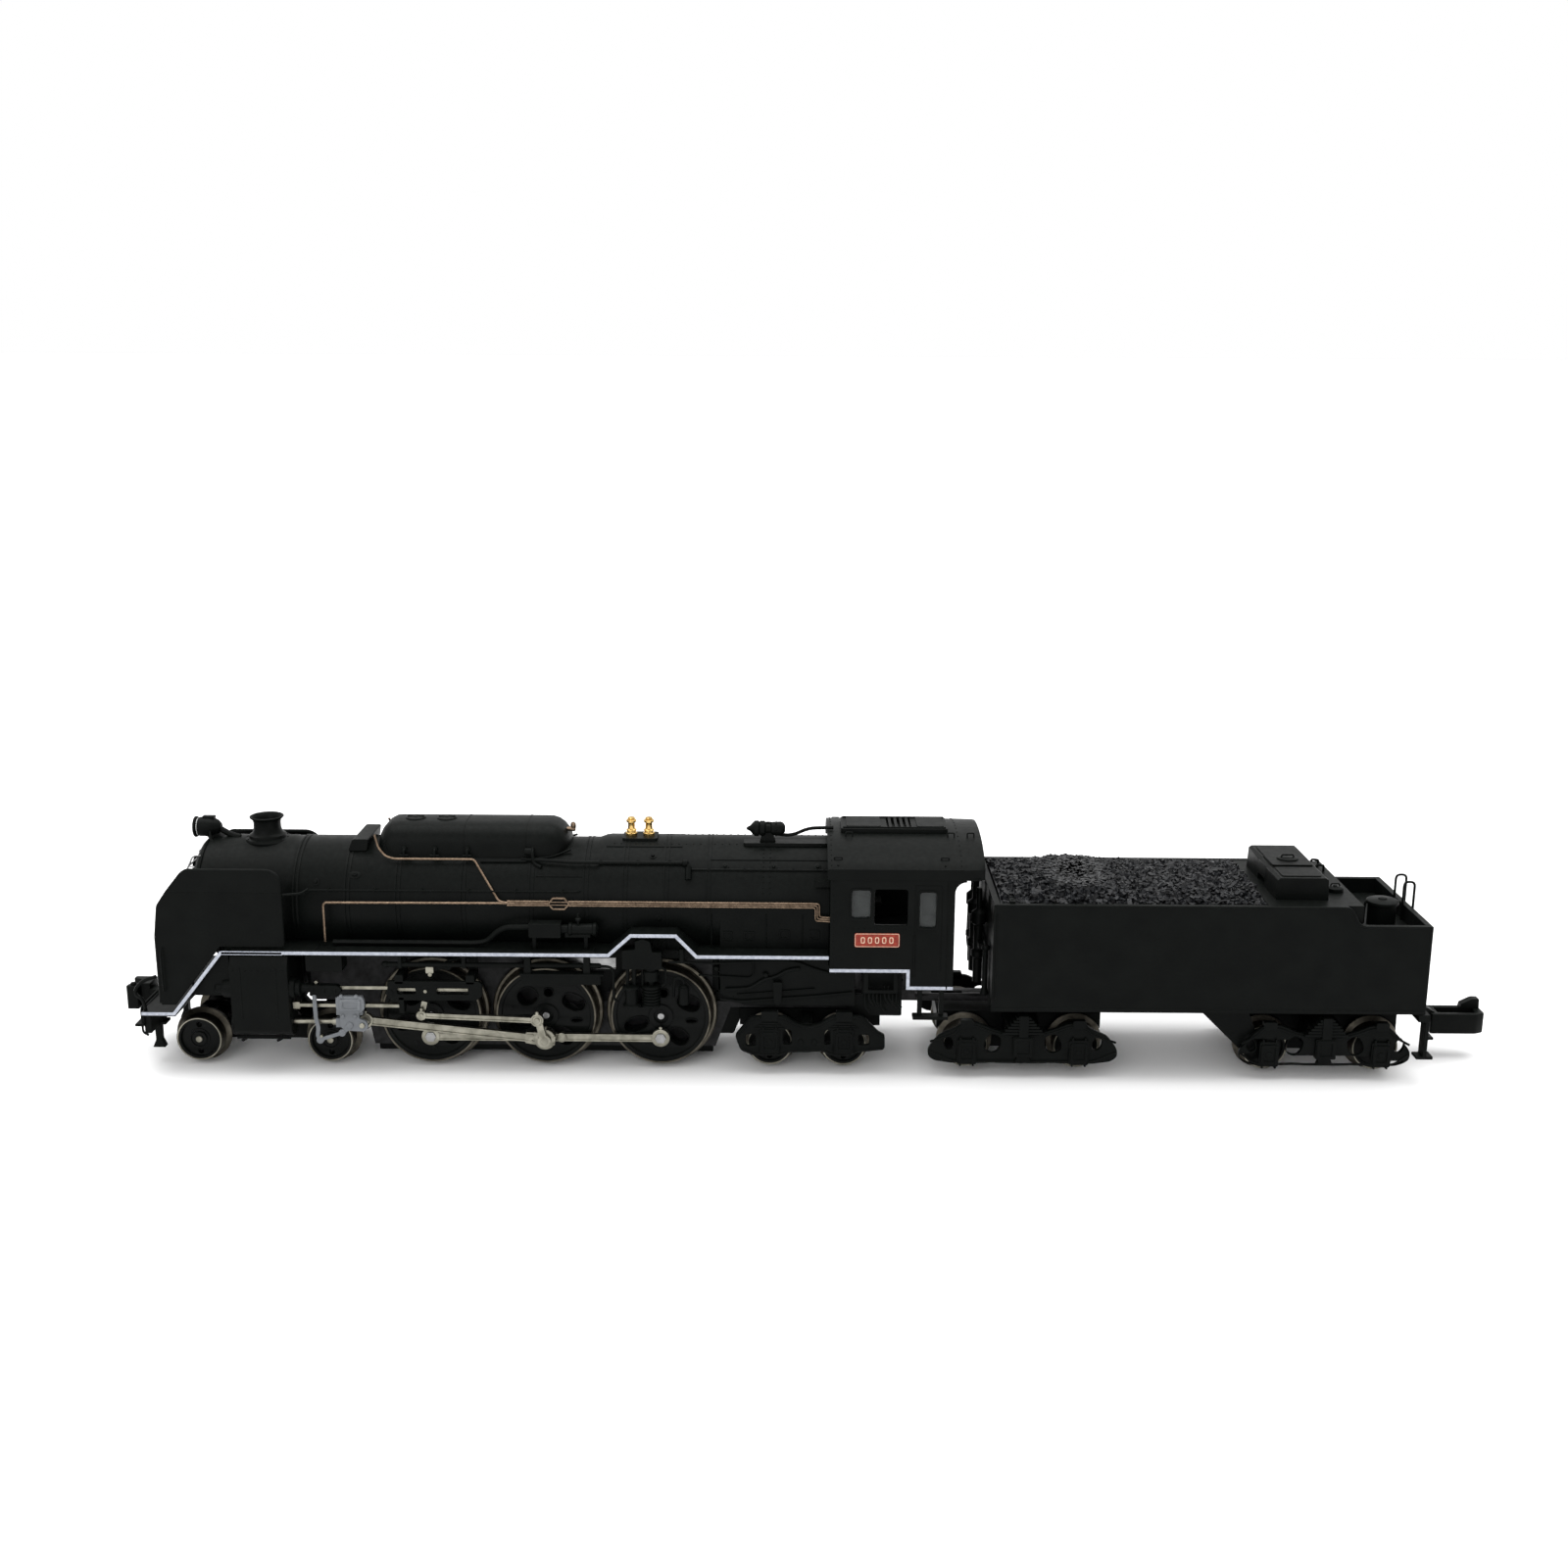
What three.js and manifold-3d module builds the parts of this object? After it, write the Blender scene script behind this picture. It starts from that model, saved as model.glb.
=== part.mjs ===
// N gauge model of a streamlined-era 4-6-4 express locomotive with its tender.
// Millimetres, +Z up. The engine's front faces -X, the tender trails toward +X,
// the engine's left-hand side is -Y. Z = 0 is the plane the wheel flanges stand on.
import * as THREE from 'three';
import Module from 'manifold-3d';
import { mergeVertices } from 'three/addons/utils/BufferGeometryUtils.js';

const wasm = await Module();
wasm.setup();

// ---------------------------------------------------------------- driving dimensions
const HALF_LENGTH = 75.4;
const WHEEL_BASE = 0.55;             // height of the flange bottoms above the body's datum line
const SIDE_Y = 9.2;                 // running boards, cylinders, cab and tender sides
const WALL = 0.65;                  // moulded side walls
const BACK_TO_BACK = 7.4;           // 9 mm gauge wheels
const WHEEL_INNER = BACK_TO_BACK / 2;
const WHEEL_OUTER = 5.9;
const FLANGE_DEPTH = 0.6;
const DRIVER_TREAD = 5.475;
const DRIVER_FLANGE = DRIVER_TREAD + FLANGE_DEPTH;
const SMALL_TREAD = 2.5;
const SMALL_FLANGE = SMALL_TREAD + FLANGE_DEPTH - 0.05;
const MAIN_X = -28.17;              // middle driving axle
const DRIVER_SPACING = 12.48;
const DRIVER_Z = WHEEL_BASE + DRIVER_FLANGE;
const DRIVER_X = [MAIN_X - DRIVER_SPACING, MAIN_X, MAIN_X + DRIVER_SPACING];
const CRANK = 2.2;                  // crank throw, half the piston stroke
const LEAD_X = [-66.19, -51.83];
const TRAIL_X = [-3.85, 4.16];
const TENDER_FRONT_X = [17.4, 29.45];
const TENDER_REAR_X = [49.9, 61.9];
const BOILER_Z = 18.5;
const BOILER_R = 6.5;
const FIREBOX_R = 6.8;
const BOILER_SIDES = 32;            // facets round the boiler
const BOARD_Z = 14.9;               // top of the running boards
const BOARD_T = 0.5;
const GAP = 0.1;                    // between pieces that only sit beside each other
const CAB_X0 = 2.5;
const CAB_X1 = 15.6;
const CAB_WALL_TOP = 23.8;
const TENDER_X0 = 19.7;
const TENDER_X1 = 65.85;
const TENDER_TOP = 20.6;

// worm drive to the rear driving axle
const GEAR_MODULE = 0.3;
const GEAR_TEETH = 26;
const GEAR_PITCH_R = GEAR_MODULE * GEAR_TEETH / 2;
const WORM_PITCH_R = 1.3;
const WORM_LEAD = Math.PI * GEAR_MODULE;
const WORM_Z = DRIVER_Z + GEAR_PITCH_R + WORM_PITCH_R;
const WORM_HALF = 2.5;
const SHAFT_R = 0.75;

// rods and valve gear, as distances from the centre plane
const SIDE_ROD_Y = [6.3, 6.8];
const MAIN_ROD_Y = [6.95, 7.45];
const RETURN_CRANK_Y = [7.6, 8.0];
const ECCENTRIC_Y = [8.1, 8.5];
const BRACKET_Y = [8.35, 8.85];
const CROSSHEAD_Y = [8.45, 9.0];
const SLIDE_BAR_Y = [7.65, 8.35];
const PISTON_Y = 8.0;
const PISTON_Z = 6.6;
const MAIN_ROD_LENGTH = 19.45;
const ECCENTRIC_LENGTH = 12.41;
const RETURN_PIN = [-0.63, 0.38];   // return-crank pin from the axle when the crank hangs down
const LINK_PIVOT = [-40.57, 10.4];
const LINK_TAIL = 2.9;
const SMALL_END_Z = 6.46;
const SIDES = [
  { name: 'left', sign: -1, turn: 0 },
  { name: 'right', sign: 1, turn: -Math.PI / 2 },
];

// ---------------------------------------------------------------- materials
const MATERIALS = {
  black_plastic: { color: 0x1c1e1d, roughness: 0.5, metalness: 0 },
  black_wheel: { color: 0x191a1a, roughness: 0.45, metalness: 0 },
  grey_plastic: { color: 0x85888a, roughness: 0.6, metalness: 0 },
  clear_plastic: { color: 0x9aa3a6, roughness: 0.15, metalness: 0 },
  nickel: { color: 0xb5b3a8, roughness: 0.25, metalness: 1 },
  aged_brass: { color: 0x8a6a3a, roughness: 0.45, metalness: 1 },
  zinc: { color: 0x6e7072, roughness: 0.5, metalness: 1 },
  steel: { color: 0x9a9c9e, roughness: 0.3, metalness: 1 },
  red_plate: { color: 0x9c1c1c, roughness: 0.4, metalness: 0 },
  coal: { color: 0x141414, roughness: 0.6, metalness: 0 },
};

// ---------------------------------------------------------------- solid tools
// Closed solid from any closed three.js geometry; flat-collapsed triangles are dropped
// and the winding is turned outward.
function solid(geometry) {
  const bare = geometry.clone();
  bare.deleteAttribute('normal');
  bare.deleteAttribute('uv');
  const merged = mergeVertices(bare, 1e-4);
  const position = merged.attributes.position;
  const index = merged.index.array;
  const kept = [];
  let volume = 0;
  const corner = [new THREE.Vector3(), new THREE.Vector3(), new THREE.Vector3()];
  for (let i = 0; i < index.length; i += 3) {
    const [a, b, c] = [index[i], index[i + 1], index[i + 2]];
    if (a === b || b === c || c === a) continue;
    kept.push(a, b, c);
    corner[0].fromBufferAttribute(position, a);
    corner[1].fromBufferAttribute(position, b);
    corner[2].fromBufferAttribute(position, c);
    volume += corner[0].dot(corner[1].cross(corner[2]));
  }
  if (volume < 0) {
    for (let i = 0; i < kept.length; i += 3) {
      [kept[i], kept[i + 1]] = [kept[i + 1], kept[i]];
    }
  }
  return new wasm.Manifold(new wasm.Mesh({
    numProp: 3,
    vertProperties: new Float32Array(position.array),
    triVerts: new Uint32Array(kept),
  }));
}

function join(...solids) {
  return solids.flat().reduce((sum, next) => sum.add(next));
}

function cut(body, ...tools) {
  return tools.flat().reduce((rest, tool) => rest.subtract(tool), body);
}

function box(x0, x1, y0, y1, z0, z1) {
  const geometry = new THREE.BoxGeometry(x1 - x0, Math.abs(y1 - y0), z1 - z0);
  geometry.translate((x0 + x1) / 2, (y0 + y1) / 2, (z0 + z1) / 2);
  return solid(geometry);
}

// Box on one side of the engine; a and b are distances from the centre plane.
function sideBox(sign, x0, x1, a, b, z0, z1) {
  return box(x0, x1, sign * a, sign * b, z0, z1);
}

function extrude(points, depth) {
  const shape = new THREE.Shape(points.map(([u, v]) => new THREE.Vector2(u, v)));
  return new THREE.ExtrudeGeometry(shape, { depth, bevelEnabled: false, steps: 1 });
}

// Outline in X and Z, thickness across Y.
function prismY(points, ya, yb) {
  const geometry = extrude(points, Math.abs(yb - ya));
  geometry.applyMatrix4(new THREE.Matrix4().makeBasis(
    new THREE.Vector3(1, 0, 0), new THREE.Vector3(0, 0, 1), new THREE.Vector3(0, -1, 0)));
  geometry.translate(0, Math.max(ya, yb), 0);
  return solid(geometry);
}

// Outline in Y and Z, length along X.
function prismX(points, x0, x1) {
  const geometry = extrude(points, x1 - x0);
  geometry.applyMatrix4(new THREE.Matrix4().makeBasis(
    new THREE.Vector3(0, 1, 0), new THREE.Vector3(0, 0, 1), new THREE.Vector3(1, 0, 0)));
  geometry.translate(x0, 0, 0);
  return solid(geometry);
}

// Outline in X and Y, height along Z.
function prismZ(points, z0, z1) {
  const geometry = extrude(points, z1 - z0);
  geometry.translate(0, 0, z0);
  return solid(geometry);
}

function circle(cu, cv, radius, segments) {
  return Array.from({ length: segments }, (_, i) => {
    const angle = 2 * Math.PI * (i + 0.5) / segments;
    return [cu + radius * Math.cos(angle), cv + radius * Math.sin(angle)];
  });
}

function arc(cu, cv, radius, fromDegrees, toDegrees, steps) {
  return Array.from({ length: steps + 1 }, (_, i) => {
    const angle = THREE.MathUtils.degToRad(fromDegrees + (toDegrees - fromDegrees) * i / steps);
    return [cu + radius * Math.cos(angle), cv + radius * Math.sin(angle)];
  });
}

const rodX = (y, z, radius, x0, x1, segments = 12) => prismX(circle(y, z, radius, segments), x0, x1);
const rodY = (x, z, radius, ya, yb, segments = 12) => prismY(circle(x, z, radius, segments), ya, yb);
const rodZ = (x, y, radius, z0, z1, segments = 12) => prismZ(circle(x, y, radius, segments), z0, z1);

// Turned piece: profile of [radius, height] pairs spun about an upright axis.
function turnedZ(profile, x, y, segments) {
  const geometry = new THREE.LatheGeometry(profile.map(([r, h]) => new THREE.Vector2(r, h)), segments);
  geometry.rotateX(Math.PI / 2);
  geometry.translate(x, y, 0);
  return solid(geometry);
}

// Turned piece about a crosswise axle; profile of [radius, y] pairs.
function turnedY(profile, x, z, segments) {
  const geometry = new THREE.LatheGeometry(profile.map(([r, h]) => new THREE.Vector2(r, h)), segments);
  geometry.translate(x, 0, z);
  return solid(geometry);
}

// Turned piece about a lengthwise axis; profile of [radius, x] pairs.
function turnedX(profile, y, z, segments) {
  const geometry = new THREE.LatheGeometry(profile.map(([r, h]) => new THREE.Vector2(r, h)), segments);
  geometry.rotateZ(-Math.PI / 2);
  geometry.translate(0, y, z);
  return solid(geometry);
}

// Closed skin over a stack of rings with equal point counts.
function skin(rings) {
  const count = rings[0].length;
  const positions = [];
  const index = [];
  const middle = (ring) => ring.reduce((sum, p) => sum.add(p), new THREE.Vector3()).divideScalar(count);
  rings.forEach((ring) => ring.forEach((p) => positions.push(p.x, p.y, p.z)));
  const first = middle(rings[0]);
  const last = middle(rings[rings.length - 1]);
  positions.push(first.x, first.y, first.z, last.x, last.y, last.z);
  const firstIndex = rings.length * count;
  for (let r = 0; r < rings.length - 1; r += 1) {
    for (let i = 0; i < count; i += 1) {
      const a = r * count + i;
      const b = r * count + (i + 1) % count;
      index.push(a, b, a + count, b, b + count, a + count);
    }
  }
  const top = (rings.length - 1) * count;
  for (let i = 0; i < count; i += 1) {
    const next = (i + 1) % count;
    index.push(firstIndex, next, i, firstIndex + 1, top + i, top + next);
  }
  const geometry = new THREE.BufferGeometry();
  geometry.setAttribute('position', new THREE.Float32BufferAttribute(positions, 3));
  geometry.setIndex(index);
  return solid(geometry);
}

// Round pipe through a list of [x, y, z] points, each ring square to the bisector there.
function pipe(points, radius, segments = 4) {
  const path = points.map((p) => new THREE.Vector3(...p));
  const along = (i) => path[i + 1].clone().sub(path[i]).normalize();
  let across = new THREE.Vector3(0.31, 0.52, 0.79);
  const rings = path.map((point, i) => {
    const before = along(Math.max(i - 1, 0));
    const after = along(Math.min(i, path.length - 2));
    const tangent = before.clone().add(after).normalize();
    across.addScaledVector(tangent, -across.dot(tangent)).normalize();
    const other = new THREE.Vector3().crossVectors(tangent, across);
    return Array.from({ length: segments }, (_, k) => {
      const angle = 2 * Math.PI * k / segments;
      return point.clone()
        .addScaledVector(across, radius * Math.cos(angle))
        .addScaledVector(other, radius * Math.sin(angle));
    });
  });
  return skin(rings);
}

function part(name, body, material) {
  const mesh = body.getMesh();
  const geometry = new THREE.BufferGeometry();
  geometry.setAttribute('position', new THREE.Float32BufferAttribute(mesh.vertProperties, 3));
  geometry.setIndex(new THREE.Uint32BufferAttribute(mesh.triVerts, 1));
  geometry.computeVertexNormals();
  const result = new THREE.Mesh(geometry, new THREE.MeshStandardMaterial({
    name: material, ...MATERIALS[material],
  }));
  result.name = name;
  return result;
}

// Boiler and firebox space that the pieces mounted on them are trimmed to.
function boilerSpace(clearance = GAP) {
  return join(
    rodX(0, BOILER_Z, BOILER_R + clearance, -66, -21.9, BOILER_SIDES),
    rodX(0, BOILER_Z, FIREBOX_R + clearance, -22, CAB_X0 + 0.01, BOILER_SIDES),
    box(-57, -9.6, -5 - clearance, 5 + clearance, 12.5, BOILER_Z),
    box(-9.4, CAB_X0 + 0.01, -FIREBOX_R - clearance, FIREBOX_R + clearance, 8.2, BOILER_Z),
  );
}

// ---------------------------------------------------------------- boiler and its fittings
function boilerShell() {
  const ashpanHalf = FIREBOX_R - 0.2;
  const outer = join(
    rodX(0, BOILER_Z, BOILER_R, -65, -22, BOILER_SIDES),
    rodX(0, BOILER_Z, FIREBOX_R, -22, CAB_X0 - 0.05, BOILER_SIDES),
    box(-57, -9, -5, 5, 12.95, BOILER_Z),
    // firebox sides and ashpan between the rear drivers and the trailing truck
    prismY([[-9.2, 9.6], [-6.6, 8.3], [CAB_X0 + 2.8, 8.3], [CAB_X0 + 2.8, 12.9],
      [CAB_X0 - 0.4, 12.9], [CAB_X0 - 0.4, BOILER_Z], [-9.2, BOILER_Z]], -ashpanHalf, ashpanHalf),
  );
  const motorBay = box(-56.4, CAB_X0 - 0.9, -4.2, 4.2, 7, 17);
  const rearBay = box(CAB_X0 - 1, CAB_X0 + 3, -4.1, 4.1, 7, 16.2);
  return cut(outer, motorBay, rearBay);
}

function smokeboxDoor() {
  const front = -67.1;
  const body = turnedX([
    [0, front], [1.2, front + 0.05], [3.4, front + 0.45], [4.9, front + 1.0], [5.0, front + 1.2],
    [5.9, front + 1.25], [6.4, front + 1.6], [6.4, -65.05], [0, -65.05],
  ], 0, BOILER_Z, 20);
  const hinges = [-2.1, 2.1].map((dz) => box(front + 0.3, front + 1.5, -4.6, 4.6,
    BOILER_Z + dz - 0.3, BOILER_Z + dz + 0.3));
  const rail = pipe([[front + 1.3, -3.9, 22.2], [front - 0.3, -3.9, 22.2], [front - 0.3, 0, 22.9],
    [front - 0.3, 3.9, 22.2], [front + 1.3, 3.9, 22.2]], 0.2);
  return join(body, hinges, rail);
}

function chimney() {
  const x = -58.93;
  const body = turnedZ([
    [0, 23.5], [2.5, 23.5], [2.5, 24.9], [2.2, 25.2], [1.72, 25.5], [1.55, 26.0], [1.55, 26.9],
    [1.8, 27.0], [1.8, 27.35], [1.4, 27.35], [1.35, 26.0], [0, 26.0],
  ], x, 0, 16);
  return cut(body, boilerSpace(0.02));
}

// Casing over the sand and steam domes: one cross-section, rounded away at both ends.
function domeCasing() {
  const section = [
    [-3.9, 23], [3.9, 23], [3.7, 25.2], ...arc(2.3, 25.8, 1.4, 0, 90, 4),
    ...arc(-2.3, 25.8, 1.4, 90, 180, 4), [-3.7, 25.2],
  ];
  const side = [
    [-46.6, 23], [-25.4, 23], [-25.4, 25.4], ...arc(-27.3, 25.3, 1.9, 0, 90, 5),
    ...arc(-43.6, 24.4, 2.8, 90, 160, 5), [-46.6, 24.4],
  ];
  const casing = prismX(section, -47, -25).intersect(prismY(side, -4, 4));
  const hatches = [-42.6, -39.2].map((x) => rodZ(x, 0, 1.1, 27, 27.35, 14));
  return cut(join(casing, hatches), boilerSpace(0.02));
}

function headlight() {
  const z = 26.05;
  const drum = turnedX([[0, -66.3], [0.85, -66.3], [0.9, -66.75], [1.12, -66.75], [1.12, -64.6],
    [0.7, -63.85], [0, -63.8]], 0, z, 14);
  const bracket = prismX([[-1.2, 24], [1.2, 24], [0.7, z], [-0.7, z]], -65.6, -64.4);
  return cut(join(drum, bracket), boilerSpace(0.02));
}

function safetyValves() {
  const plate = box(-19.9, -16.3, -1.4, 1.4, 24.8, 25.75);
  const valves = [-19.1, -17.2].map((x) => turnedZ([[0, 25.5], [0.62, 25.5], [0.62, 26.1],
    [0.42, 26.3], [0.42, 26.9], [0.55, 27.0], [0.55, 27.35], [0.25, 27.5], [0, 27.5]], x, 0, 10));
  return cut(join(plate, valves), boilerSpace(0.02));
}

function generator() {
  const y = -1.6;
  const z = 26.7;
  const body = turnedX([[0, -6.05], [0.6, -6.05], [0.85, -5.8], [0.85, -4.6], [0.6, -4.4],
    [0.6, -3.6], [0.75, -3.4], [0.75, -2.5], [0.4, -2.2], [0, -2.2]], y, z, 10);
  const stand = box(-5.3, -3.0, y - 0.45, y + 0.45, 24.4, z);
  return cut(join(body, stand), boilerSpace(0.02));
}

function brassPipes({ sign }) {
  const y = (v) => sign * v;
  const rail = pipe([[-51.4, y(7), 15.2], [-51.4, y(7), 19.2], [-51.0, y(7), 19.6],
    [0.48, y(7.25), 19.87], [1.4, y(7.3), 19.1], [2.35, y(7.4), 18.4]], 0.22);
  const dome = pipe([[-46.2, y(4.15), 25.6], [-44.6, y(4.3), 23.95], [-44.0, y(4.35), 23.85],
    [-35.8, y(4.35), 23.85], [-35.3, y(4.6), 23.5], [-32.7, y(7.05), 20.1], [-32.0, y(7.1), 19.75]], 0.2);
  return join(rail, dome);
}

// ---------------------------------------------------------------- running boards and front end
// Height of the running-board top edge along the engine.
const BOARD_LINE = [[-62.0, BOARD_Z], [-21.0, BOARD_Z], [-18.6, 17.1], [-13.7, 17.1],
  [-11.5, 14.8], [CAB_X0 - 0.1, 14.8]];

function runningBoard({ sign }) {
  const under = BOARD_LINE.map(([x, z]) => [x, z - BOARD_T]).reverse();
  const board = prismY([...BOARD_LINE, ...under], sign * 4.8, sign * SIDE_Y);
  const trimmed = cut(board, boilerSpace());
  const tank = rodX(sign * 8.35, 13.3, 0.7, -45.8, -21.6, 10);
  const hangers = [-44, -33.5, -23.2].map((x) => sideBox(sign, x, x + 0.8, 8.0, 8.7, 13, 14.6));
  const stepBox = sideBox(sign, -30.1, -21.8, 8.3, 9.1, 11.1, 12.2);
  const stepHangers = [-29.4, -23.2].map((x) => sideBox(sign, x, x + 0.8, 8.5, 9.0, 12, 13.5));
  const pumpHead = sideBox(sign, -19.5, -15.2, 7.4, 9.1, 13.2, 16.8);
  const pumpRods = [-18.6, -16.4].map((x) => rodZ(x, sign * 8.25, 0.45, 11.2, 13.4, 8));
  const pumpBody = sideBox(sign, -19.6, -15.0, 7.5, 9.1, 8.7, 11.4);
  const drain = rodZ(-13.0, sign * 8.4, 0.65, 9.0, 11.4, 8);
  const drainPipe = pipe([[-13.0, sign * 8.4, 11.2], [-13.0, sign * 8.4, 12.4],
    [-14.2, sign * 8.4, 13.6], [-15.6, sign * 8.4, 13.9]], 0.2);
  const ejector = sideBox(sign, -29.5, -22.3, 7.2, 8.6, 16.4, 17.7);
  const ejectorLegs = [-28.8, -23.6].map((x) => sideBox(sign, x, x + 0.6, 7.6, 8.3, 14.7, 16.5));
  return join(trimmed, tank, hangers, stepBox, stepHangers, pumpHead, pumpRods, pumpBody,
    drain, drainPipe, ejector, ejectorLegs);
}

function smokeDeflector({ sign }) {
  const fold = 21.2;
  const lean = 0.24;
  const thickness = 0.4;
  const y0 = 8.35;
  const lower = prismY([[-68.9, 8.6], [-67.4, 8.6], [-62.2, 15.2], [-55.5, 15.2], [-55.5, fold],
    [-67.4, fold], [-68.5, 19.6], [-68.95, 16.2]], sign * y0, sign * (y0 + thickness));
  const upperOutline = [[-67.4, fold], [-55.5, fold], [-55.5, 21.7], ...arc(-57.1, 21.8, 1.6, 0, 90, 4),
    [-65.9, 23.4]];
  const upperGeometry = extrude(upperOutline, thickness);
  upperGeometry.applyMatrix4(new THREE.Matrix4().makeBasis(
    new THREE.Vector3(1, 0, 0), new THREE.Vector3(0, 0, 1), new THREE.Vector3(0, -1, 0)));
  upperGeometry.translate(0, sign > 0 ? y0 + thickness : -y0, 0);
  const position = upperGeometry.attributes.position;
  for (let i = 0; i < position.count; i += 1) {
    const rise = position.getZ(i) - fold;
    position.setY(i, position.getY(i) - sign * lean * rise);
  }
  const stays = [-64.0, -57.5].map((x) => pipe([[x, sign * 8.5, 20.6], [x, sign * 6.62, 20.6]], 0.2));
  const rail = pipe([[-55.8, sign * 8.5, 20.9], [-53.4, sign * 8.3, 20.9], [-53.0, sign * 8.1, 20.6],
    [-53.0, sign * 7.6, 15.0]], 0.18);
  return join(lower, solid(upperGeometry), stays, rail);
}

function frontDeck() {
  const deckLine = [[-71.0, 7.95], [-67.6, 7.95], [-62.15, 14.85]];
  const slope = [[-62.15, 14.3], [-67.4, 7.45], [-71.0, 7.45]];
  const deck = prismY([...deckLine, ...slope], -SIDE_Y, SIDE_Y);
  const beam = box(-71.0, -70.4, -8.6, 8.6, 5.3, 7.6);
  const steps = SIDES.map(({ sign }) => join(
    sideBox(sign, -72.1, -70.9, 7.3, 8.9, 6.2, 6.6),
    sideBox(sign, -71.3, -70.9, 7.3, 8.9, 6.4, 7.6),
    // lamp iron bracket and curved handrail at each corner of the beam
    pipe([[-70.7, sign * 8.6, 7.7], [-70.9, sign * 8.7, 10.6], [-70.0, sign * 8.6, 11.4],
      [-69.3, sign * 8.5, 11.6]], 0.18),
    sideBox(sign, -71.5, -70.9, 4.2, 4.9, 2.2, 5.9),
  ));
  const shank = box(-73.8, -70.8, -0.8, 0.8, 6.0, 7.3);
  const head = cut(
    box(-HALF_LENGTH, -73.5, -1.7, 1.7, 5.3, 8.2),
    box(-HALF_LENGTH - 1, -74.4, -0.7, 0.7, 5, 9),
  );
  const hoses = SIDES.map(({ sign }) => pipe([[-70.8, sign * 3.0, 6.9], [-72.2, sign * 3.0, 6.8],
    [-72.9, sign * 3.0, 6.1], [-73.0, sign * 2.9, 4.6], [-72.4, sign * 2.8, 3.9]], 0.3));
  const lever = pipe([[-71.4, -6.4, 5.0], [-71.4, -6.4, 7.0], [-71.4, -2.0, 7.3], [-71.4, 2.0, 7.3],
    [-71.4, 6.4, 7.0], [-71.4, 6.4, 5.0]], 0.2);
  const leverBrackets = SIDES.map(({ sign }) => sideBox(sign, -71.5, -70.9, 5.6, 6.2, 6.6, 7.2));
  const whole = join(deck, beam, steps, shank, head, hoses, lever, leverBrackets);
  return cut(whole, boilerSpace());
}

// ---------------------------------------------------------------- cab
function cabShell() {
  const sideOutline = [[CAB_X0, 13.0], [11.0, 13.0], [11.0, 11.1], [CAB_X1, 11.1],
    [CAB_X1, CAB_WALL_TOP], [CAB_X0, CAB_WALL_TOP]];
  const windows = [[4.76, 6.75, 19.0, 22.1], [7.15, 10.65, 18.2, 22.2], [11.9, 13.65, 18.0, 21.9]]
    .map(([x0, x1, z0, z1]) => box(x0, x1, -SIDE_Y - 1, SIDE_Y + 1, z0, z1));
  const walls = SIDES.map(({ sign }) => prismY(sideOutline, sign * (SIDE_Y - WALL), sign * SIDE_Y));
  const front = prismX([[-SIDE_Y, 13.0], [SIDE_Y, 13.0], [SIDE_Y, CAB_WALL_TOP],
    ...arc(0, 5.0, 20.9, 64, 116, 8), [-SIDE_Y, CAB_WALL_TOP]], CAB_X0, CAB_X0 + WALL);
  const frontWindows = SIDES.map(({ sign }) => sideBox(sign, CAB_X0 - 1, CAB_X0 + 1, 6.95, 8.4, 20.2, 22.8));
  const floor = box(CAB_X0 + 0.2, CAB_X1 - 0.2, -SIDE_Y + 0.1, SIDE_Y - 0.1, 13.1, 13.7);
  const backhead = prismX([[-4.6, 13.5], [4.6, 13.5], [4.6, 19.5], ...arc(0, 19.4, 4.4, 0, 180, 8),
    [-4.6, 19.5]], CAB_X0 + 0.2, CAB_X0 + 2.1);
  const steps = SIDES.map(({ sign }) => join(
    sideBox(sign, 11.6, 15.2, 8.0, SIDE_Y, 7.7, 8.1),
    sideBox(sign, 11.6, 12.1, 8.6, SIDE_Y - 0.05, 7.9, 11.4),
    sideBox(sign, 14.7, 15.2, 8.6, SIDE_Y - 0.05, 7.9, 11.4),
  ));
  return join(cut(join(cut(join(walls), windows), front), frontWindows), floor, backhead, steps);
}

function cabRoof() {
  const crown = 26.6;
  const eave = 24.35;
  const half = SIDE_Y + 0.1;
  const rise = crown - eave;
  const radius = (half * half + rise * rise) / (2 * rise);
  const spread = THREE.MathUtils.radToDeg(Math.asin(half / radius));
  const thickness = 0.5;
  const top = arc(0, crown - radius, radius, 90 - spread, 90 + spread, 14);
  const bottom = arc(0, crown - radius, radius - thickness, 90 + spread, 90 - spread, 14);
  const sheet = prismX([...top, [-half, 23.85], ...bottom, [half, 23.85]], 2.2, 18.6);
  const roundedRear = prismZ([[0, -10], [16.4, -10], [18.7, -7.4], [18.7, 7.4], [16.4, 10], [0, 10]], 23, 28);
  const ventilator = box(3.7, 15.2, -2.5, 2.5, 26.1, 27.2);
  const hatch = box(8.2, 11.4, -2.9, 2.9, 26.1, 26.95);
  return join(sheet.intersect(roundedRear), ventilator, hatch);
}

function cabGlazing() {
  const inner = SIDE_Y - WALL - 0.05;
  const bridge = 23.2;
  return prismX([[-inner, 17.6], [-inner + 0.3, 17.6], [-inner + 0.3, bridge], [inner - 0.3, bridge],
    [inner - 0.3, 17.6], [inner, 17.6], [inner, bridge + 0.3], [-inner, bridge + 0.3]], 4.62, 6.9);
}

function numberPlate({ sign }) {
  return sideBox(sign, 5.1, 9.85, SIDE_Y + 0.01, SIDE_Y + 0.1, 15.86, 17.4);
}

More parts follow.
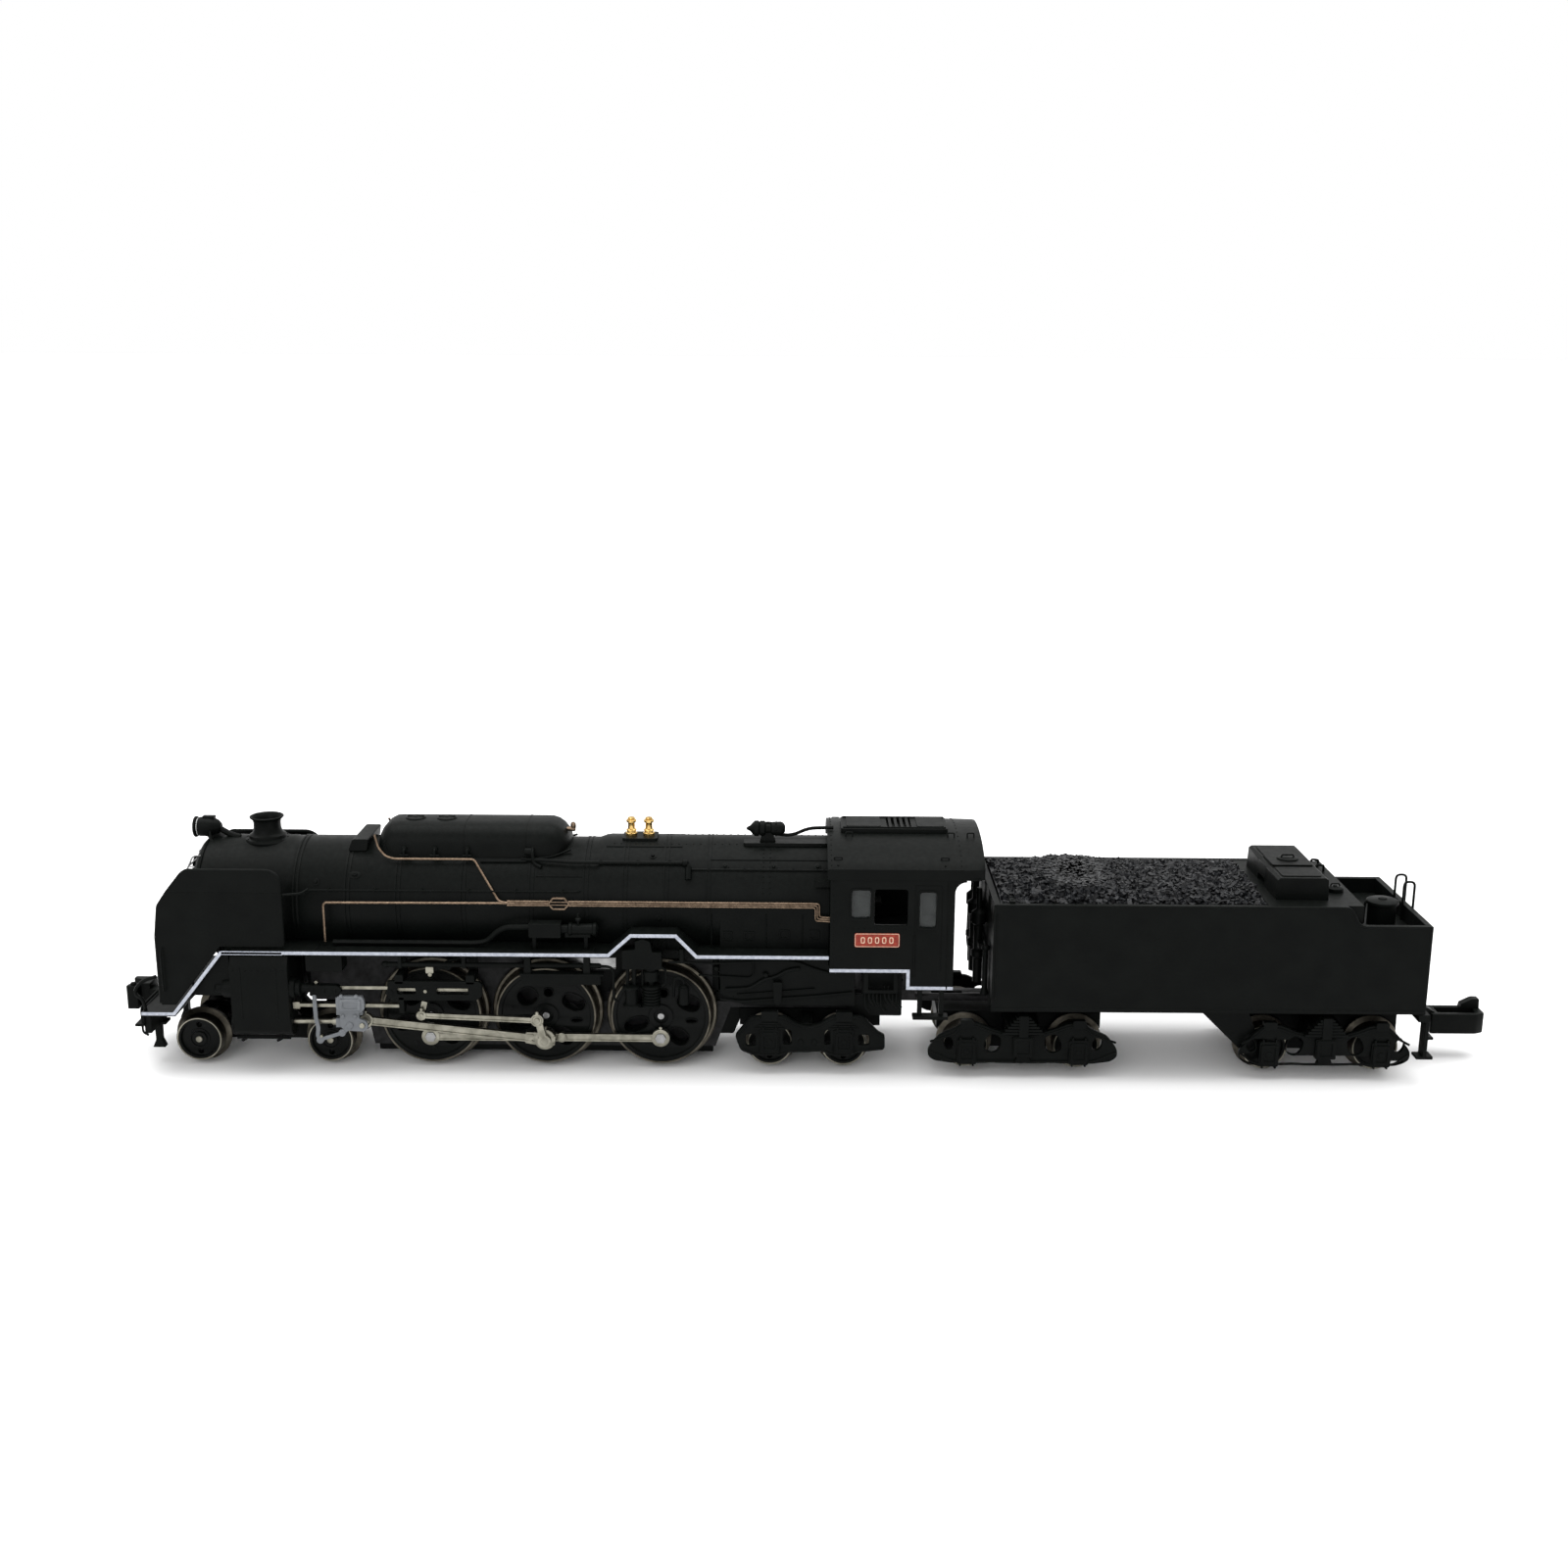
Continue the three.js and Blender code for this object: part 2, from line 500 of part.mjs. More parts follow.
// ---------------------------------------------------------------- chassis and drive
function chassis() {
  const half = 3.2;
  const tailX = 12;
  const base = prismY([
    [-54.3, 7.3], [-48.6, 7.3], [-47.6, 2.15], [-9.9, 2.15], [-8.2, 6.75], [6.4, 6.75], [6.4, 7.9],
    [tailX, 7.9], [tailX, 8.9], [4.9, 8.9], [4.9, 7.4], [-10.2, 7.4], [-10.2, 14.4], [-19.3, 14.4],
    [-19.3, 7.3], [-27.7, 7.3], [-27.7, 14.4], [-30, 16.4], [-54.3, 16.4],
  ], -half, half);
  const axleBores = DRIVER_X.map((x) => rodY(x, DRIVER_Z, 1.2, -half - 1, half + 1, 10));
  const gearSlot = box(DRIVER_X[2] - 4.7, DRIVER_X[2] + 4.7, -1, 1, 1, 11.2);
  const wormBay = box(DRIVER_X[2] - 3, DRIVER_X[2] + 3, -2, 2, 9.2, 15);
  const shaftBore = rodX(0, WORM_Z, 0.95, -30, -9, 12);
  const drawbarHole = rodZ(10, 0, 0.95, 7.5, 9.5, 12);
  const truckHole = rodZ(0.15, 0, 1.1, 6.5, 7.6, 12);
  return cut(base, axleBores, gearSlot, wormBay, shaftBore, drawbarHole, truckHole);
}

function keeperPlate() {
  return box(-47.2, -10.2, -2.9, 2.9, 1.4, 2.05);
}

function motorCan() {
  const flat = 3.3;
  const section = circle(0, WORM_Z, 3.6, 20).map(([y, z]) => [THREE.MathUtils.clamp(y, -flat, flat), z]);
  const can = prismX(section, -9.4, 1.5);
  return cut(can, rodX(0, WORM_Z, 0.95, -12, 3, 12));
}

// Screw thread as a height field: radius set by the phase along the axis minus the turn.
function wormThread() {
  const around = 10;
  const perPitch = 7;
  const rows = Math.round(2 * WORM_HALF / WORM_LEAD * perPitch);
  const middle = DRIVER_X[2];
  const crest = WORM_PITCH_R + 0.2;
  const root = WORM_PITCH_R - 0.36;
  const rings = [];
  for (let row = 0; row <= rows; row += 1) {
    const x = middle - WORM_HALF + 2 * WORM_HALF * row / rows;
    rings.push(Array.from({ length: around }, (_, i) => {
      const angle = 2 * Math.PI * i / around;
      // the thread's hollow faces straight down at the gear's centre line
      const phase = 2 * Math.PI * (x - middle) / WORM_LEAD + (angle + Math.PI / 2) + Math.PI;
      const height = THREE.MathUtils.clamp(0.5 + 0.9 * (Math.cos(phase) - 0.35), 0, 1);
      const radius = root + (crest - root) * height;
      return new THREE.Vector3(x, radius * Math.cos(angle), WORM_Z + radius * Math.sin(angle));
    }));
  }
  return skin(rings);
}

function motorRotor() {
  const shaft = turnedX([[0, -28.8], [SHAFT_R, -28.8], [SHAFT_R, -26.4], [3.0, -26.3], [3.0, -20.8],
    [SHAFT_R, -20.7], [SHAFT_R, 2.3], [0, 2.3]], 0, WORM_Z, 14);
  return join(shaft, wormThread());
}

function driveGear() {
  const points = [];
  for (let tooth = 0; tooth < GEAR_TEETH; tooth += 1) {
    const centre = Math.PI / 2 + 2 * Math.PI * tooth / GEAR_TEETH;
    const pitchAngle = 2 * Math.PI / GEAR_TEETH;
    [[-0.5, -0.33], [-0.24, -0.33], [-0.09, 0.26], [0.09, 0.26], [0.24, -0.33]].forEach(([turn, height]) => {
      const angle = centre + turn * pitchAngle;
      const radius = GEAR_PITCH_R + height;
      points.push([DRIVER_X[2] + radius * Math.cos(angle), DRIVER_Z + radius * Math.sin(angle)]);
    });
  }
  return prismY(points, -0.55, 0.55);
}

// ---------------------------------------------------------------- wheels
// Crank direction on one side: straight down on the left, a quarter turn on for the right.
function crankOffset(turn, [dx, dz]) {
  return [dx * Math.cos(turn) - dz * Math.sin(turn), dx * Math.sin(turn) + dz * Math.cos(turn)];
}

function crankPinAt(x, { turn }) {
  const [dx, dz] = crankOffset(turn, [0, -CRANK]);
  return [x + dx, DRIVER_Z + dz];
}

// Kidney-shaped opening between two radii of a wheel centre.
function kidney(x, z, inner, outer, middle, spread) {
  return [...arc(x, z, outer, middle - spread, middle + spread, 3),
    ...arc(x, z, inner, middle + spread, middle - spread, 1)];
}

function driverWheels(axle) {
  const x = DRIVER_X[axle];
  const z = DRIVER_Z;
  let wheels = turnedY([
    [0, -WHEEL_OUTER], [DRIVER_TREAD, -WHEEL_OUTER], [DRIVER_TREAD + 0.05, -4.35],
    [DRIVER_FLANGE, -4.1], [DRIVER_FLANGE, -WHEEL_INNER], [1, -WHEEL_INNER],
    [1, WHEEL_INNER], [DRIVER_FLANGE, WHEEL_INNER], [DRIVER_FLANGE, 4.1],
    [DRIVER_TREAD + 0.05, 4.35], [DRIVER_TREAD, WHEEL_OUTER], [0, WHEEL_OUTER],
  ], x, z, 24);
  if (axle === 2) wheels = join(wheels, driveGear());
  SIDES.forEach((side) => {
    const { sign, turn } = side;
    const degrees = THREE.MathUtils.radToDeg(turn);
    const openings = [-20, 45, 135, 200].map((angle) => prismY(
      kidney(x, z, 2.1, 4.2, angle + degrees, 17), sign * 3, sign * 7));
    const [pinX, pinZ] = crankPinAt(x, side);
    const boss = rodY(pinX, pinZ, 0.9, sign * (WHEEL_OUTER - 0.2), sign * (WHEEL_OUTER + 0.2), 10);
    const pinEnd = axle === 1 ? RETURN_CRANK_Y[1] : SIDE_ROD_Y[1] + 0.15;
    const pin = rodY(pinX, pinZ, 0.45, sign * WHEEL_OUTER, sign * pinEnd, 8);
    wheels = join(cut(wheels, openings), boss, pin);
    if (axle === 1) wheels = join(wheels, returnCrank(side));
  });
  return wheels;
}

function returnPinAt({ turn }) {
  const [dx, dz] = crankOffset(turn, RETURN_PIN);
  return [MAIN_X + dx, DRIVER_Z + dz];
}

// Flat strap with an eye at each end, in X and Z.
function strap([ax, az], [bx, bz], eyeA, eyeB, halfWidth) {
  const angle = THREE.MathUtils.radToDeg(Math.atan2(bz - az, bx - ax));
  const opening = (eye) => THREE.MathUtils.radToDeg(Math.asin(halfWidth / eye));
  return [
    ...arc(ax, az, eyeA, angle + opening(eyeA), angle + 360 - opening(eyeA), 7),
    ...arc(bx, bz, eyeB, angle + 180 + opening(eyeB), angle + 540 - opening(eyeB), 7),
  ];
}

function returnCrank(side) {
  const { sign } = side;
  const crankPin = crankPinAt(MAIN_X, side);
  const returnPin = returnPinAt(side);
  const arm = prismY(strap(crankPin, returnPin, 0.75, 0.6, 0.4),
    sign * RETURN_CRANK_Y[0], sign * RETURN_CRANK_Y[1]);
  const pin = rodY(...returnPin, 0.3, sign * RETURN_CRANK_Y[0], sign * (ECCENTRIC_Y[1] + 0.1), 8);
  return join(arm, pin);
}

// Carrying wheels and axle in one turning; stub is how far the axle ends reach out.
function carryingWheels(x, stub) {
  const half = [[0.42, WHEEL_OUTER + stub], [0.42, WHEEL_OUTER], [SMALL_TREAD, WHEEL_OUTER],
    [SMALL_FLANGE, 4.2], [SMALL_FLANGE, WHEEL_INNER], [0.75, WHEEL_INNER]];
  const profile = [[0, WHEEL_OUTER + stub], ...half];
  const mirrored = profile.map(([r, y]) => [r, -y]);
  return turnedY([...mirrored, ...profile.reverse()], x, SMALL_FLANGE, 14);
}

// ---------------------------------------------------------------- cylinders and rods
function cylinderBlock() {
  const outline = (sign) => [[sign * 3.4, 7.6], [sign * 6.3, 7.6], [sign * 6.3, 5.6], [sign * 6.8, 5.05],
    [sign * 8.2, 5.0], [sign * 8.8, 5.3], [sign * SIDE_Y, 6.2], [sign * SIDE_Y, 13.0],
    [sign * 8.6, 14.3], [sign * 3.4, 14.3]];
  const cylinders = SIDES.map(({ sign }) => {
    const points = sign > 0 ? outline(sign) : outline(sign).reverse();
    return prismX(points, -61.4, -55.0);
  });
  const chests = SIDES.map(({ sign }) => sideBox(sign, -62.6, -54.0, 6.6, SIDE_Y - 0.05, 9.8, 11.0));
  const saddle = box(-61.4, -55.0, -3.6, 3.6, 7.6, 14.3);
  const bores = SIDES.map(({ sign }) => rodX(sign * PISTON_Y, PISTON_Z, 0.5, -61.0, -54.0, 8));
  const pivotHole = rodZ((LEAD_X[0] + LEAD_X[1]) / 2, 0, 1.15, 7, 9.4, 12);
  return cut(join(cylinders, chests, saddle), bores, pivotHole, boilerSpace());
}

function slideBars({ sign }) {
  return sideBox(sign, -54.95, -43.5, ...SLIDE_BAR_Y, 8.2, 8.8);
}

function motionBracket({ sign }) {
  const [y0, y1] = BRACKET_Y;
  const plate = prismY([[-44.6, 9.6], [-44.0, 9.35], [-35.2, 9.35], [-34.5, 9.9], [-34.5, 11.3],
    [-35.0, 11.5], [-44.6, 11.5]], sign * y0, sign * y1);
  const slots = [[-43.6, -41.6], [-39.4, -35.9]].map(([x0, x1]) => sideBox(sign, x0, x1, 8, 9, 10.0, 10.8));
  const arms = [-43.8, -36.2].map((x) => join(
    sideBox(sign, x, x + 0.9, 6.2, y1, 11.4, 12.2),
    sideBox(sign, x, x + 0.9, 6.2, 6.8, 11.6, BOARD_Z - BOARD_T - GAP),
  ));
  const foot = sideBox(sign, -43.4, -42.9, 7.6, y1 - 0.1, 7.9, 9.7);
  const radiusBar = sideBox(sign, -52.6, -44.2, 8.4, 8.8, 9.95, 10.4);
  const pivotHole = rodY(...LINK_PIVOT, 0.5, sign * 8, sign * 9, 10);
  return cut(join(plate, arms, foot, radiusBar), slots, pivotHole);
}

// Distance the left or right crosshead stands from the middle axle.
function smallEndAt(side) {
  const [pinX, pinZ] = crankPinAt(MAIN_X, side);
  const drop = SMALL_END_Z - pinZ;
  return [pinX - Math.sqrt(MAIN_ROD_LENGTH ** 2 - drop ** 2), SMALL_END_Z];
}

function crosshead(side) {
  const { sign } = side;
  const [x] = smallEndAt(side);
  const [y0, y1] = CROSSHEAD_Y;
  const plate = prismY([[x - 2.8, 9.6], [x - 2.8, 7.0], [x - 2.3, 6.0], [x + 0.3, 5.8], [x + 0.9, 6.5],
    [x + 0.5, 7.4], [x, 8.0], [x, 9.6]], sign * y0, sign * y1);
  const shoes = [[7.5, 8.1], [8.9, 9.5]].map(([z0, z1]) => sideBox(sign, x - 2.8, x, 7.7, y0 + 0.1, z0, z1));
  const boss = sideBox(sign, x - 2.9, x - 1.9, 7.65, y0 + 0.1, 6.1, 7.1);
  const pistonRod = rodX(sign * PISTON_Y, PISTON_Z, 0.3, x - 9.8, x - 2.8, 8);
  const union = sideBox(sign, x - 5.0, x - 1.9, 8.6, 8.9, 5.9, 6.25);
  const lever = prismY([[x - 5.0, 4.5], [x - 4.6, 4.5], [x - 4.3, 9.6], [x - 4.9, 9.6]],
    sign * 8.6, sign * 8.9);
  return join(plate, shoes, boss, pistonRod, union, lever);
}

function couplingRod(side) {
  const { sign } = side;
  const pins = DRIVER_X.map((x) => crankPinAt(x, side));
  const [ya, yb] = SIDE_ROD_Y.map((y) => sign * y);
  const bars = [0, 1].map((i) => prismY(strap(pins[i], pins[i + 1], 1.0, 1.0, 0.42), ya, yb));
  const holes = pins.map(([x, z]) => rodY(x, z, 0.6, sign * 6, sign * 7, 8));
  return cut(join(bars), holes);
}

function mainRod(side) {
  const { sign } = side;
  const bigEnd = crankPinAt(MAIN_X, side);
  const smallEnd = smallEndAt(side);
  const [ya, yb] = MAIN_ROD_Y.map((y) => sign * y);
  const bar = prismY(strap(smallEnd, bigEnd, 0.85, 1.15, 0.45), ya, yb);
  const hole = rodY(...bigEnd, 0.6, sign * 6.9, sign * 7.5, 8);
  const pinHole = rodY(...smallEnd, 0.35, sign * 6.9, sign * 7.5, 8);
  return cut(bar, hole, pinHole);
}

function linkTailAt(side) {
  const [pinX, pinZ] = returnPinAt(side);
  const tailZ = 7.5;
  const drop = tailZ - pinZ;
  return [pinX - Math.sqrt(ECCENTRIC_LENGTH ** 2 - drop ** 2), tailZ];
}

function eccentricRod(side) {
  const { sign } = side;
  const [ya, yb] = ECCENTRIC_Y.map((y) => sign * y);
  const pin = returnPinAt(side);
  const tail = linkTailAt(side);
  const bar = prismY(strap(tail, pin, 0.55, 0.7, 0.3), ya, yb);
  return cut(bar, rodY(...pin, 0.42, sign * 8, sign * 9, 8), rodY(...tail, 0.2, sign * 8, sign * 9, 6));
}

function expansionLink(side) {
  const { sign } = side;
  const [tailX] = linkTailAt(side);
  const tilt = Math.asin((tailX - LINK_PIVOT[0]) / LINK_TAIL);
  const at = (along, across) => [
    LINK_PIVOT[0] - along * Math.sin(tilt) + across * Math.cos(tilt),
    LINK_PIVOT[1] + along * Math.cos(tilt) + across * Math.sin(tilt),
  ];
  const bar = prismY([at(-LINK_TAIL - 0.4, -0.3), at(-LINK_TAIL - 0.4, 0.3), at(-1.6, 0.55), at(0, 0.35),
    at(1.3, 0.55), at(1.3, -0.15), at(0, -0.4), at(-1.6, -0.15)], sign * 7.6, sign * 8.0);
  const pin = rodY(...LINK_PIVOT, 0.32, sign * 7.8, sign * 8.7, 8);
  return join(bar, pin);
}

// ---------------------------------------------------------------- trucks
function leadTruckFrame() {
  const middle = (LEAD_X[0] + LEAD_X[1]) / 2;
  const frame = prismY([[LEAD_X[0] - 2.0, 2.0], [LEAD_X[1] + 1.6, 2.0], [LEAD_X[1] + 1.6, 4.4],
    [middle + 3, 4.4], [middle + 2, 5.6], [middle - 2, 5.6], [middle - 3, 4.4], [LEAD_X[0] - 2.0, 4.4]],
  -2.7, 2.7);
  const bores = LEAD_X.map((x) => rodY(x, SMALL_FLANGE, 0.95, -3, 3, 12));
  const pivot = rodZ(middle, 0, 0.9, 5, 8.5, 12);
  const webCut = [-1, 1].map((k) => box(middle + k * 4.6 - 1.5, middle + k * 4.6 + 1.5, -1.7, 1.7, 1, 6));
  return join(cut(frame, bores, webCut), pivot);
}

// Side frame of an outside-framed truck with a hub bore for each axle end.
function sideFrame(sign, outline, axles, y0, y1, boxZ = 3.2) {
  const plate = prismY(outline, sign * y0, sign * y1);
  const hubs = axles.map((x) => rodY(x, SMALL_FLANGE, 1.0, sign * (y0 - 0.7), sign * (y0 + 0.1), 8));
  const boxes = axles.map((x) => sideBox(sign, x - 1.1, x + 1.1, y0 + 0.1, y1 + 0.4, boxZ - 1.2, boxZ + 1.2));
  const bores = axles.map((x) => rodY(x, SMALL_FLANGE, 0.62, sign * (y0 - 1), sign * y1, 6));
  return cut(join(plate, hubs, boxes), bores);
}

function trailingTruckFrame() {
  const middle = (TRAIL_X[0] + TRAIL_X[1]) / 2;
  const outline = [[-7.6, 4.6], [-6.4, 3.4], [-5.2, 2.5], [-2.5, 2.5], [-1.6, 3.6], [1.9, 3.6], [2.8, 2.5],
    [5.6, 2.5], [6.6, 3.4], [8.6, 3.6], [8.6, 4.8], [6.4, 6.0], [5.8, 7.6], [-5.6, 7.6], [-6.2, 5.9],
    [-7.6, 5.6]];
  const frames = SIDES.map(({ sign }) => sideFrame(sign, outline, TRAIL_X, 7.0, 7.6, 3.9));
  const cross = box(middle - 0.6, middle + 0.6, -7.2, 7.2, 4.2, 5.9);
  const pivot = rodZ(middle, 0, 0.85, 5.7, 7.1, 12);
  return join(frames, cross, pivot);
}

function tenderTruckFrame(axles, reach) {
  const middle = (axles[0] + axles[1]) / 2;
  const halfOutline = [[2.2, 1.4], [3.4, 3.2], [4.6, 2.2], [7.4, 2.2], [reach - 0.6, 2.7], [reach, 3.6],
    [reach, 4.5], [7.6, 5.0], [5.0, 6.2]];
  const outline = [
    ...halfOutline.map(([dx, z]) => [middle + dx, z]),
    ...halfOutline.reverse().map(([dx, z]) => [middle - dx, z]),
  ];
  const frames = SIDES.map(({ sign }) => sideFrame(sign, outline, axles, 7.3, 7.9));
  const bolster = box(middle - 1.8, middle + 1.8, -7.5, 7.5, 3.4, 6.1);
  const springs = SIDES.map(({ sign }) => sideBox(sign, middle - 1.9, middle + 1.9, 7.6, 8.5, 2.0, 5.0));
  const pivot = rodZ(middle, 0, 0.95, 5.9, 8.0, 12);
  return join(frames, bolster, springs, pivot);
}

// ---------------------------------------------------------------- tender
const DRAWBAR_ENGINE_X = 10;
const DRAWBAR_TENDER_X = 21.5;
const COUPLER_X = 63.6;
const BUNKER = { x0: 20.5, x1: 48.6, floor: 17.0 };

function drawbar() {
  const bar = prismZ([[DRAWBAR_ENGINE_X - 1.3, -0.7], [DRAWBAR_ENGINE_X, -1.3], [DRAWBAR_TENDER_X, -1.3],
    [DRAWBAR_TENDER_X + 0.7, -0.7], [DRAWBAR_TENDER_X + 0.7, 0.7], [DRAWBAR_TENDER_X, 1.3],
    [DRAWBAR_ENGINE_X, 1.3], [DRAWBAR_ENGINE_X - 1.3, 0.7]], 6.95, 7.6);
  const pins = [DRAWBAR_ENGINE_X, DRAWBAR_TENDER_X].map((x) => rodZ(x, 0, 0.7, 7.3, 8.55, 10));
  return join(bar, pins);
}

function tenderShell() {
  const deck = 16.8;
  const side = [[TENDER_X0, 8.7], [TENDER_X1, 8.7], [TENDER_X1, 18.5], [58.9, 18.5],
    ...arc(58.9, 19.6, 1.1, 270, 200, 3), ...arc(56.5, 19.5, 1.1, 10, 80, 3), [TENDER_X0, TENDER_TOP]];
  const hull = prismY(side, -SIDE_Y, SIDE_Y);
  const inner = SIDE_Y - WALL;
  const cavity = box(TENDER_X0 + 0.7, TENDER_X1 - 0.7, -inner, inner, 8, 16.1);
  const bunker = box(BUNKER.x0, BUNKER.x1, -inner + 0.1, inner - 0.1, BUNKER.floor, 22);
  const well = box(58.6, TENDER_X1 - 0.6, -inner, inner, deck, 20);
  const toolbox = cut(
    join(box(49.8, 55.4, -6.5, 6.5, 20.4, 22.9), box(50.4, 54.8, -2.2, 2.2, 22.8, 23.2)),
    prismX([[-1.4, 20.6], [1.4, 20.6], [1.4, 21.3], [-1.4, 21.3]], 49, 56),
  );
  const filler = turnedZ([[0, deck - 0.2], [1.5, deck - 0.2], [1.5, 19.2],
    [1.7, 19.25], [1.7, 19.6], [0, 19.75]], 62.3, -3, 12);
  const loops = [-1.4, 1.4].map((y) => pipe([[65.1, y, 16.9], [65.1, y, 20.6], [65.4, y, 21.0],
    [65.9, y, 21.0], [66.2, y, 20.6], [66.2, y, 16.9]], 0.2));
  const loopRest = box(64.8, 66.4, -1.8, 1.8, deck - 0.1, 17.4);
  const brake = join(box(18.9, 19.9, -6.4, -5.2, 9.6, 15.0), box(18.7, 19.9, -7.0, -4.6, 14.6, 15.2));
  const plate = box(18.8, 19.9, -3.2, 3.2, 13.6, 14.3);
  return join(cut(hull, cavity, bunker, well), toolbox, filler, loops, loopRest,
    brake, plate);
}

// Heap of coal: a long crest near the front, falling to the side walls, roughened by a fixed pattern.
function coalLoad() {
  const nx = 17;
  const ny = 8;
  const half = SIDE_Y - WALL - 0.15;
  const x0 = BUNKER.x0 + 0.05;
  const x1 = BUNKER.x1 - 0.05;
  const rings = [];
  for (let i = 0; i <= nx; i += 1) {
    const u = i / nx;
    const x = x0 + (x1 - x0) * u;
    const crest = 0.75 + 0.85 * Math.sin(Math.PI * Math.min(1, u / 0.75));
    const ring = [new THREE.Vector3(x, -half, BUNKER.floor + 0.05)];
    for (let j = 0; j <= ny; j += 1) {
      const v = 2 * j / ny - 1;
      const lump = 0.3 * Math.sin(7.3 * i + 3.1 * j) * Math.cos(2.7 * i - 5.9 * j);
      const rise = crest * (1 - v ** 4) + (Math.abs(v) < 0.99 ? lump : 0);
      ring.push(new THREE.Vector3(x, v * half, 20.1 + rise));
    }
    ring.push(new THREE.Vector3(x, half, BUNKER.floor + 0.05));
    rings.push(ring);
  }
  return skin(rings);
}

function tenderWeight() {
  const inner = SIDE_Y - WALL - 0.25;
  return box(TENDER_X0 + 1, TENDER_X1 - 1, -inner, inner, 8.9, 15.9);
}

function tenderUnderframe() {
  const floor = box(TENDER_X0 + 0.3, TENDER_X1 - 0.2, -5.6, 5.6, 7.9, 8.6);
  const stepBeam = box(65.2, 66.4, -SIDE_Y, SIDE_Y, 7.8, 8.6);
  const pocket = box(COUPLER_X - 1.6, TENDER_X1, -2.2, 2.2, 7.2, 8.2);
  const steps = SIDES.map(({ sign }) => join(
    sideBox(sign, 65.2, 66.4, 7.6, SIDE_Y, 7.8, 8.3),
    sideBox(sign, 66.0, 66.4, 7.6, SIDE_Y, 3.6, 8.2),
    sideBox(sign, 66.0, 67.1, 7.6, SIDE_Y, 3.6, 4.0),
    sideBox(sign, 66.0, 66.9, 7.6, SIDE_Y, 5.8, 6.2),
  ));
  const holes = [
    rodZ((TENDER_FRONT_X[0] + TENDER_FRONT_X[1]) / 2, 0, 1.2, 7, 9, 12),
    rodZ((TENDER_REAR_X[0] + TENDER_REAR_X[1]) / 2, 0, 1.2, 7, 9, 12),
    rodZ(DRAWBAR_TENDER_X, 0, 0.95, 7, 9, 12),
    rodZ(COUPLER_X, 0, 0.85, 7, 9, 12),
  ];
  return cut(join(floor, stepBeam, pocket, steps), holes);
}

// Hook coupler: a dropped shank, an open box head and an upright hook at its tip.
function rearCoupler() {
  const shank = prismY([[COUPLER_X - 1.2, 6.5], [67.2, 6.5], [69.9, 4.3], [69.9, 5.9], [67.8, 7.1],
    [COUPLER_X - 1.2, 7.1]], -0.9, 0.9);
  const pin = rodZ(COUPLER_X, 0, 0.6, 6.9, 8.5, 10);
  const head = cut(
    prismZ([[69.4, -1.5], [74.4, -1.5], [HALF_LENGTH, -1.0], [HALF_LENGTH, 1.5], [69.4, 1.5]], 3.7, 6.0),
    box(70.3, 74.6, -0.8, 0.8, 4.3, 7),
  );
  const hook = box(73.4, HALF_LENGTH, 0.5, 1.4, 5.9, 6.9);
  return join(shank, pin, head, hook);
}

// ---------------------------------------------------------------- assembly
const model = new THREE.Group();
model.name = 'tender_locomotive';
const place = (name, body, material, lift = 0) => {
  const mesh = part(name, body, material);
  mesh.position.z = lift;
  model.add(mesh);
};
const both = (name, make, material) => SIDES.forEach((side) => place(`${name}_${side.name}`, make(side), material));

place('chassis', chassis(), 'zinc');
place('keeper_plate', keeperPlate(), 'black_plastic');
place('motor_can', motorCan(), 'steel');
place('motor_rotor', motorRotor(), 'steel');
place('boiler_shell', boilerShell(), 'black_plastic');
place('smokebox_door', smokeboxDoor(), 'black_plastic');
place('chimney', chimney(), 'black_plastic');
place('dome_casing', domeCasing(), 'black_plastic');
place('headlight', headlight(), 'black_plastic');
place('safety_valves', safetyValves(), 'aged_brass');
place('generator', generator(), 'black_plastic');
place('front_deck', frontDeck(), 'black_plastic');
place('cab_shell', cabShell(), 'black_plastic');
place('cab_roof', cabRoof(), 'black_plastic');
place('cab_glazing', cabGlazing(), 'clear_plastic');
place('cylinder_block', cylinderBlock(), 'black_plastic');
both('number_plate', numberPlate, 'red_plate');
both('smoke_deflector', smokeDeflector, 'black_plastic');
both('running_board', runningBoard, 'black_plastic');
both('brass_pipes', brassPipes, 'aged_brass');
both('slide_bar', slideBars, 'nickel');
both('motion_bracket', motionBracket, 'black_plastic');
both('crosshead', crosshead, 'grey_plastic');
both('main_rod', mainRod, 'nickel');
both('coupling_rod', couplingRod, 'nickel');
both('eccentric_rod', eccentricRod, 'nickel');
both('expansion_link', expansionLink, 'black_plastic');
DRIVER_X.forEach((_, axle) => place(`driver_wheels_${axle + 1}`, driverWheels(axle), 'black_wheel'));
place('lead_truck_frame', leadTruckFrame(), 'black_plastic', WHEEL_BASE);
LEAD_X.forEach((x, i) => place(`lead_wheels_${i + 1}`, carryingWheels(x, 0.15), 'nickel', WHEEL_BASE));
place('trailing_truck_frame', trailingTruckFrame(), 'black_plastic', WHEEL_BASE);
TRAIL_X.forEach((x, i) => place(`trailing_wheels_${i + 1}`, carryingWheels(x, 0.9), 'nickel', WHEEL_BASE));
place('drawbar', drawbar(), 'steel');
place('tender_shell', tenderShell(), 'black_plastic');
place('coal_load', coalLoad(), 'coal');
place('tender_weight', tenderWeight(), 'zinc');
place('tender_underframe', tenderUnderframe(), 'black_plastic');
place('tender_front_truck_frame', tenderTruckFrame(TENDER_FRONT_X, 10.2), 'black_plastic', WHEEL_BASE);
TENDER_FRONT_X.forEach((x, i) => place(`tender_wheels_${i + 1}`, carryingWheels(x, 1.2), 'nickel', WHEEL_BASE));
place('tender_rear_truck_frame', tenderTruckFrame(TENDER_REAR_X, 9.2), 'black_plastic', WHEEL_BASE);
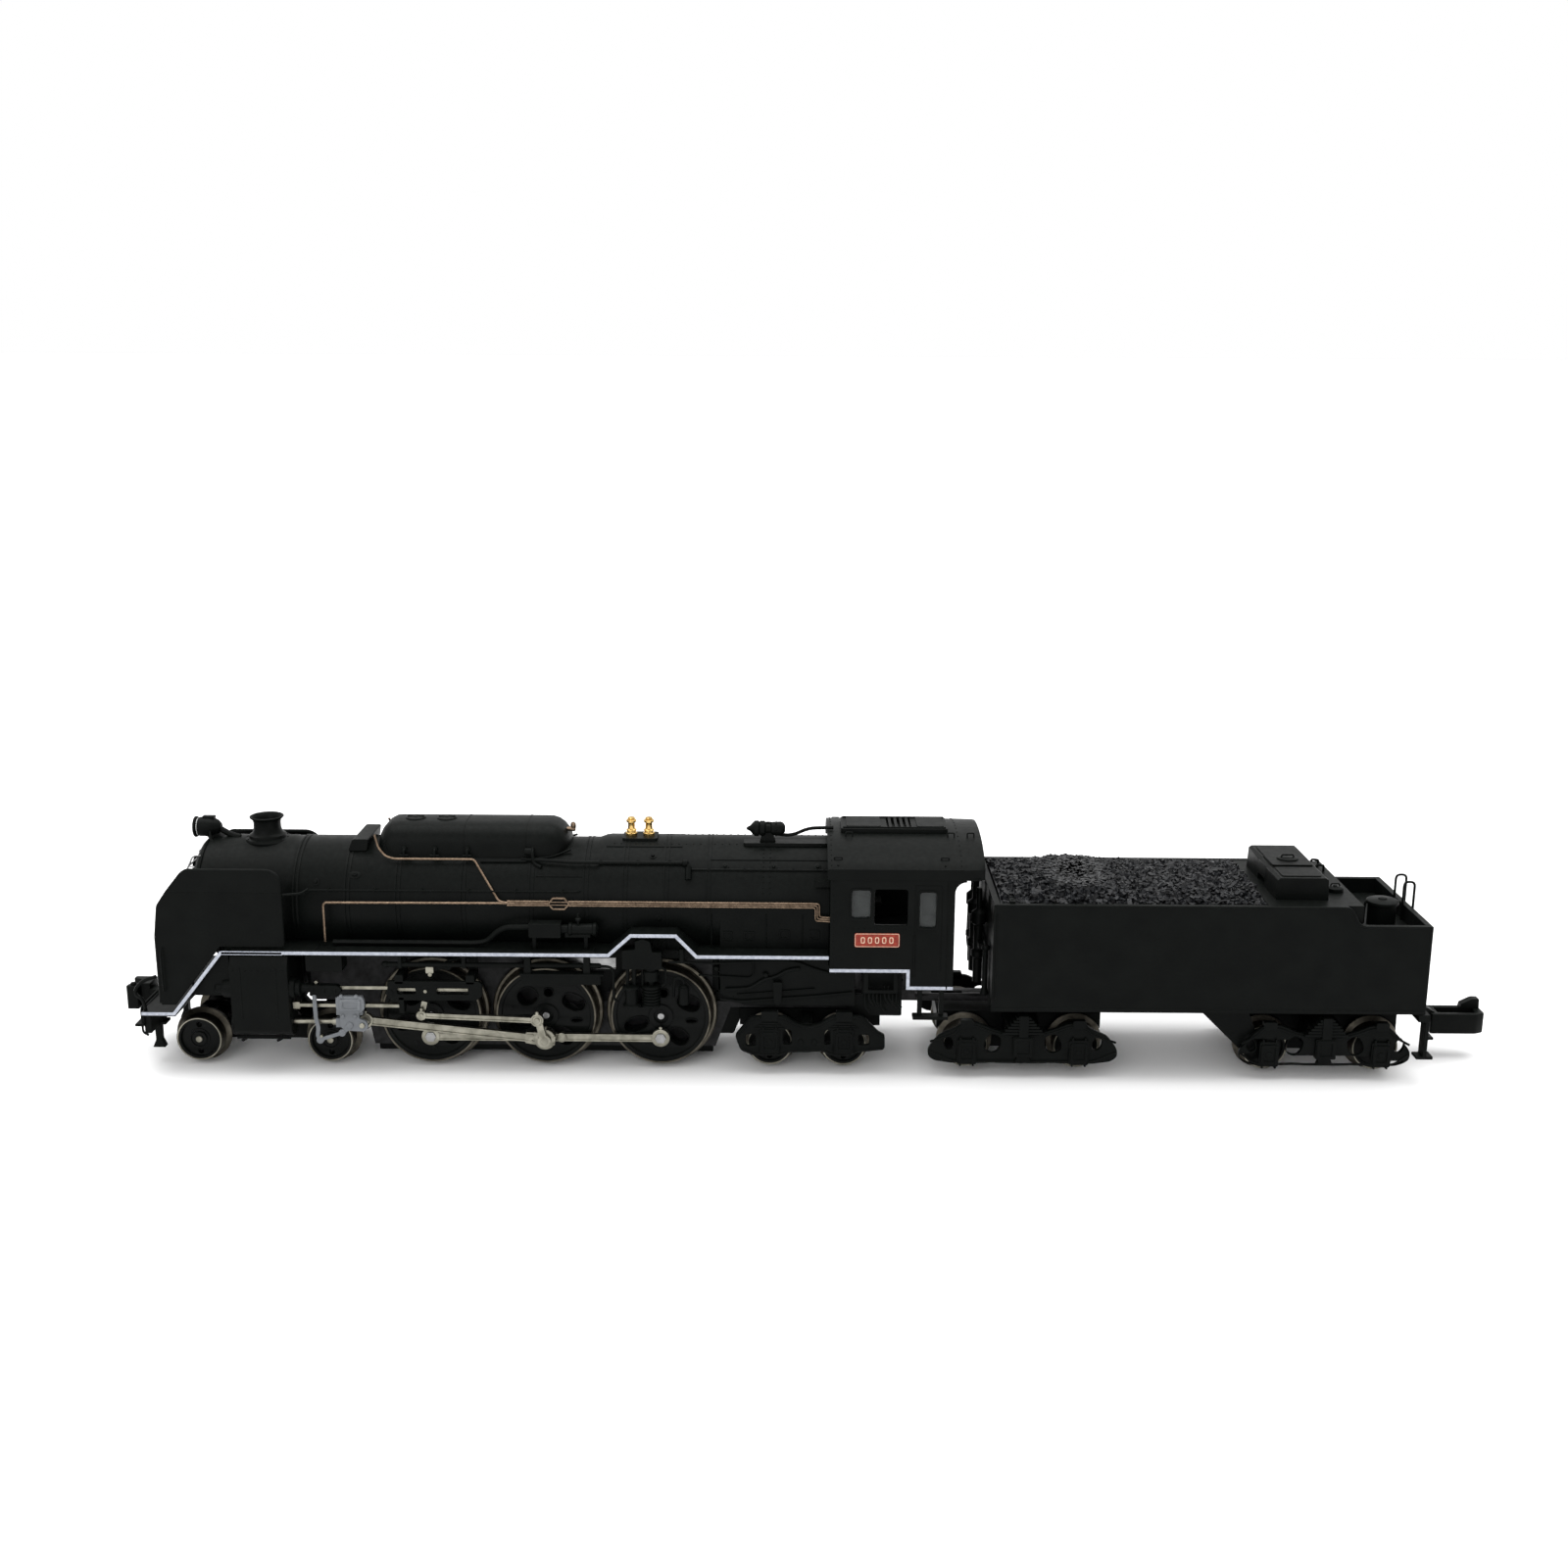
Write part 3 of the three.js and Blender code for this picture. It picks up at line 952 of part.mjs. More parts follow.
TENDER_REAR_X.forEach((x, i) => place(`tender_wheels_${i + 3}`, carryingWheels(x, 1.2), 'nickel', WHEEL_BASE));
place('rear_coupler', rearCoupler(), 'black_plastic');

// everything above stands on the body's datum line; the flanges touch Z = 0
model.position.z = -WHEEL_BASE;

export default model;
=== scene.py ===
"""Looks of a 9 mm gauge model train: a black express locomotive and its tender.

Every length is in millimetres, engine to the left (-X) and near side -Y. Bodies are drawn from
their datum line, BASE_DROP below the flange bottoms; trucks and small wheels from the rails, Z = 0.
"""

import math
import random

import bmesh
import bpy
from mathutils import Matrix, Vector


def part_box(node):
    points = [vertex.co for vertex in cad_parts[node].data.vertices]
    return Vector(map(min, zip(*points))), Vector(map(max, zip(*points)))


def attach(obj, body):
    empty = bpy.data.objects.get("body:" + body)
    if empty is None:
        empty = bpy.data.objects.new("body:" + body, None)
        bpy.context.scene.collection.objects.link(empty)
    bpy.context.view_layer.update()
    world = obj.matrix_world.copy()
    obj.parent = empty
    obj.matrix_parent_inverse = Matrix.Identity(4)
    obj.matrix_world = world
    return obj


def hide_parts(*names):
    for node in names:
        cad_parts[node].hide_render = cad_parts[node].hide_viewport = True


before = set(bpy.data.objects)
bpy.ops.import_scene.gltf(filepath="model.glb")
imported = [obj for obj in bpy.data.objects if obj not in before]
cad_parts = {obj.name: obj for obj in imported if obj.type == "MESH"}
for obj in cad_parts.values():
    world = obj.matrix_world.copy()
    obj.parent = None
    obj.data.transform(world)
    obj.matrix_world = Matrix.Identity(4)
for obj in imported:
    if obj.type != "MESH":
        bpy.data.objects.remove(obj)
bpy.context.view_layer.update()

MM = 0.001
BASE_DROP = 0.55
ON_RAILS = ("truck", "lead_wheels", "trailing_wheels", "tender_wheels")
SIDES = (("left", -1), ("right", 1))


def limits(node):
    """Lowest and highest corner of a CAD node, in millimetres above the datum line."""
    low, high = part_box(node)
    raised = Vector((0, 0, BASE_DROP))
    return low / MM + raised, high / MM + raised


def centre(node):
    low, high = limits(node)
    return (low + high) / 2


# ------------------------------------------------------------ driving dimensions
DRIVER_X = [centre(f"driver_wheels_{i}").x for i in (1, 2, 3)]
DRIVER_Z = centre("driver_wheels_1").z
LEAD_X = [centre(f"lead_wheels_{i}").x for i in (1, 2)]
TRAIL_X = [centre(f"trailing_wheels_{i}").x for i in (1, 2)]
TENDER_X = [centre(f"tender_wheels_{i}").x for i in (1, 2, 3, 4)]
SMALL_Z = centre("lead_wheels_1").z - BASE_DROP
SIDE_Y = limits("cab_shell")[1].y
CAB_X0 = limits("cab_shell")[0].x
CAB_X1 = limits("cab_shell")[1].x
TENDER_X0 = 19.7
TENDER_X1 = 65.85
TENDER_TOP = 20.6
TENDER_BOTTOM = 8.7
BOILER_Z = 18.5
BOILER_R = 6.5
FIREBOX_R = 6.8
WALL = 0.65
CRANK = 2.2
TREAD_R = 5.475
FLANGE_R = 6.075
SMALL_TREAD_R = 2.5
CHIMNEY_X = centre("chimney").x
SIDE_ROD_Y = (6.3, 6.8)
MAIN_ROD_Y = (6.95, 7.45)
RETURN_CRANK_Y = (7.6, 8.0)
ECCENTRIC_Y = (8.1, 8.5)
BRACKET_Y = (8.35, 8.85)
LINK_PIVOT = (-40.57, 10.4)
PISTON = (8.0, 6.6)
BOARD_LINE = [(-62.0, 14.9), (-21.0, 14.9), (-18.6, 17.1), (-13.7, 17.1), (-11.5, 14.8), (2.4, 14.8)]
CAB_LINE = [(2.5, 13.0), (11.0, 13.0), (11.0, 11.1), (15.6, 11.1)]
DECK_LINE = [(-71.0, 7.95), (-67.6, 7.95), (-62.15, 14.85)]


# ------------------------------------------------------------ camera, light and floor
def camera():
    data = bpy.data.cameras.new("camera")
    data.sensor_width = 36.0
    data.lens = 41.34
    data.shift_y = 0.0119
    data.clip_start = 0.005
    data.clip_end = 10.0
    eye = bpy.data.objects.new("camera", data)
    turn = Matrix.Rotation(math.radians(0.448), 4, "Z")
    tilt = Matrix.Rotation(math.radians(90 - 14.32), 4, "X")
    roll = Matrix.Rotation(math.radians(0.268), 4, "Z")
    eye.matrix_world = Matrix.Translation(Vector((-0.99, -189.55,
                                                  77.56 - BASE_DROP)) * MM) @ turn @ tilt @ roll
    bpy.context.scene.collection.objects.link(eye)
    bpy.context.scene.camera = eye


def lamp(name, place, target, size, power, colour=(1.0, 1.0, 1.0)):
    data = bpy.data.lights.new(name, "AREA")
    data.shape = "RECTANGLE"
    data.size = size[0]
    data.size_y = size[1]
    data.energy = power
    data.color = colour
    light = bpy.data.objects.new(name, data)
    light.location = place
    light.rotation_euler = (Vector(target) - Vector(place)).to_track_quat("-Z", "Y").to_euler()
    bpy.context.scene.collection.objects.link(light)


def studio():
    lamp("overhead", (0.0, 0.05, 0.6), (0.0, 0.0, 0.0), (0.9, 0.5), 3.2)
    lamp("front_fill", (-0.25, -0.6, 0.32), (0.0, 0.0, 0.01), (0.5, 0.3), 1.2)
    sky = bpy.data.lights.new("sky", "SUN")
    sky.energy = 0.9
    sky.angle = math.radians(70)
    bpy.context.scene.collection.objects.link(bpy.data.objects.new("sky", sky))
    world = bpy.data.worlds.new("studio")
    world.use_nodes = True
    world.node_tree.nodes["Background"].inputs["Color"].default_value = (1.0, 1.0, 1.0, 1.0)
    world.node_tree.nodes["Background"].inputs["Strength"].default_value = 1.0
    bpy.context.scene.world = world
    bpy.context.scene.view_settings.view_transform = "Standard"


def floor():
    mesh = bpy.data.meshes.new("floor")
    half = 12.0
    mesh.from_pydata([(-half, -half, 0), (half, -half, 0), (half, half, 0), (-half, half, 0)], [],
                     [(0, 1, 2, 3)])
    plane = bpy.data.objects.new("floor", mesh)
    bpy.context.scene.collection.objects.link(plane)
    mesh.materials.append(MATERIALS["floor"])


# ------------------------------------------------------------ materials
class Look:
    """A Principled material with a few helpers for its procedural detail."""

    def __init__(self, name, colour, roughness, metallic=0.0, specular=0.5):
        self.material = bpy.data.materials.new(name)
        self.material.use_nodes = True
        self.tree = self.material.node_tree
        self.shader = self.tree.nodes["Principled BSDF"]
        self.shader.inputs["Base Color"].default_value = (*colour, 1.0)
        self.shader.inputs["Roughness"].default_value = roughness
        self.shader.inputs["Metallic"].default_value = metallic
        self.shader.inputs["Specular IOR Level"].default_value = specular
        self.place = self.node("ShaderNodeTexCoord").outputs["Object"]
        self.bump_chain = None

    def node(self, kind, **settings):
        made = self.tree.nodes.new(kind)
        for key, value in settings.items():
            setattr(made, key, value)
        return made

    def join(self, output, socket):
        self.tree.links.new(output, socket)

    def noise(self, per_mm, detail=3.0, stretch=(1.0, 1.0, 1.0), distortion=0.0):
        """Noise whose grains are 1/per_mm millimetres, pulled long by stretch."""
        mapping = self.node("ShaderNodeMapping")
        mapping.inputs["Scale"].default_value = [s * per_mm / MM for s in stretch]
        self.join(self.place, mapping.inputs["Vector"])
        made = self.node("ShaderNodeTexNoise")
        made.inputs["Scale"].default_value = 1.0
        made.inputs["Detail"].default_value = detail
        made.inputs["Distortion"].default_value = distortion
        self.join(mapping.outputs["Vector"], made.inputs["Vector"])
        return made.outputs["Fac"]

    def cells(self, per_mm, feature="F1", output="Distance"):
        made = self.node("ShaderNodeTexVoronoi", feature=feature)
        made.inputs["Scale"].default_value = per_mm / MM
        self.join(self.place, made.inputs["Vector"])
        return made.outputs[output]

    def ramp(self, value, low, high, dark, light):
        """Colour between dark and light as value goes from low to high."""
        made = self.node("ShaderNodeValToRGB")
        made.color_ramp.elements[0].position = low
        made.color_ramp.elements[0].color = (*dark, 1.0)
        made.color_ramp.elements[1].position = high
        made.color_ramp.elements[1].color = (*light, 1.0)
        self.join(value, made.inputs["Fac"])
        return made.outputs["Color"]

    def scaled(self, value, low, high):
        made = self.node("ShaderNodeMapRange")
        made.inputs["To Min"].default_value = low
        made.inputs["To Max"].default_value = high
        self.join(value, made.inputs["Value"])
        return made.outputs["Result"]

    def mix(self, factor, first, second):
        made = self.node("ShaderNodeMix", data_type="RGBA")
        first_colour, second_colour = [socket for socket in made.inputs if socket.type == "RGBA"]
        self.join(factor, made.inputs["Factor"])
        self.join(first, first_colour)
        self.join(second, second_colour)
        return next(socket for socket in made.outputs if socket.type == "RGBA")

    def colour(self, output):
        self.join(output, self.shader.inputs["Base Color"])

    def roughness(self, output):
        self.join(output, self.shader.inputs["Roughness"])

    def bump(self, height, strength, depth_mm):
        made = self.node("ShaderNodeBump")
        made.inputs["Strength"].default_value = strength
        made.inputs["Distance"].default_value = depth_mm * MM
        self.join(height, made.inputs["Height"])
        if self.bump_chain:
            self.join(self.bump_chain, made.inputs["Normal"])
        self.bump_chain = made.outputs["Normal"]
        self.join(self.bump_chain, self.shader.inputs["Normal"])

    def upward(self):
        """1 on faces that look up, 0 on the rest: where dust settles and where light from above is painted
        into the colour.
        """
        facing = self.node("ShaderNodeSeparateXYZ")
        self.join(self.node("ShaderNodeNewGeometry").outputs["Normal"], facing.inputs["Vector"])
        clamp = self.node("ShaderNodeMapRange")
        clamp.inputs["From Min"].default_value = 0.2
        self.join(facing.outputs["Z"], clamp.inputs["Value"])
        return clamp.outputs["Result"]


def moulded_plastic(name, dark, light, dust_and_top_light, roughness, specular):
    """Satin moulded plastic: fine spark-eroded grain, faint cloudiness, and top faces painted lighter, partly
    for dust and partly as painted light from above.
    """
    look = Look(name, dark, roughness, specular=specular)
    cloudy = look.ramp(look.noise(0.35, 4.0), 0.3, 0.7, dark, light)
    # painted top light: faces that look up get a lighter colour, partly dust and partly painted light from
    # the overhead lamp
    dusty_and_top_lit = look.ramp(look.noise(2.2, 5.0), 0.35, 0.75, light, dust_and_top_light)
    look.colour(look.mix(look.upward(), cloudy, dusty_and_top_lit))
    look.roughness(look.scaled(look.noise(1.3, 4.0), roughness - 0.07, roughness + 0.09))
    look.bump(look.noise(14.0, 2.0), 0.25, 0.012)
    look.bump(look.noise(0.5, 2.0), 0.25, 0.02)
    return look.material


def plated_metal(name, dark, light, roughness, grain=(0.15, 1.0, 1.0)):
    """Plated or drawn metal with fine lengthwise scratches and slight staining."""
    look = Look(name, light, roughness, metallic=1.0)
    look.colour(look.ramp(look.noise(0.9, 5.0, distortion=0.4), 0.3, 0.65, dark, light))
    look.roughness(look.scaled(look.noise(6.0, 4.0, grain), roughness - 0.08, roughness + 0.12))
    look.bump(look.noise(18.0, 3.0, grain), 0.3, 0.008)
    return look.material


def blackened_zinc():
    """Die-cast block with a chemical black finish, rubbed a little grey in places."""
    look = Look("zinc", (0.02, 0.02, 0.02), 0.5, metallic=0.3, specular=0.2)
    look.colour(look.ramp(look.noise(1.2, 4.0), 0.35, 0.75, (0.006, 0.006, 0.006), (0.02, 0.02, 0.021)))
    look.roughness(look.scaled(look.noise(2.5, 4.0), 0.4, 0.62))
    look.bump(look.noise(9.0, 3.0), 0.35, 0.015)
    return look.material


def aged_brass():
    look = Look("aged_brass", (0.26, 0.18, 0.12), 0.4, metallic=1.0)
    fresh = look.ramp(look.noise(1.4, 5.0), 0.35, 0.7, (0.13, 0.092, 0.064), (0.26, 0.19, 0.135))
    stain = look.ramp(look.noise(4.5, 4.0), 0.4, 0.7, (0.055, 0.038, 0.027), (0.21, 0.152, 0.105))
    look.colour(look.mix(look.noise(0.7, 2.0), fresh, stain))
    look.roughness(look.scaled(look.noise(3.0, 4.0), 0.28, 0.5))
    look.bump(look.noise(9.0, 3.0), 0.35, 0.01)
    return look.material


def polished_brass():
    look = Look("polished_brass", (0.62, 0.42, 0.15), 0.24, metallic=1.0)
    look.colour(look.ramp(look.noise(1.6, 4.0), 0.3, 0.7, (0.46, 0.29, 0.09), (0.74, 0.52, 0.20)))
    look.roughness(look.scaled(look.noise(5.0, 4.0), 0.18, 0.34))
    look.bump(look.noise(11.0, 3.0), 0.25, 0.008)
    return look.material


def white_paint():
    look = Look("white_line", (0.36, 0.38, 0.46), 0.5)
    look.colour(look.ramp(look.noise(3.0, 5.0), 0.3, 0.6, (0.24, 0.26, 0.31), (0.36, 0.38, 0.43)))
    look.bump(look.noise(8.0, 3.0), 0.3, 0.01)
    return look.material


def glazing():
    """Smoky clear plastic, lightly scuffed."""
    look = Look("smoky_glazing", (0.02, 0.022, 0.022), 0.22, specular=0.25)
    look.shader.inputs["Alpha"].default_value = 0.8
    look.colour(look.ramp(look.noise(0.8, 3.0), 0.3, 0.7, (0.014, 0.016, 0.016), (0.032, 0.036, 0.035)))
    look.roughness(look.scaled(look.noise(4.0, 4.0), 0.12, 0.34))
    return look.material


def enamel_red():
    look = Look("red_enamel", (0.24, 0.025, 0.012), 0.4, specular=0.2)
    look.colour(look.ramp(look.noise(3.5, 4.0), 0.3, 0.7, (0.12, 0.012, 0.008), (0.25, 0.03, 0.014)))
    look.bump(look.noise(10.0, 3.0), 0.3, 0.01)
    return look.material


def gilt():
    look = Look("gilt_ink", (0.75, 0.52, 0.36), 0.42)
    look.colour(look.ramp(look.noise(5.0, 3.0), 0.3, 0.7, (0.40, 0.22, 0.14), (0.58, 0.40, 0.29)))
    return look.material


def coal():
    """Crushed glossy coal: every facet its own shade, with bright cleavage glints."""
    look = Look("coal", (0.006, 0.006, 0.007), 0.3, specular=0.18)
    shade = look.ramp(look.cells(2.6, output="Color"), 0.2, 0.95, (0.0012, 0.0012, 0.0015),
                      (0.013, 0.014, 0.016))
    look.colour(shade)
    look.roughness(look.scaled(look.noise(2.6, 3.0), 0.1, 0.6))
    look.bump(look.cells(4.2), 0.5, 0.05)
    look.bump(look.noise(12.0, 3.0), 0.4, 0.02)
    return look.material


def lens_glass():
    look = Look("lens_glass", (0.55, 0.56, 0.55), 0.12)
    look.roughness(look.scaled(look.noise(5.0, 3.0), 0.08, 0.2))
    look.bump(look.noise(3.0, 2.0), 0.2, 0.01)
    return look.material


def floor_look():
    look = Look("floor", (0.9, 0.9, 0.9), 0.7, specular=0.2)
    look.colour(look.ramp(look.noise(0.02, 3.0), 0.3, 0.7, (0.89, 0.89, 0.89), (0.92, 0.92, 0.92)))
    return look.material


# the third colour goes on faces that look up: partly dust, partly painted light from above
BLACK = dict(dark=(0.0014, 0.0018, 0.0016), light=(0.0025, 0.0031, 0.0027), dust_and_top_light=(0.0058, 0.0068, 0.0060))
MATERIALS = {
    "black_plastic": moulded_plastic("black_plastic", **BLACK, roughness=0.42, specular=0.05),
    "black_wheel": moulded_plastic("black_wheel", **BLACK, roughness=0.36, specular=0.07),
    "grey_plastic": moulded_plastic("grey_plastic", (0.085, 0.092, 0.10), (0.12, 0.128, 0.138),
                                    (0.15, 0.157, 0.165), 0.42, 0.4),
    "nickel": plated_metal("nickel", (0.13, 0.125, 0.10), (0.27, 0.26, 0.215), 0.36),
    "tyre_nickel": plated_metal("tyre_nickel", (0.045, 0.041, 0.032), (0.11, 0.10, 0.08), 0.42),
    "steel": plated_metal("steel", (0.20, 0.20, 0.20), (0.34, 0.34, 0.34), 0.36),
    "bright_tip": plated_metal("bright_tip", (0.50, 0.51, 0.50), (0.74, 0.75, 0.74), 0.32),
    "zinc": blackened_zinc(),
    "aged_brass": aged_brass(),
    "polished_brass": polished_brass(),
    "white_line": white_paint(),
    "clear_plastic": glazing(),
    "red_plate": enamel_red(),
    "gilt": gilt(),
    "coal": coal(),
    "lens": lens_glass(),
    "floor": floor_look(),
}


# ------------------------------------------------------------ shape tools
AXES = {
    "x": lambda u, v, along: (along, u, v),
    "y": lambda u, v, along: (u, along, v),
    "z": lambda u, v, along: (u, v, along),
}


def circle(u, v, radius, count):
    return [(u + radius * math.cos(math.tau * i / count), v + radius * math.sin(math.tau * i / count))
            for i in range(count)]


def arc(u, v, radius, start, end, steps):
    """Points on an arc; the angles are in degrees."""
    angles = [math.radians(start + (end - start) * i / steps) for i in range(steps + 1)]
    return [(u + radius * math.cos(a), v + radius * math.sin(a)) for a in angles]


def oval(u, v, half_u, half_v, tilt=0.0, count=24, power=2.6):
    """A superellipse: power 2 is an ellipse and higher powers are squarer."""
    points = []
    for i in range(count):
        a = math.tau * i / count
        x = half_u * math.copysign(abs(math.cos(a)) ** (2 / power), math.cos(a))
        z = half_v * math.copysign(abs(math.sin(a)) ** (2 / power), math.sin(a))
        c = math.cos(math.radians(tilt))
        s = math.sin(math.radians(tilt))
        points.append((u + x * c - z * s, v + x * s + z * c))
    return points


def rounded(points, bend, steps=3):
    """Closed outline with every corner rounded back by up to bend."""
    made = []
    count = len(points)
    for i in range(count):
        before = Vector(points[i - 1])
        corner = Vector(points[i])
        after = Vector(points[(i + 1) % count])
        back = min(bend, (before - corner).length * 0.45)
        on = min(bend, (after - corner).length * 0.45)
        first = corner + (before - corner).normalized() * back
        last = corner + (after - corner).normalized() * on
        for k in range(steps + 1):
            t = k / steps
            made.append(tuple(first.lerp(corner, t).lerp(corner.lerp(last, t), t)))
    return made


def eased(path, bend, steps=4):
    """Open path with its inner corners rounded."""
    points = [Vector(p) for p in path]
    made = [points[0]]
    for before, corner, after in zip(points, points[1:], points[2:]):
        back = min(bend, (before - corner).length * 0.45)
        on = min(bend, (after - corner).length * 0.45)
        first = corner + (before - corner).normalized() * back
        last = corner + (after - corner).normalized() * on
        for k in range(steps + 1):
            t = k / steps
            made.append(first.lerp(corner, t).lerp(corner.lerp(last, t), t))
    made.append(points[-1])
    return made


class Shape:
    """Closed shells gathered into one mesh."""

    def __init__(self):
        self.mesh = bmesh.new()

    def skin(self, rings, closed=False):
        """Skin over rings of equal point counts; closed joins the last ring to the first."""
        rows = [[self.mesh.verts.new(p) for p in ring] for ring in rings]
        pairs = list(zip(rows, rows[1:]))
        if closed:
            pairs.append((rows[-1], rows[0]))
        for near, far in pairs:
            for i in range(len(near)):
                j = (i + 1) % len(near)
                self.mesh.faces.new((near[i], near[j], far[j], far[i]))
        if not closed:
            self.mesh.faces.new(rows[0])
            self.mesh.faces.new(rows[-1])
        return self

    def prism(self, points, axis, a, b):
        return self.skin([[AXES[axis](u, v, along) for u, v in points] for along in (a, b)])

    def box(self, x0, x1, y0, y1, z0, z1):
        return self.prism([(x0, y0), (x1, y0), (x1, y1), (x0, y1)], "z", z0, z1)

    def turned(self, profile, axis, at, count=32, closed=False):
        """Profile of (radius, along) pairs spun about an axis; flat ends unless closed on itself."""
        rings = []
        for radius, along in profile:
            rings.append([AXES[axis](u, v, along) for u, v in circle(*at, radius, count)])
        return self.skin(rings, closed)

    def tube(self, path, radius, bend=0.5, count=8):
        """Round bar along a path with eased corners."""
        points = eased(path, bend)
        across = None
        rings = []
        for i, point in enumerate(points):
            before = (point - points[i - 1]).normalized() if i else None
            after = (points[i + 1] - point).normalized() if i + 1 < len(points) else None
            ahead = ((before or after) + (after or before)).normalized()
            if across is None:
                across = ahead.orthogonal()
            across = (across - ahead * across.dot(ahead)).normalized()
            other = ahead.cross(across)
            rings.append([point + across * u + other * v for u, v in circle(0, 0, radius, count)])
        return self.skin(rings)

    def plate(self, outline, holes, axis, a, b, soft=0.05):
        """Flat plate with holes and softened rims."""
        curve = bpy.data.curves.new("outline", "CURVE")
        curve.dimensions = "2D"
        curve.fill_mode = "BOTH"
        curve.extrude = abs(b - a) / 2 - soft
        curve.bevel_depth = soft
        curve.bevel_resolution = 1
        curve.offset = -soft
        for points in [outline, *holes]:
            spline = curve.splines.new("POLY")
            spline.points.add(len(points) - 1)
            for slot, (u, v) in zip(spline.points, points):
                slot.co = (u, v, 0.0, 1.0)
            spline.use_cyclic_u = True
        holder = bpy.data.objects.new("outline", curve)
        flat = bpy.data.meshes.new_from_object(holder)
        for vertex in flat.vertices:
            u, v, along = vertex.co
            vertex.co = AXES[axis](u, v, (a + b) / 2 + along)
        extra = bmesh.new()
        extra.from_mesh(flat)
        bmesh.ops.remove_doubles(extra, verts=extra.verts, dist=1e-4)
        extra.to_mesh(flat)
        extra.free()
        self.mesh.from_mesh(flat)
        bpy.data.objects.remove(holder)
        bpy.data.curves.remove(curve)
        bpy.data.meshes.remove(flat)
        return self

    def rivet(self, place, outward, radius=0.11):
        """Small dome standing on a surface."""
        out = Vector(outward).normalized()
        across = out.orthogonal().normalized()
        other = out.cross(across)
        rings = []
        for size, rise in ((1.0, -0.2), (1.0, 0.15), (0.62, 0.62)):
            rings.append([Vector(place) + out * radius * rise + (across * u + other * v)
                          for u, v in circle(0, 0, radius * size, 8)])
        return self.skin(rings)

    def rivets(self, start, end, outward, count, radius=0.11):
        for i in range(count):
            self.rivet(Vector(start).lerp(Vector(end), i / (count - 1)), outward, radius)
        return self

    def finish(self, name, material, body, replaces=(), bevel=0.05):
        """Turns the shells into one piece of the train that rides on a body."""
        bmesh.ops.recalc_face_normals(self.mesh, faces=self.mesh.faces)
        if not any(word in body for word in ON_RAILS):
            bmesh.ops.translate(self.mesh, vec=(0, 0, -BASE_DROP), verts=self.mesh.verts)
        bmesh.ops.scale(self.mesh, vec=(MM, MM, MM), verts=self.mesh.verts)
        mesh = bpy.data.meshes.new(name)
        self.mesh.to_mesh(mesh)
        self.mesh.free()
        mesh.materials.append(MATERIALS[material])
        mesh.shade_smooth()
        mesh.set_sharp_from_angle(angle=math.radians(32))
        made = bpy.data.objects.new(name, mesh)
        bpy.context.scene.collection.objects.link(made)
        if bevel:
            soft = made.modifiers.new("soft_edges", "BEVEL")
            soft.width = bevel * MM
            soft.segments = 2
            soft.limit_method = "ANGLE"
            soft.angle_limit = math.radians(38)
            soft.use_clamp_overlap = True
            soft.harden_normals = False
        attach(made, body)
        if replaces:
            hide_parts(*replaces)
        return made


def line_ribbon(line, drop):
    """Strip of even width that follows a bent line: every corner is mitred."""
    points = [Vector(p) for p in line]
    lower = []
    for i, point in enumerate(points):
        before = (point - points[i - 1]).normalized() if i else None
        after = (points[i + 1] - point).normalized() if i + 1 < len(points) else None
        ahead = ((before or after) + (after or before)).normalized()
        across = Vector((ahead.y, -ahead.x))
        stretch = drop / max(across.dot(Vector(((after or before).y, -(after or before).x))), 0.3)
        lower.append(point + across * stretch)
    return [tuple(p) for p in points] + [tuple(p) for p in reversed(lower)]


# ------------------------------------------------------------ boiler and its fittings
BAND_X = (-54.6, -49.1, -43.7, -36.7, -29.4, -23.6, -19.3, -14.9, -10.4)
SEAM_X = -4.25


def on_boiler(x, degrees, lift=0.0):
    """Point on the boiler skin; 0 degrees faces the far side, 90 is up, 180 the near side."""
    radius = (BOILER_R if x < -22 else FIREBOX_R) + lift
    a = math.radians(degrees)
    return (x, radius * math.cos(a), BOILER_Z + radius * math.sin(a))


def boiler_shell():
    shell = Shape()
    shell.turned([(6.3, -65.05), (BOILER_R, -64.85), (BOILER_R, -56.0), (6.44, -55.9), (6.44, -54.9),
                  (BOILER_R, -54.8), (BOILER_R, -22.6), (FIREBOX_R, -21.8), (FIREBOX_R, CAB_X0)],
                 "x", (0, BOILER_Z), 96)
    shell.box(-57, -9, -5, 5, 12.95, BOILER_Z)
    ashpan = [(-9.2, 9.6), (-6.6, 8.3), (CAB_X0 + 2.8, 8.3), (CAB_X0 + 2.8, 12.9),
              (CAB_X0 - 0.05, 12.9), (CAB_X0 - 0.05, BOILER_Z), (-9.2, BOILER_Z)]
    shell.prism(ashpan, "y", -FIREBOX_R, FIREBOX_R)
    shell.finish("boiler_barrel", "black_plastic", "engine", ["boiler_shell"])


def boiler_bands():
    bands = Shape()
    for x in BAND_X:
        radius = (BOILER_R if x < -22 else FIREBOX_R)
        for shift in ((-0.22, 0.22) if x < -22 else (-0.3, 0.12)):
            at = x + shift
            bands.turned([(radius - 0.1, at - 0.11), (radius + 0.05, at - 0.09), (radius + 0.05, at + 0.09),
                          (radius - 0.1, at + 0.11)], "x", (0, BOILER_Z), 96, closed=True)
    bands.finish("boiler_bands", "black_plastic", "engine", bevel=0)


def firebox_rivets():
    rivets = Shape()
    for shift in (-0.35, 0.35):
        for degrees in range(20, 161, 5):
            place = on_boiler(SEAM_X + shift, degrees)
            rivets.rivet(place, (0, place[1], place[2] - BOILER_Z), 0.09)
    for _, sign in SIDES:
        top = 90 - sign * 17
        for i in range(30):
            place = on_boiler(-20.8 + i * 0.78, top)
            rivets.rivet(place, (0, place[1], place[2] - BOILER_Z), 0.08)
    rivets.finish("firebox_rivets", "black_plastic", "engine", bevel=0)


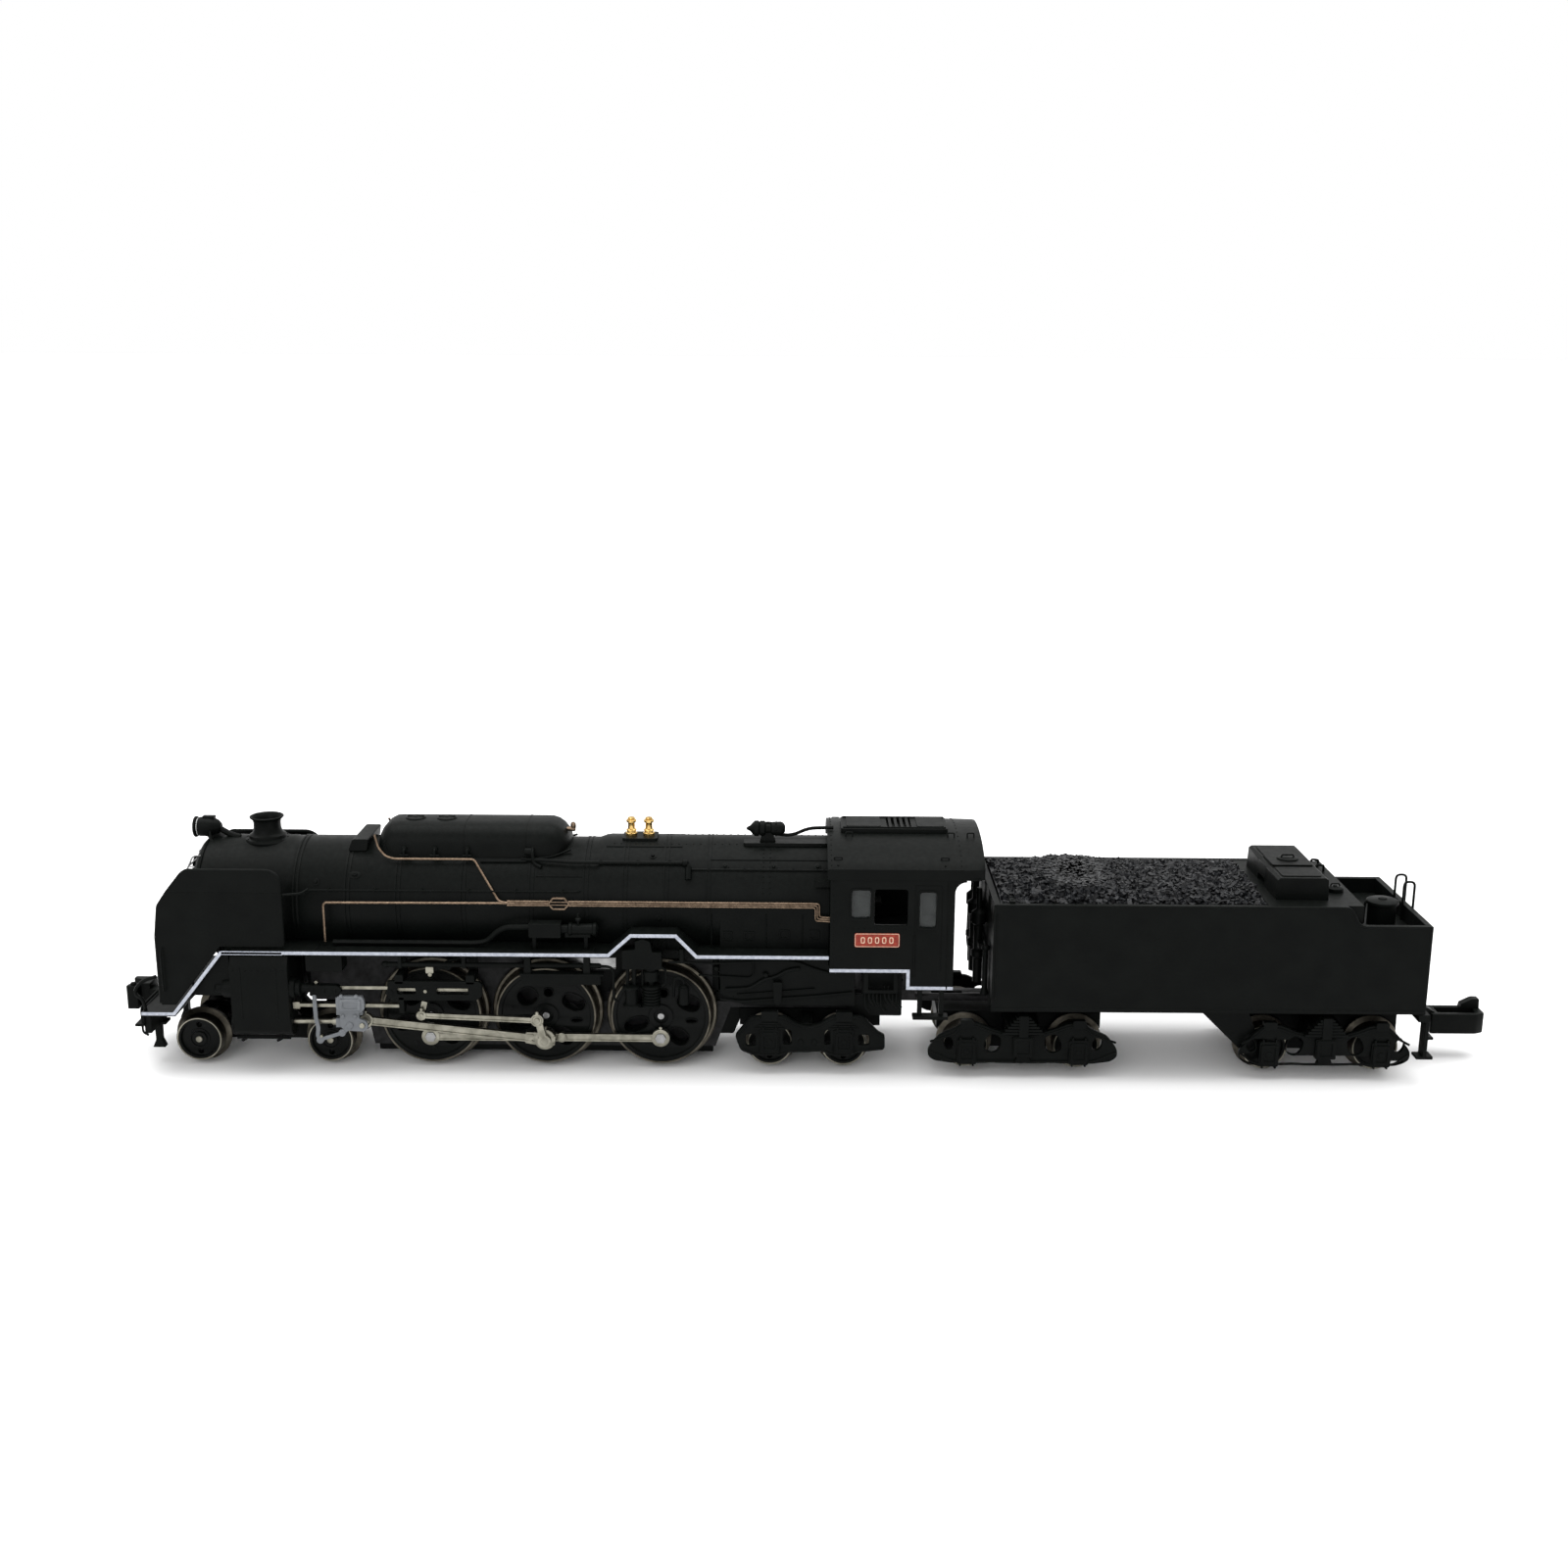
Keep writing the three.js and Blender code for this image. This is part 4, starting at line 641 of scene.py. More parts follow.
def boiler_side(side, sign):
    """Lagging seams, washout plugs, handrail and pipes along one flank of the boiler."""
    flank = Shape()
    # edges of the cover plates over the firebox and round the safety valves
    for x0, x1, degrees in ((-10.3, 2.4, 38), (-28.9, -23.9, 55), (-21.6, -13.4, 22)):
        a = on_boiler(x0, 90 - sign * degrees, 0.02)
        b = on_boiler(x1, 90 - sign * degrees, 0.02)
        flank.tube([a, b], 0.07)
    # upright panel joints and small covers on the firebox side
    for x in (-10.1, SEAM_X, -0.4):
        flank.tube([(x, sign * 6.84, 14.9), (x, sign * 6.84, 18.6)], 0.07)
    for x, z in ((-8.4, 16.2), (-6.1, 16.2), (-2.3, 16.4), (0.9, 16.4)):
        flank.plate(pane(x - 0.55, x + 0.55, z - 0.5, z + 0.5, 0.1),
                    [pane(x - 0.4, x + 0.4, z - 0.35, z + 0.35, 0.08)],
                    "y", sign * 6.72, sign * 6.92, soft=0.02)
    # round washout plugs, each in a ring
    for x, degrees in ((-8.7, 45), (-3.5, 45), (1.2, 45), (-16.5, 34), (-48.3, 55),
                       (-15.7, 93), (-52.4, 62)):
        place = Vector(on_boiler(x, 90 - sign * degrees, -0.05))
        out = Vector((0, place.y, place.z - BOILER_Z)).normalized()
        across = Vector((1, 0, 0))
        other = out.cross(across)
        wide = 1.6 if x == -48.3 else 1.0
        for size, low, high in ((0.42, -0.05, 0.13), (0.2, 0.0, 0.3)):
            rings = [[place + out * rise + (across * u * wide + other * v) for u, v in circle(0, 0, r, 14)]
                     for r, rise in ((size, low), (size, high * 0.7), (size * 0.75, high))]
            flank.skin(rings)
    flank.finish(f"boiler_plugs_{side}", "black_plastic", "engine", bevel=0)

    rails = Shape()
    y = sign * 6.55
    rails.tube([(-53.6, sign * 6.6, 20.45), (-53.2, y, 20.9), (-24.6, y, 20.9), (-24.2, sign * 6.3, 20.9)],
               0.09)
    for x in range(-51, -24, 5):
        rails.tube([(x, sign * 5.6, 20.9), (x, sign * 6.72, 20.9)], 0.12)
    # delivery pipe along the shoulder of the boiler, its valve, and the thinner pipe on to the cab
    rails.tube([(-30.6, sign * 4.0, 23.75), (-28.6, sign * 4.5, 23.8), (-25.0, sign * 4.75, 23.65),
                (-13.1, sign * 4.75, 23.65), (-12.6, sign * 4.9, 23.5), (-12.6, sign * 5.3, 22.9)], 0.2,
               bend=0.5)
    rails.turned([(0.26, -13.3), (0.38, -13.15), (0.38, -12.75), (0.26, -12.6)], "x", (sign * 4.75, 23.65),
                 12)
    rails.tube([(-12.6, sign * 5.2, 23.3), (-12.6, sign * 5.95, 22.15)], 0.34)
    rails.tube([(-12.6, sign * 5.15, 23.05), (CAB_X0, sign * 5.15, 23.05)], 0.13)
    for x in (-10.4, -6.6, -1.4, 1.9):
        rails.tube([(x, sign * 4.6, 22.9), (x, sign * 5.25, 23.1)], 0.15)
    for x in (-22.0, -18.0, -14.6):
        rails.tube([(x, sign * 4.2, 23.3), (x, sign * 4.85, 23.75)], 0.24)
    # damper box in front of the cab window
    rails.prism(rounded([(0.9, 21.7), (CAB_X0, 21.7), (CAB_X0, 22.4), (0.9, 22.3)], 0.12), "y",
                sign * 5.4, sign * 6.9)
    rails.finish(f"boiler_rails_{side}", "black_plastic", "engine", bevel=0)


def smokebox_front():
    front = -67.1
    door = Shape()
    door.turned([(0.3, front), (1.4, front + 0.03), (3.0, front + 0.28), (4.2, front + 0.72),
                 (4.85, front + 1.06), (4.95, front + 1.2), (5.2, front + 1.22), (5.25, front + 1.1),
                 (5.5, front + 1.1), (5.6, front + 1.3), (6.0, front + 1.4), (6.35, front + 1.75),
                 (6.42, -65.05)], "x", (0, BOILER_Z), 80)
    for dz in (-2.1, 2.1):
        door.prism(rounded([(-4.9, BOILER_Z + dz - 0.25), (1.6, BOILER_Z + dz - 0.14),
                            (1.6, BOILER_Z + dz + 0.14), (-4.9, BOILER_Z + dz + 0.25)], 0.1),
                   "x", front + 0.3, front + 0.95)
    for k in range(12):
        a = math.tau * (k + 0.5) / 12
        y = 5.2 * math.cos(a)
        z = BOILER_Z + 5.2 * math.sin(a)
        door.box(front + 1.0, front + 1.4, y - 0.28, y + 0.28, z - 0.28, z + 0.28)
    door.tube([(front - 0.35, 0, BOILER_Z), (front + 0.3, 0, BOILER_Z)], 0.35)
    door.tube([(front - 0.3, -0.1, BOILER_Z), (front - 0.3, 1.0, BOILER_Z + 1.0)], 0.12)
    door.tube([(front - 0.18, 0.1, BOILER_Z), (front - 0.18, -1.0, BOILER_Z + 0.9)], 0.12)
    door.turned([(1.15, front - 0.02), (1.15, front + 0.1)], "x", (0, BOILER_Z + 3.1), 24)
    door.finish("smokebox_front", "black_plastic", "engine", ["smokebox_door"])
    rail = Shape()
    for sign in (-1, 1):
        rail.tube([(front + 1.9, sign * 3.4, 23.7), (front + 1.1, sign * 4.0, 23.8),
                   (front + 0.4, sign * 4.3, 22.2),
                   (front + 0.6, sign * 4.5, 21.2), (front + 1.6, sign * 4.6, 21.0)], 0.1, bend=0.3)
    rail.tube([(front + 1.2, -3.3, 22.3), (front + 0.3, -3.3, 22.5), (front + 0.3, 3.3, 22.5),
               (front + 1.2, 3.3, 22.3)], 0.1)
    rail.finish("smokebox_handrails", "steel", "engine", bevel=0)


def chimney():
    stack = Shape()
    stack.turned([(2.45, 23.9), (2.5, 24.75), (2.38, 24.95), (2.0, 25.02), (1.95, 25.3), (1.72, 25.42),
                  (1.58, 25.6), (1.46, 26.1), (1.45, 26.6), (1.52, 26.95), (1.72, 27.12), (1.82, 27.22),
                  (1.82, 27.32), (1.7, 27.38), (1.5, 27.2), (1.28, 26.8), (1.24, 25.0), (1.2, 24.2)],
                 "z", (CHIMNEY_X, 0), 48)
    for k in range(10):
        a = math.tau * k / 10
        stack.rivet((CHIMNEY_X + 2.2 * math.cos(a), 2.2 * math.sin(a), 25.0), (0, 0, 1), 0.1)
    stack.finish("chimney_stack", "black_plastic", "engine", ["chimney"], bevel=0)


def headlight():
    z = 26.05
    lamp_case = Shape()
    lamp_case.turned([(0.98, -66.55), (1.14, -66.6), (1.16, -66.8), (1.08, -66.85), (1.0, -66.8),
                      (0.96, -66.4)], "x", (0, z), 32, closed=True)
    lamp_case.turned([(0.95, -66.45), (1.06, -66.3), (1.08, -65.2), (1.0, -64.8), (0.78, -64.3),
                      (0.4, -63.95)],
                     "x", (0, z), 32)
    lamp_case.prism([(-65.7, 25.4), (-64.2, 25.4), (-62.8, 24.2), (-64.3, 23.6)], "y", -0.55, 0.55)
    lamp_case.tube([(-64.2, 0, 25.9), (-62.9, 0, 25.1), (-61.9, 0, 24.9)], 0.35, bend=0.6)
    lamp_case.box(-65.9, -64.6, -0.35, 0.35, 26.9, 27.3)
    for sign in (-1, 1):
        lamp_case.tube([(-65.0, sign * 0.9, 25.8), (-64.8, sign * 1.3, 25.0), (-64.4, sign * 1.6, 24.5)],
                       0.14)
    lamp_case.finish("headlight_case", "black_plastic", "engine", ["headlight"])
    glass = Shape()
    glass.turned([(0.25, -66.66), (0.7, -66.6), (0.97, -66.5), (0.97, -66.4)], "x", (0, z), 28)
    glass.finish("headlight_lens", "lens", "engine", bevel=0)


def dome_casing():
    """Long smooth casing over the sand and steam domes, with two round sand hatches."""
    low, high = limits("dome_casing")
    x0 = low.x + 0.1
    x1 = high.x - 0.1
    top = 27.25
    casing = Shape()
    rings = []
    count = 28
    for i in range(count + 1):
        t = i / count
        x = x0 + (x1 - x0) * (0.5 - 0.5 * math.cos(math.pi * t))
        nose = min((x - x0) / 1.9, 1.0)
        tail = min((x1 - x) / 2.6, 1.0)
        swell = math.sqrt(max(1 - (1 - nose) ** 2, 0)) * math.sqrt(max(1 - (1 - tail) ** 2, 0))
        half = 0.9 + 2.9 * swell
        height = 23.9 + (top - 23.9) * (0.12 + 0.88 * swell)
        rings.append([(x, half * 1.02, 22.6)] + [
            (x, half * math.copysign(abs(math.cos(a)) ** 0.62, math.cos(a)),
             23.6 + (height - 23.6) * abs(math.sin(a)) ** 0.62)
            for a in [math.pi * k / 20 for k in range(21)]] + [(x, -half * 1.02, 22.6)])
    casing.skin(rings)
    for x in (-42.6, -39.2):
        casing.turned([(1.12, 26.9), (1.12, 27.28), (1.02, 27.36), (0.35, 27.42), (0.3, 27.48), (0.2, 27.48)],
                      "z", (x, 0), 28)
        casing.tube([(x - 0.9, 0, 27.4), (x + 0.9, 0, 27.4)], 0.1)
    for x in (-44.4, -36.9, -30.2):
        outline = [(3.86 * math.copysign(abs(math.cos(a)) ** 0.62, math.cos(a)),
                    23.6 + (top + 0.03 - 23.6) * abs(math.sin(a)) ** 0.62)
                   for a in [math.pi * k / 24 for k in range(25)]]
        if x > -44:
            casing.prism([*outline, (-3.6, 23.8), (3.6, 23.8)], "x", x - 0.06, x + 0.06)
    casing.finish("dome_cover", "black_plastic", "engine", ["dome_casing"], bevel=0)
    fittings = Shape()
    for _, sign in SIDES:
        for x in (-43.2, -39.9, -36.4):
            fittings.tube([(x, sign * 3.5, 24.9), (x, sign * 4.2, 24.7), (x, sign * 4.25, 23.9)], 0.17,
                          bend=0.3)
            fittings.turned([(0.3, sign * 3.7), (0.3, sign * 4.05)], "y", (x, 24.75), 10)
            fittings.tube([(x - 0.5, sign * 4.25, 24.15), (x + 0.5, sign * 4.25, 24.15)], 0.12)
        fittings.tube([(-29.4, sign * 3.4, 25.0), (-29.4, sign * 4.3, 24.6), (-29.2, sign * 4.5, 23.4),
                       (-28.4, sign * 4.8, 23.1)], 0.2, bend=0.4)
        fittings.turned([(0.4, -30.2), (0.4, -29.5), (0.25, -29.3)], "x", (sign * 4.0, 24.6), 12)
        fittings.tube([(-35.0, sign * 4.3, 23.55), (-30.0, sign * 4.3, 23.6)], 0.12)
        # grab rail that curls under the casing's tail
        fittings.tube([(-30.0, sign * 3.9, 23.7), (-27.4, sign * 3.7, 23.9), (-25.4, sign * 3.1, 24.6)],
                      0.13, bend=0.8)
    # feed-water box between the chimney and the casing
    fittings.prism(rounded([(-49.4, 24.3), (-47.4, 24.3), (-47.2, 25.6), (-48.9, 25.6)], 0.2), "y", -3.2, 3.2)
    fittings.finish("dome_pipework", "black_plastic", "engine", bevel=0.03)


def whistle():
    brass = Shape()
    _, high = limits("dome_casing")
    x = high.x
    brass.turned([(0.2, x - 0.7), (0.3, x - 0.3), (0.3, x + 0.1), (0.22, x + 0.25)], "x", (-0.4, 26.2), 12)
    brass.turned([(0.22, 26.2), (0.3, 26.35), (0.3, 26.75), (0.15, 26.95)], "z", (x, -0.4), 12)
    brass.finish("whistle", "aged_brass", "engine", bevel=0)


def safety_valves():
    base = Shape()
    base.prism(pane(-20.0, -16.2, -1.5, 1.5, 0.4), "z", 24.9, 25.45)
    base.finish("safety_valve_seat", "black_plastic", "engine")
    brass = Shape()
    for x in (-19.1, -17.2):
        brass.turned([(0.62, 25.3), (0.64, 25.72), (0.52, 25.8), (0.5, 25.92), (0.58, 25.98), (0.55, 26.08),
                      (0.4, 26.18), (0.38, 26.8), (0.42, 26.88), (0.55, 26.93), (0.57, 27.1), (0.5, 27.2),
                      (0.36, 27.25), (0.4, 27.33), (0.36, 27.44), (0.14, 27.5)], "z", (x, 0), 28)
    brass.finish("safety_valve_pair", "polished_brass", "engine", ["safety_valves"], bevel=0)


def generator():
    y = -1.6
    z = 26.7
    turbine = Shape()
    turbine.turned([(0.12, -6.5), (0.32, -6.1), (0.62, -5.85), (0.85, -5.6), (0.86, -5.2), (0.72, -5.1),
                    (0.84, -5.0), (0.84, -4.55), (0.6, -4.4), (0.55, -3.9), (0.72, -3.75), (0.76, -2.8),
                    (0.62, -2.5), (0.3, -2.3)], "x", (y, z), 28)
    for x in (-5.35, -3.3):
        for k in range(6):
            a = math.tau * k / 6
            turbine.rivet((x, y + 0.82 * math.cos(a), z + 0.82 * math.sin(a)),
                          (0, math.cos(a), math.sin(a)), 0.1)
    turbine.prism(rounded([(-5.2, 24.6), (-3.2, 24.6), (-3.6, 26.4), (-4.8, 26.4)], 0.15), "y", y - 0.4,
                  y + 0.4)
    turbine.prism(pane(-6.8, CAB_X0 - 0.2, y - 0.9, y + 0.9, 0.3), "z", 24.9, 25.28)
    turbine.tube([(-3.4, y, 26.1), (-1.6, y, 25.9), (0.2, y + 0.1, 26.75), (2.9, y + 0.1, 26.8)], 0.2,
                 bend=0.9)
    turbine.tube([(-4.6, y, 27.2), (-4.2, y, 27.3), (-3.6, y, 27.2)], 0.2)
    turbine.finish("turbo_generator", "black_plastic", "engine", ["generator"], bevel=0.03)


def brass_pipes(side, sign):
    """Long rail pipe, the dome's own pipe, the expansion loop and the bundle back to the cab."""
    pipes = Shape()
    y = sign * 7.05
    height = 19.74
    loop_x = -26.3
    pipes.tube([(-51.4, y, 15.3), (-51.4, y, height - 0.08), (loop_x - 1.1, y, height)], 0.13, bend=0.4)
    pipes.tube([(-46.4, sign * 3.5, 26.2), (-45.9, sign * 4.1, 24.9), (-45.1, sign * 4.45, 24.1),
                (-44.2, sign * 4.55, 23.85), (-35.6, sign * 4.55, 23.85), (-32.7, sign * 6.95, 19.95),
                (-32.0, y, height + 0.05), (-31.0, y, height)], 0.13, bend=0.35)
    for drop in (-0.22, 0.0, 0.22):
        z = height - drop
        turn_x = 1.2 - drop
        pipes.tube([(-31.8, y, z), (loop_x - 1.05, sign * 7.08, z)], 0.1)
        pipes.tube([(loop_x + 1.05, sign * 7.08, z), (turn_x, sign * 7.2, z),
                    (turn_x, sign * 7.25, 18.3 - drop),
                    (CAB_X0, sign * 7.3, 18.25 - drop)], 0.1, bend=0.3)
    # hexagonal expansion loop with two thin pipes inside it
    corners = ((-1.1, 0.0), (-0.62, 0.6), (0.62, 0.6), (1.1, 0.0), (0.62, -0.6), (-0.62, -0.6))
    loop = [(loop_x + u, sign * 7.15, height + v) for u, v in corners]
    pipes.tube([*loop, loop[0]], 0.11, bend=0.1)
    for v in (-0.16, 0.16):
        pipes.tube([(loop_x - 0.95, sign * 7.1, height + v), (loop_x + 0.95, sign * 7.1, height + v)], 0.06)
    pipes.finish(f"copper_pipes_{side}", "aged_brass", "engine", [f"brass_pipes_{side}"], bevel=0)


# ------------------------------------------------------------ running boards and front end
def running_board(side, sign):
    board = Shape()
    board.prism(line_ribbon(BOARD_LINE, 0.5), "y", sign * 4.8, sign * (SIDE_Y - 0.02))
    # two tread plates along the board
    for x0, x1 in ((-61.0, -52.0), (-50.0, -22.5)):
        board.box(x0, x1, min(sign * 6.9, sign * 8.9), max(sign * 6.9, sign * 8.9), 14.85, 14.97)
    board.finish(f"footplate_{side}", "black_plastic", "engine", [f"running_board_{side}"])
    edge = Shape()
    edge.prism(line_ribbon([(u, v - 0.02) for u, v in BOARD_LINE], 0.36), "y", sign * (SIDE_Y - 0.1),
               sign * (SIDE_Y + 0.05))
    edge.finish(f"board_white_edge_{side}", "white_line", "engine", bevel=0.04)


def under_board(side, sign):
    """Cooling pipe, its hangers, the valve box and pipes below the running board."""
    gear = Shape()
    y = sign * 8.35
    gear.turned([(0.2, -45.2), (0.36, -45.0), (0.36, -44.6), (0.28, -44.5), (0.28, -22.0), (0.2, -21.8)],
                "x", (y, 13.25), 16)
    gear.tube([(-44.6, sign * 7.2, 14.3), (-22.4, sign * 7.2, 14.3)], 0.2)
    gear.tube([(-22.2, y, 13.25), (-20.8, sign * 8.5, 13.2), (-20.5, sign * 8.5, 12.8),
               (-20.5, sign * 8.4, 9.6), (-20.1, sign * 8.3, 9.2)], 0.16, bend=0.5)
    for x in (-29.6, -23.3):
        gear.prism(rounded([(x - 0.4, 12.2), (x + 0.4, 12.2), (x + 0.3, 14.6), (x - 0.3, 14.6)], 0.12), "y",
                   sign * 7.9, sign * 8.85)
    for x in (-43.2, -36.4):
        gear.prism(pane(x - 0.2, x + 0.2, 12.9, 14.6, 0.1), "y", sign * 8.0, sign * 8.7)
    gear.prism(pane(-30.2, -21.8, 11.3, 12.35, 0.12), "y", sign * 8.2, sign * 9.0)
    gear.prism(pane(-30.5, -21.5, 12.3, 12.5, 0.06), "y", sign * 7.8, sign * 9.08)
    # box and spindle guide behind the cylinder
    gear.prism(pane(-53.3, -49.4, 12.4, 14.5, 0.15), "y", sign * 6.4, sign * 8.5)
    gear.finish(f"board_gear_{side}", "black_plastic", "engine", bevel=0.03)


def air_pump(side, sign):
    """Twin-cylinder air pump under the raised part of the board, with its drain cup."""
    pump = Shape()
    y = sign * 8.2
    pump.prism(rounded([(-19.5, 13.1), (-15.3, 13.1), (-15.3, 15.0), (-16.3, 15.0), (-16.5, 16.2),
                        (-17.3, 16.5),
                        (-18.1, 16.2), (-18.1, 15.3), (-19.5, 15.2)], 0.15), "y", sign * 7.3, sign * 9.05)
    smooth = [(0.95, 8.75), (0.98, 8.95), (0.72, 9.05), (0.72, 10.7), (0.98, 10.8), (0.98, 11.0), (0.4, 11.1)]
    pump.turned(smooth, "z", (-18.6, y), 24)
    fins = [(0.98, 8.75), (1.0, 8.95)]
    for k in range(5):
        z = 9.1 + k * 0.34
        fins += [(0.8, z), (1.0, z + 0.06), (1.0, z + 0.2), (0.8, z + 0.26)]
    pump.turned([*fins, (1.02, 10.85), (1.02, 11.05), (0.4, 11.15)], "z", (-16.5, y), 24)
    pump.turned([(0.62, 11.6), (0.85, 11.7), (0.85, 12.7), (0.62, 12.8), (0.62, 13.2)], "z", (-16.5, y), 20)
    for x, radius in ((-19.0, 0.2), (-18.3, 0.26), (-17.4, 0.16), (-16.5, 0.3)):
        pump.turned([(radius, 11.0), (radius, 13.3)], "z", (x, y), 12)
    for x in (-18.6, -16.5):
        for k in range(8):
            a = math.tau * k / 8
            pump.rivet((x + 0.86 * math.cos(a), y + 0.86 * math.sin(a), 11.0), (0, 0, 1), 0.1)
    pump.tube([(-15.4, sign * 8.5, 13.2), (-14.9, sign * 8.5, 12.9), (-14.9, sign * 8.5, 11.4),
               (-15.4, sign * 8.5, 11.1)], 0.14, bend=0.4)
    pump.turned([(0.45, 9.0), (0.58, 9.1), (0.58, 10.9), (0.4, 11.0), (0.4, 11.15), (0.16, 11.2)], "z",
                (-13.0, sign * 8.4), 20)
    pump.tube([(-13.0, sign * 8.4, 11.0), (-13.0, sign * 8.4, 11.9), (-14.0, sign * 8.4, 12.0),
               (-14.1, sign * 8.4, 9.8)], 0.16, bend=0.45)
    pump.finish(f"air_pump_{side}", "black_plastic", "engine", bevel=0.03)


def ejector(side, sign):
    """Injector box, ribbed check valve and tap on the board beside the boiler."""
    unit = Shape()
    unit.prism(pane(-29.4, -26.0, 16.35, 17.9, 0.12), "y", sign * 7.0, sign * 8.5)
    unit.turned([(0.5, -26.1), (0.5, -25.3), (0.72, -25.2), (0.72, -24.9), (0.62, -24.8), (0.62, -22.7),
                 (0.72, -22.6),
                 (0.72, -22.3), (0.4, -22.1)], "x", (sign * 7.7, 17.1), 24)
    unit.box(-25.6, -22.9, min(sign * 7.3, sign * 8.1), max(sign * 7.3, sign * 8.1), 16.3, 16.9)
    unit.tube([(-24.2, sign * 7.8, 17.6), (-24.2, sign * 7.8, 18.9)], 0.14)
    unit.turned([(0.32, 18.1), (0.36, 18.3), (0.2, 18.45)], "z", (-24.2, sign * 7.8), 12)
    unit.tube([(-29.2, sign * 7.8, 17.35), (-32.0, sign * 7.8, 17.3), (-33.0, sign * 7.7, 16.7),
               (-33.9, sign * 7.6, 15.7), (-35.0, sign * 7.5, 15.4), (-50.5, sign * 7.3, 15.35)], 0.3,
              bend=0.7)
    for x in (-28.9, -23.4):
        unit.box(x - 0.2, x + 0.2, min(sign * 7.4, sign * 8.0), max(sign * 7.4, sign * 8.0), 14.8, 16.5)
    unit.finish(f"ejector_{side}", "black_plastic", "engine", bevel=0.03)


def firebox_pipes(side, sign):
    """Pipes and rods over the firebox side between the last drivers and the cab."""
    pipes = Shape()
    y = sign * 6.95
    pipes.tube([(-14.6, sign * 8.4, 13.75), (-9.5, sign * 8.2, 13.6), (-4.0, y, 13.45), (-1.0, y, 13.4),
                (0.8, y, 12.6), (2.6, y, 12.1)], 0.15, bend=0.9)
    pipes.tube([(-13.2, sign * 8.3, 13.7), (-13.2, sign * 8.3, 15.2)], 0.3)
    pipes.tube([(-11.5, y, 11.8), (-6.0, y, 11.5), (-5.6, y, 11.8), (-5.6, y, 14.4)], 0.11, bend=0.4)
    pipes.tube([(-8.6, y, 10.15), (-6.0, y, 10.3), (-4.4, y, 11.4), (-3.2, y, 11.6), (-2.0, y, 12.4),
                (-0.6, y, 12.6)],
               0.22, bend=0.6)
    pipes.tube([(-9.2, y, 9.1), (-7.0, y, 8.8), (1.5, y, 9.5), (5.0, y, 9.9)], 0.16, bend=0.6)
    pipes.tube([(-7.4, y, 9.55), (1.0, y, 10.3)], 0.1)
    for k in range(14):
        pipes.rivet((-8.4 + k * 0.62, sign * FIREBOX_R, 9.25 + k * 0.062), (0, sign, 0), 0.08)
    pipes.prism(rounded([(-3.5, 11.2), (-2.5, 11.2), (-2.6, 9.0), (-3.0, 8.45), (-3.4, 9.0)], 0.15), "y",
                sign * 6.8, sign * 7.5)
    for x, z in ((-4.3, 11.9), (-9.6, 12.6)):
        pipes.turned([(0.3, sign * 6.7), (0.3, sign * 7.15), (0.2, sign * 7.25)], "y", (x, z), 12)
    pipes.prism(rounded([(3.9, 8.6), (5.3, 7.0), (10.4, 7.0), (10.4, 12.9), (6.1, 12.9), (6.1, 9.4),
                         (3.9, 9.4)], 0.2),
                "y", sign * 5.6, sign * 6.1)
    pipes.plate(pane(6.2, 9.9, 10.1, 12.7, 0.15),
                [pane(6.7, 9.4, 10.5, 12.3, 0.1)], "y", sign * 7.4,
                sign * 7.7)
    random.seed(21 if sign < 0 else 22)
    for k in range(9):
        x = 6.4 + 0.42 * k
        z = 8.3 + random.random() * 1.5
        pipes.tube([(x, sign * 6.9, z + 1.2), (x, sign * 7.4, z), (x + 0.5, sign * 7.2, z - 0.7)], 0.16,
                   bend=0.3)
    pipes.finish(f"firebox_pipes_{side}", "black_plastic", "engine", bevel=0.02)


def smoke_deflector(side, sign):
    """Folded sheet: upright below the crease, leaning in above it, with a beaded rim."""
    fold = 21.2
    lean = 0.24
    y0 = 8.35
    y1 = 8.75
    sheet = Shape()
    lower = rounded([(-68.9, 8.6), (-67.4, 8.6), (-62.2, 15.2), (-55.5, 15.2), (-55.5, fold), (-67.4, fold),
                     (-68.5, 19.6), (-68.95, 16.2)], 0.05, 2)
    sheet.prism(lower, "y", sign * y0, sign * y1)
    rim = [(-67.4, fold), (-65.9, 23.1), (-65.4, 23.4), (-57.1, 23.4), *arc(-57.1, 21.8, 1.6, 80, 0, 6),
           (-55.5, fold)]
    inward = lambda v: -sign * lean * (v - fold)
    sheet.skin([[(u, sign * y + inward(v), v) for u, v in rim] for y in (y0, y1)])
    bead = [(-68.95, 8.8), (-68.95, 16.2), (-68.5, 19.6), *rim, (-55.5, 15.3)]
    sheet.tube([(u, sign * (y0 + y1) / 2 + (inward(v) if v > fold else 0), v) for u, v in bead], 0.24,
               bend=0.25)
    for x in (-64.0, -57.5):
        sheet.tube([(x, sign * 8.5, 20.6), (x, sign * 6.4, 20.6)], 0.16)
    sheet.finish(f"deflector_{side}", "black_plastic", "engine", [f"smoke_deflector_{side}"])
    rail = Shape()
    rail.tube([(-55.7, sign * 8.5, 20.9), (-53.4, sign * 8.0, 20.95), (-52.9, sign * 7.2, 21.2)], 0.12,
              bend=0.5)
    rail.tube([(-68.4, sign * 9.0, 10.2), (-68.4, sign * 9.25, 10.6), (-68.4, sign * 9.25, 14.6),
               (-68.4, sign * 9.0, 15.0)], 0.1, bend=0.3)
    rail.finish(f"deflector_rail_{side}", "black_plastic", "engine", bevel=0)


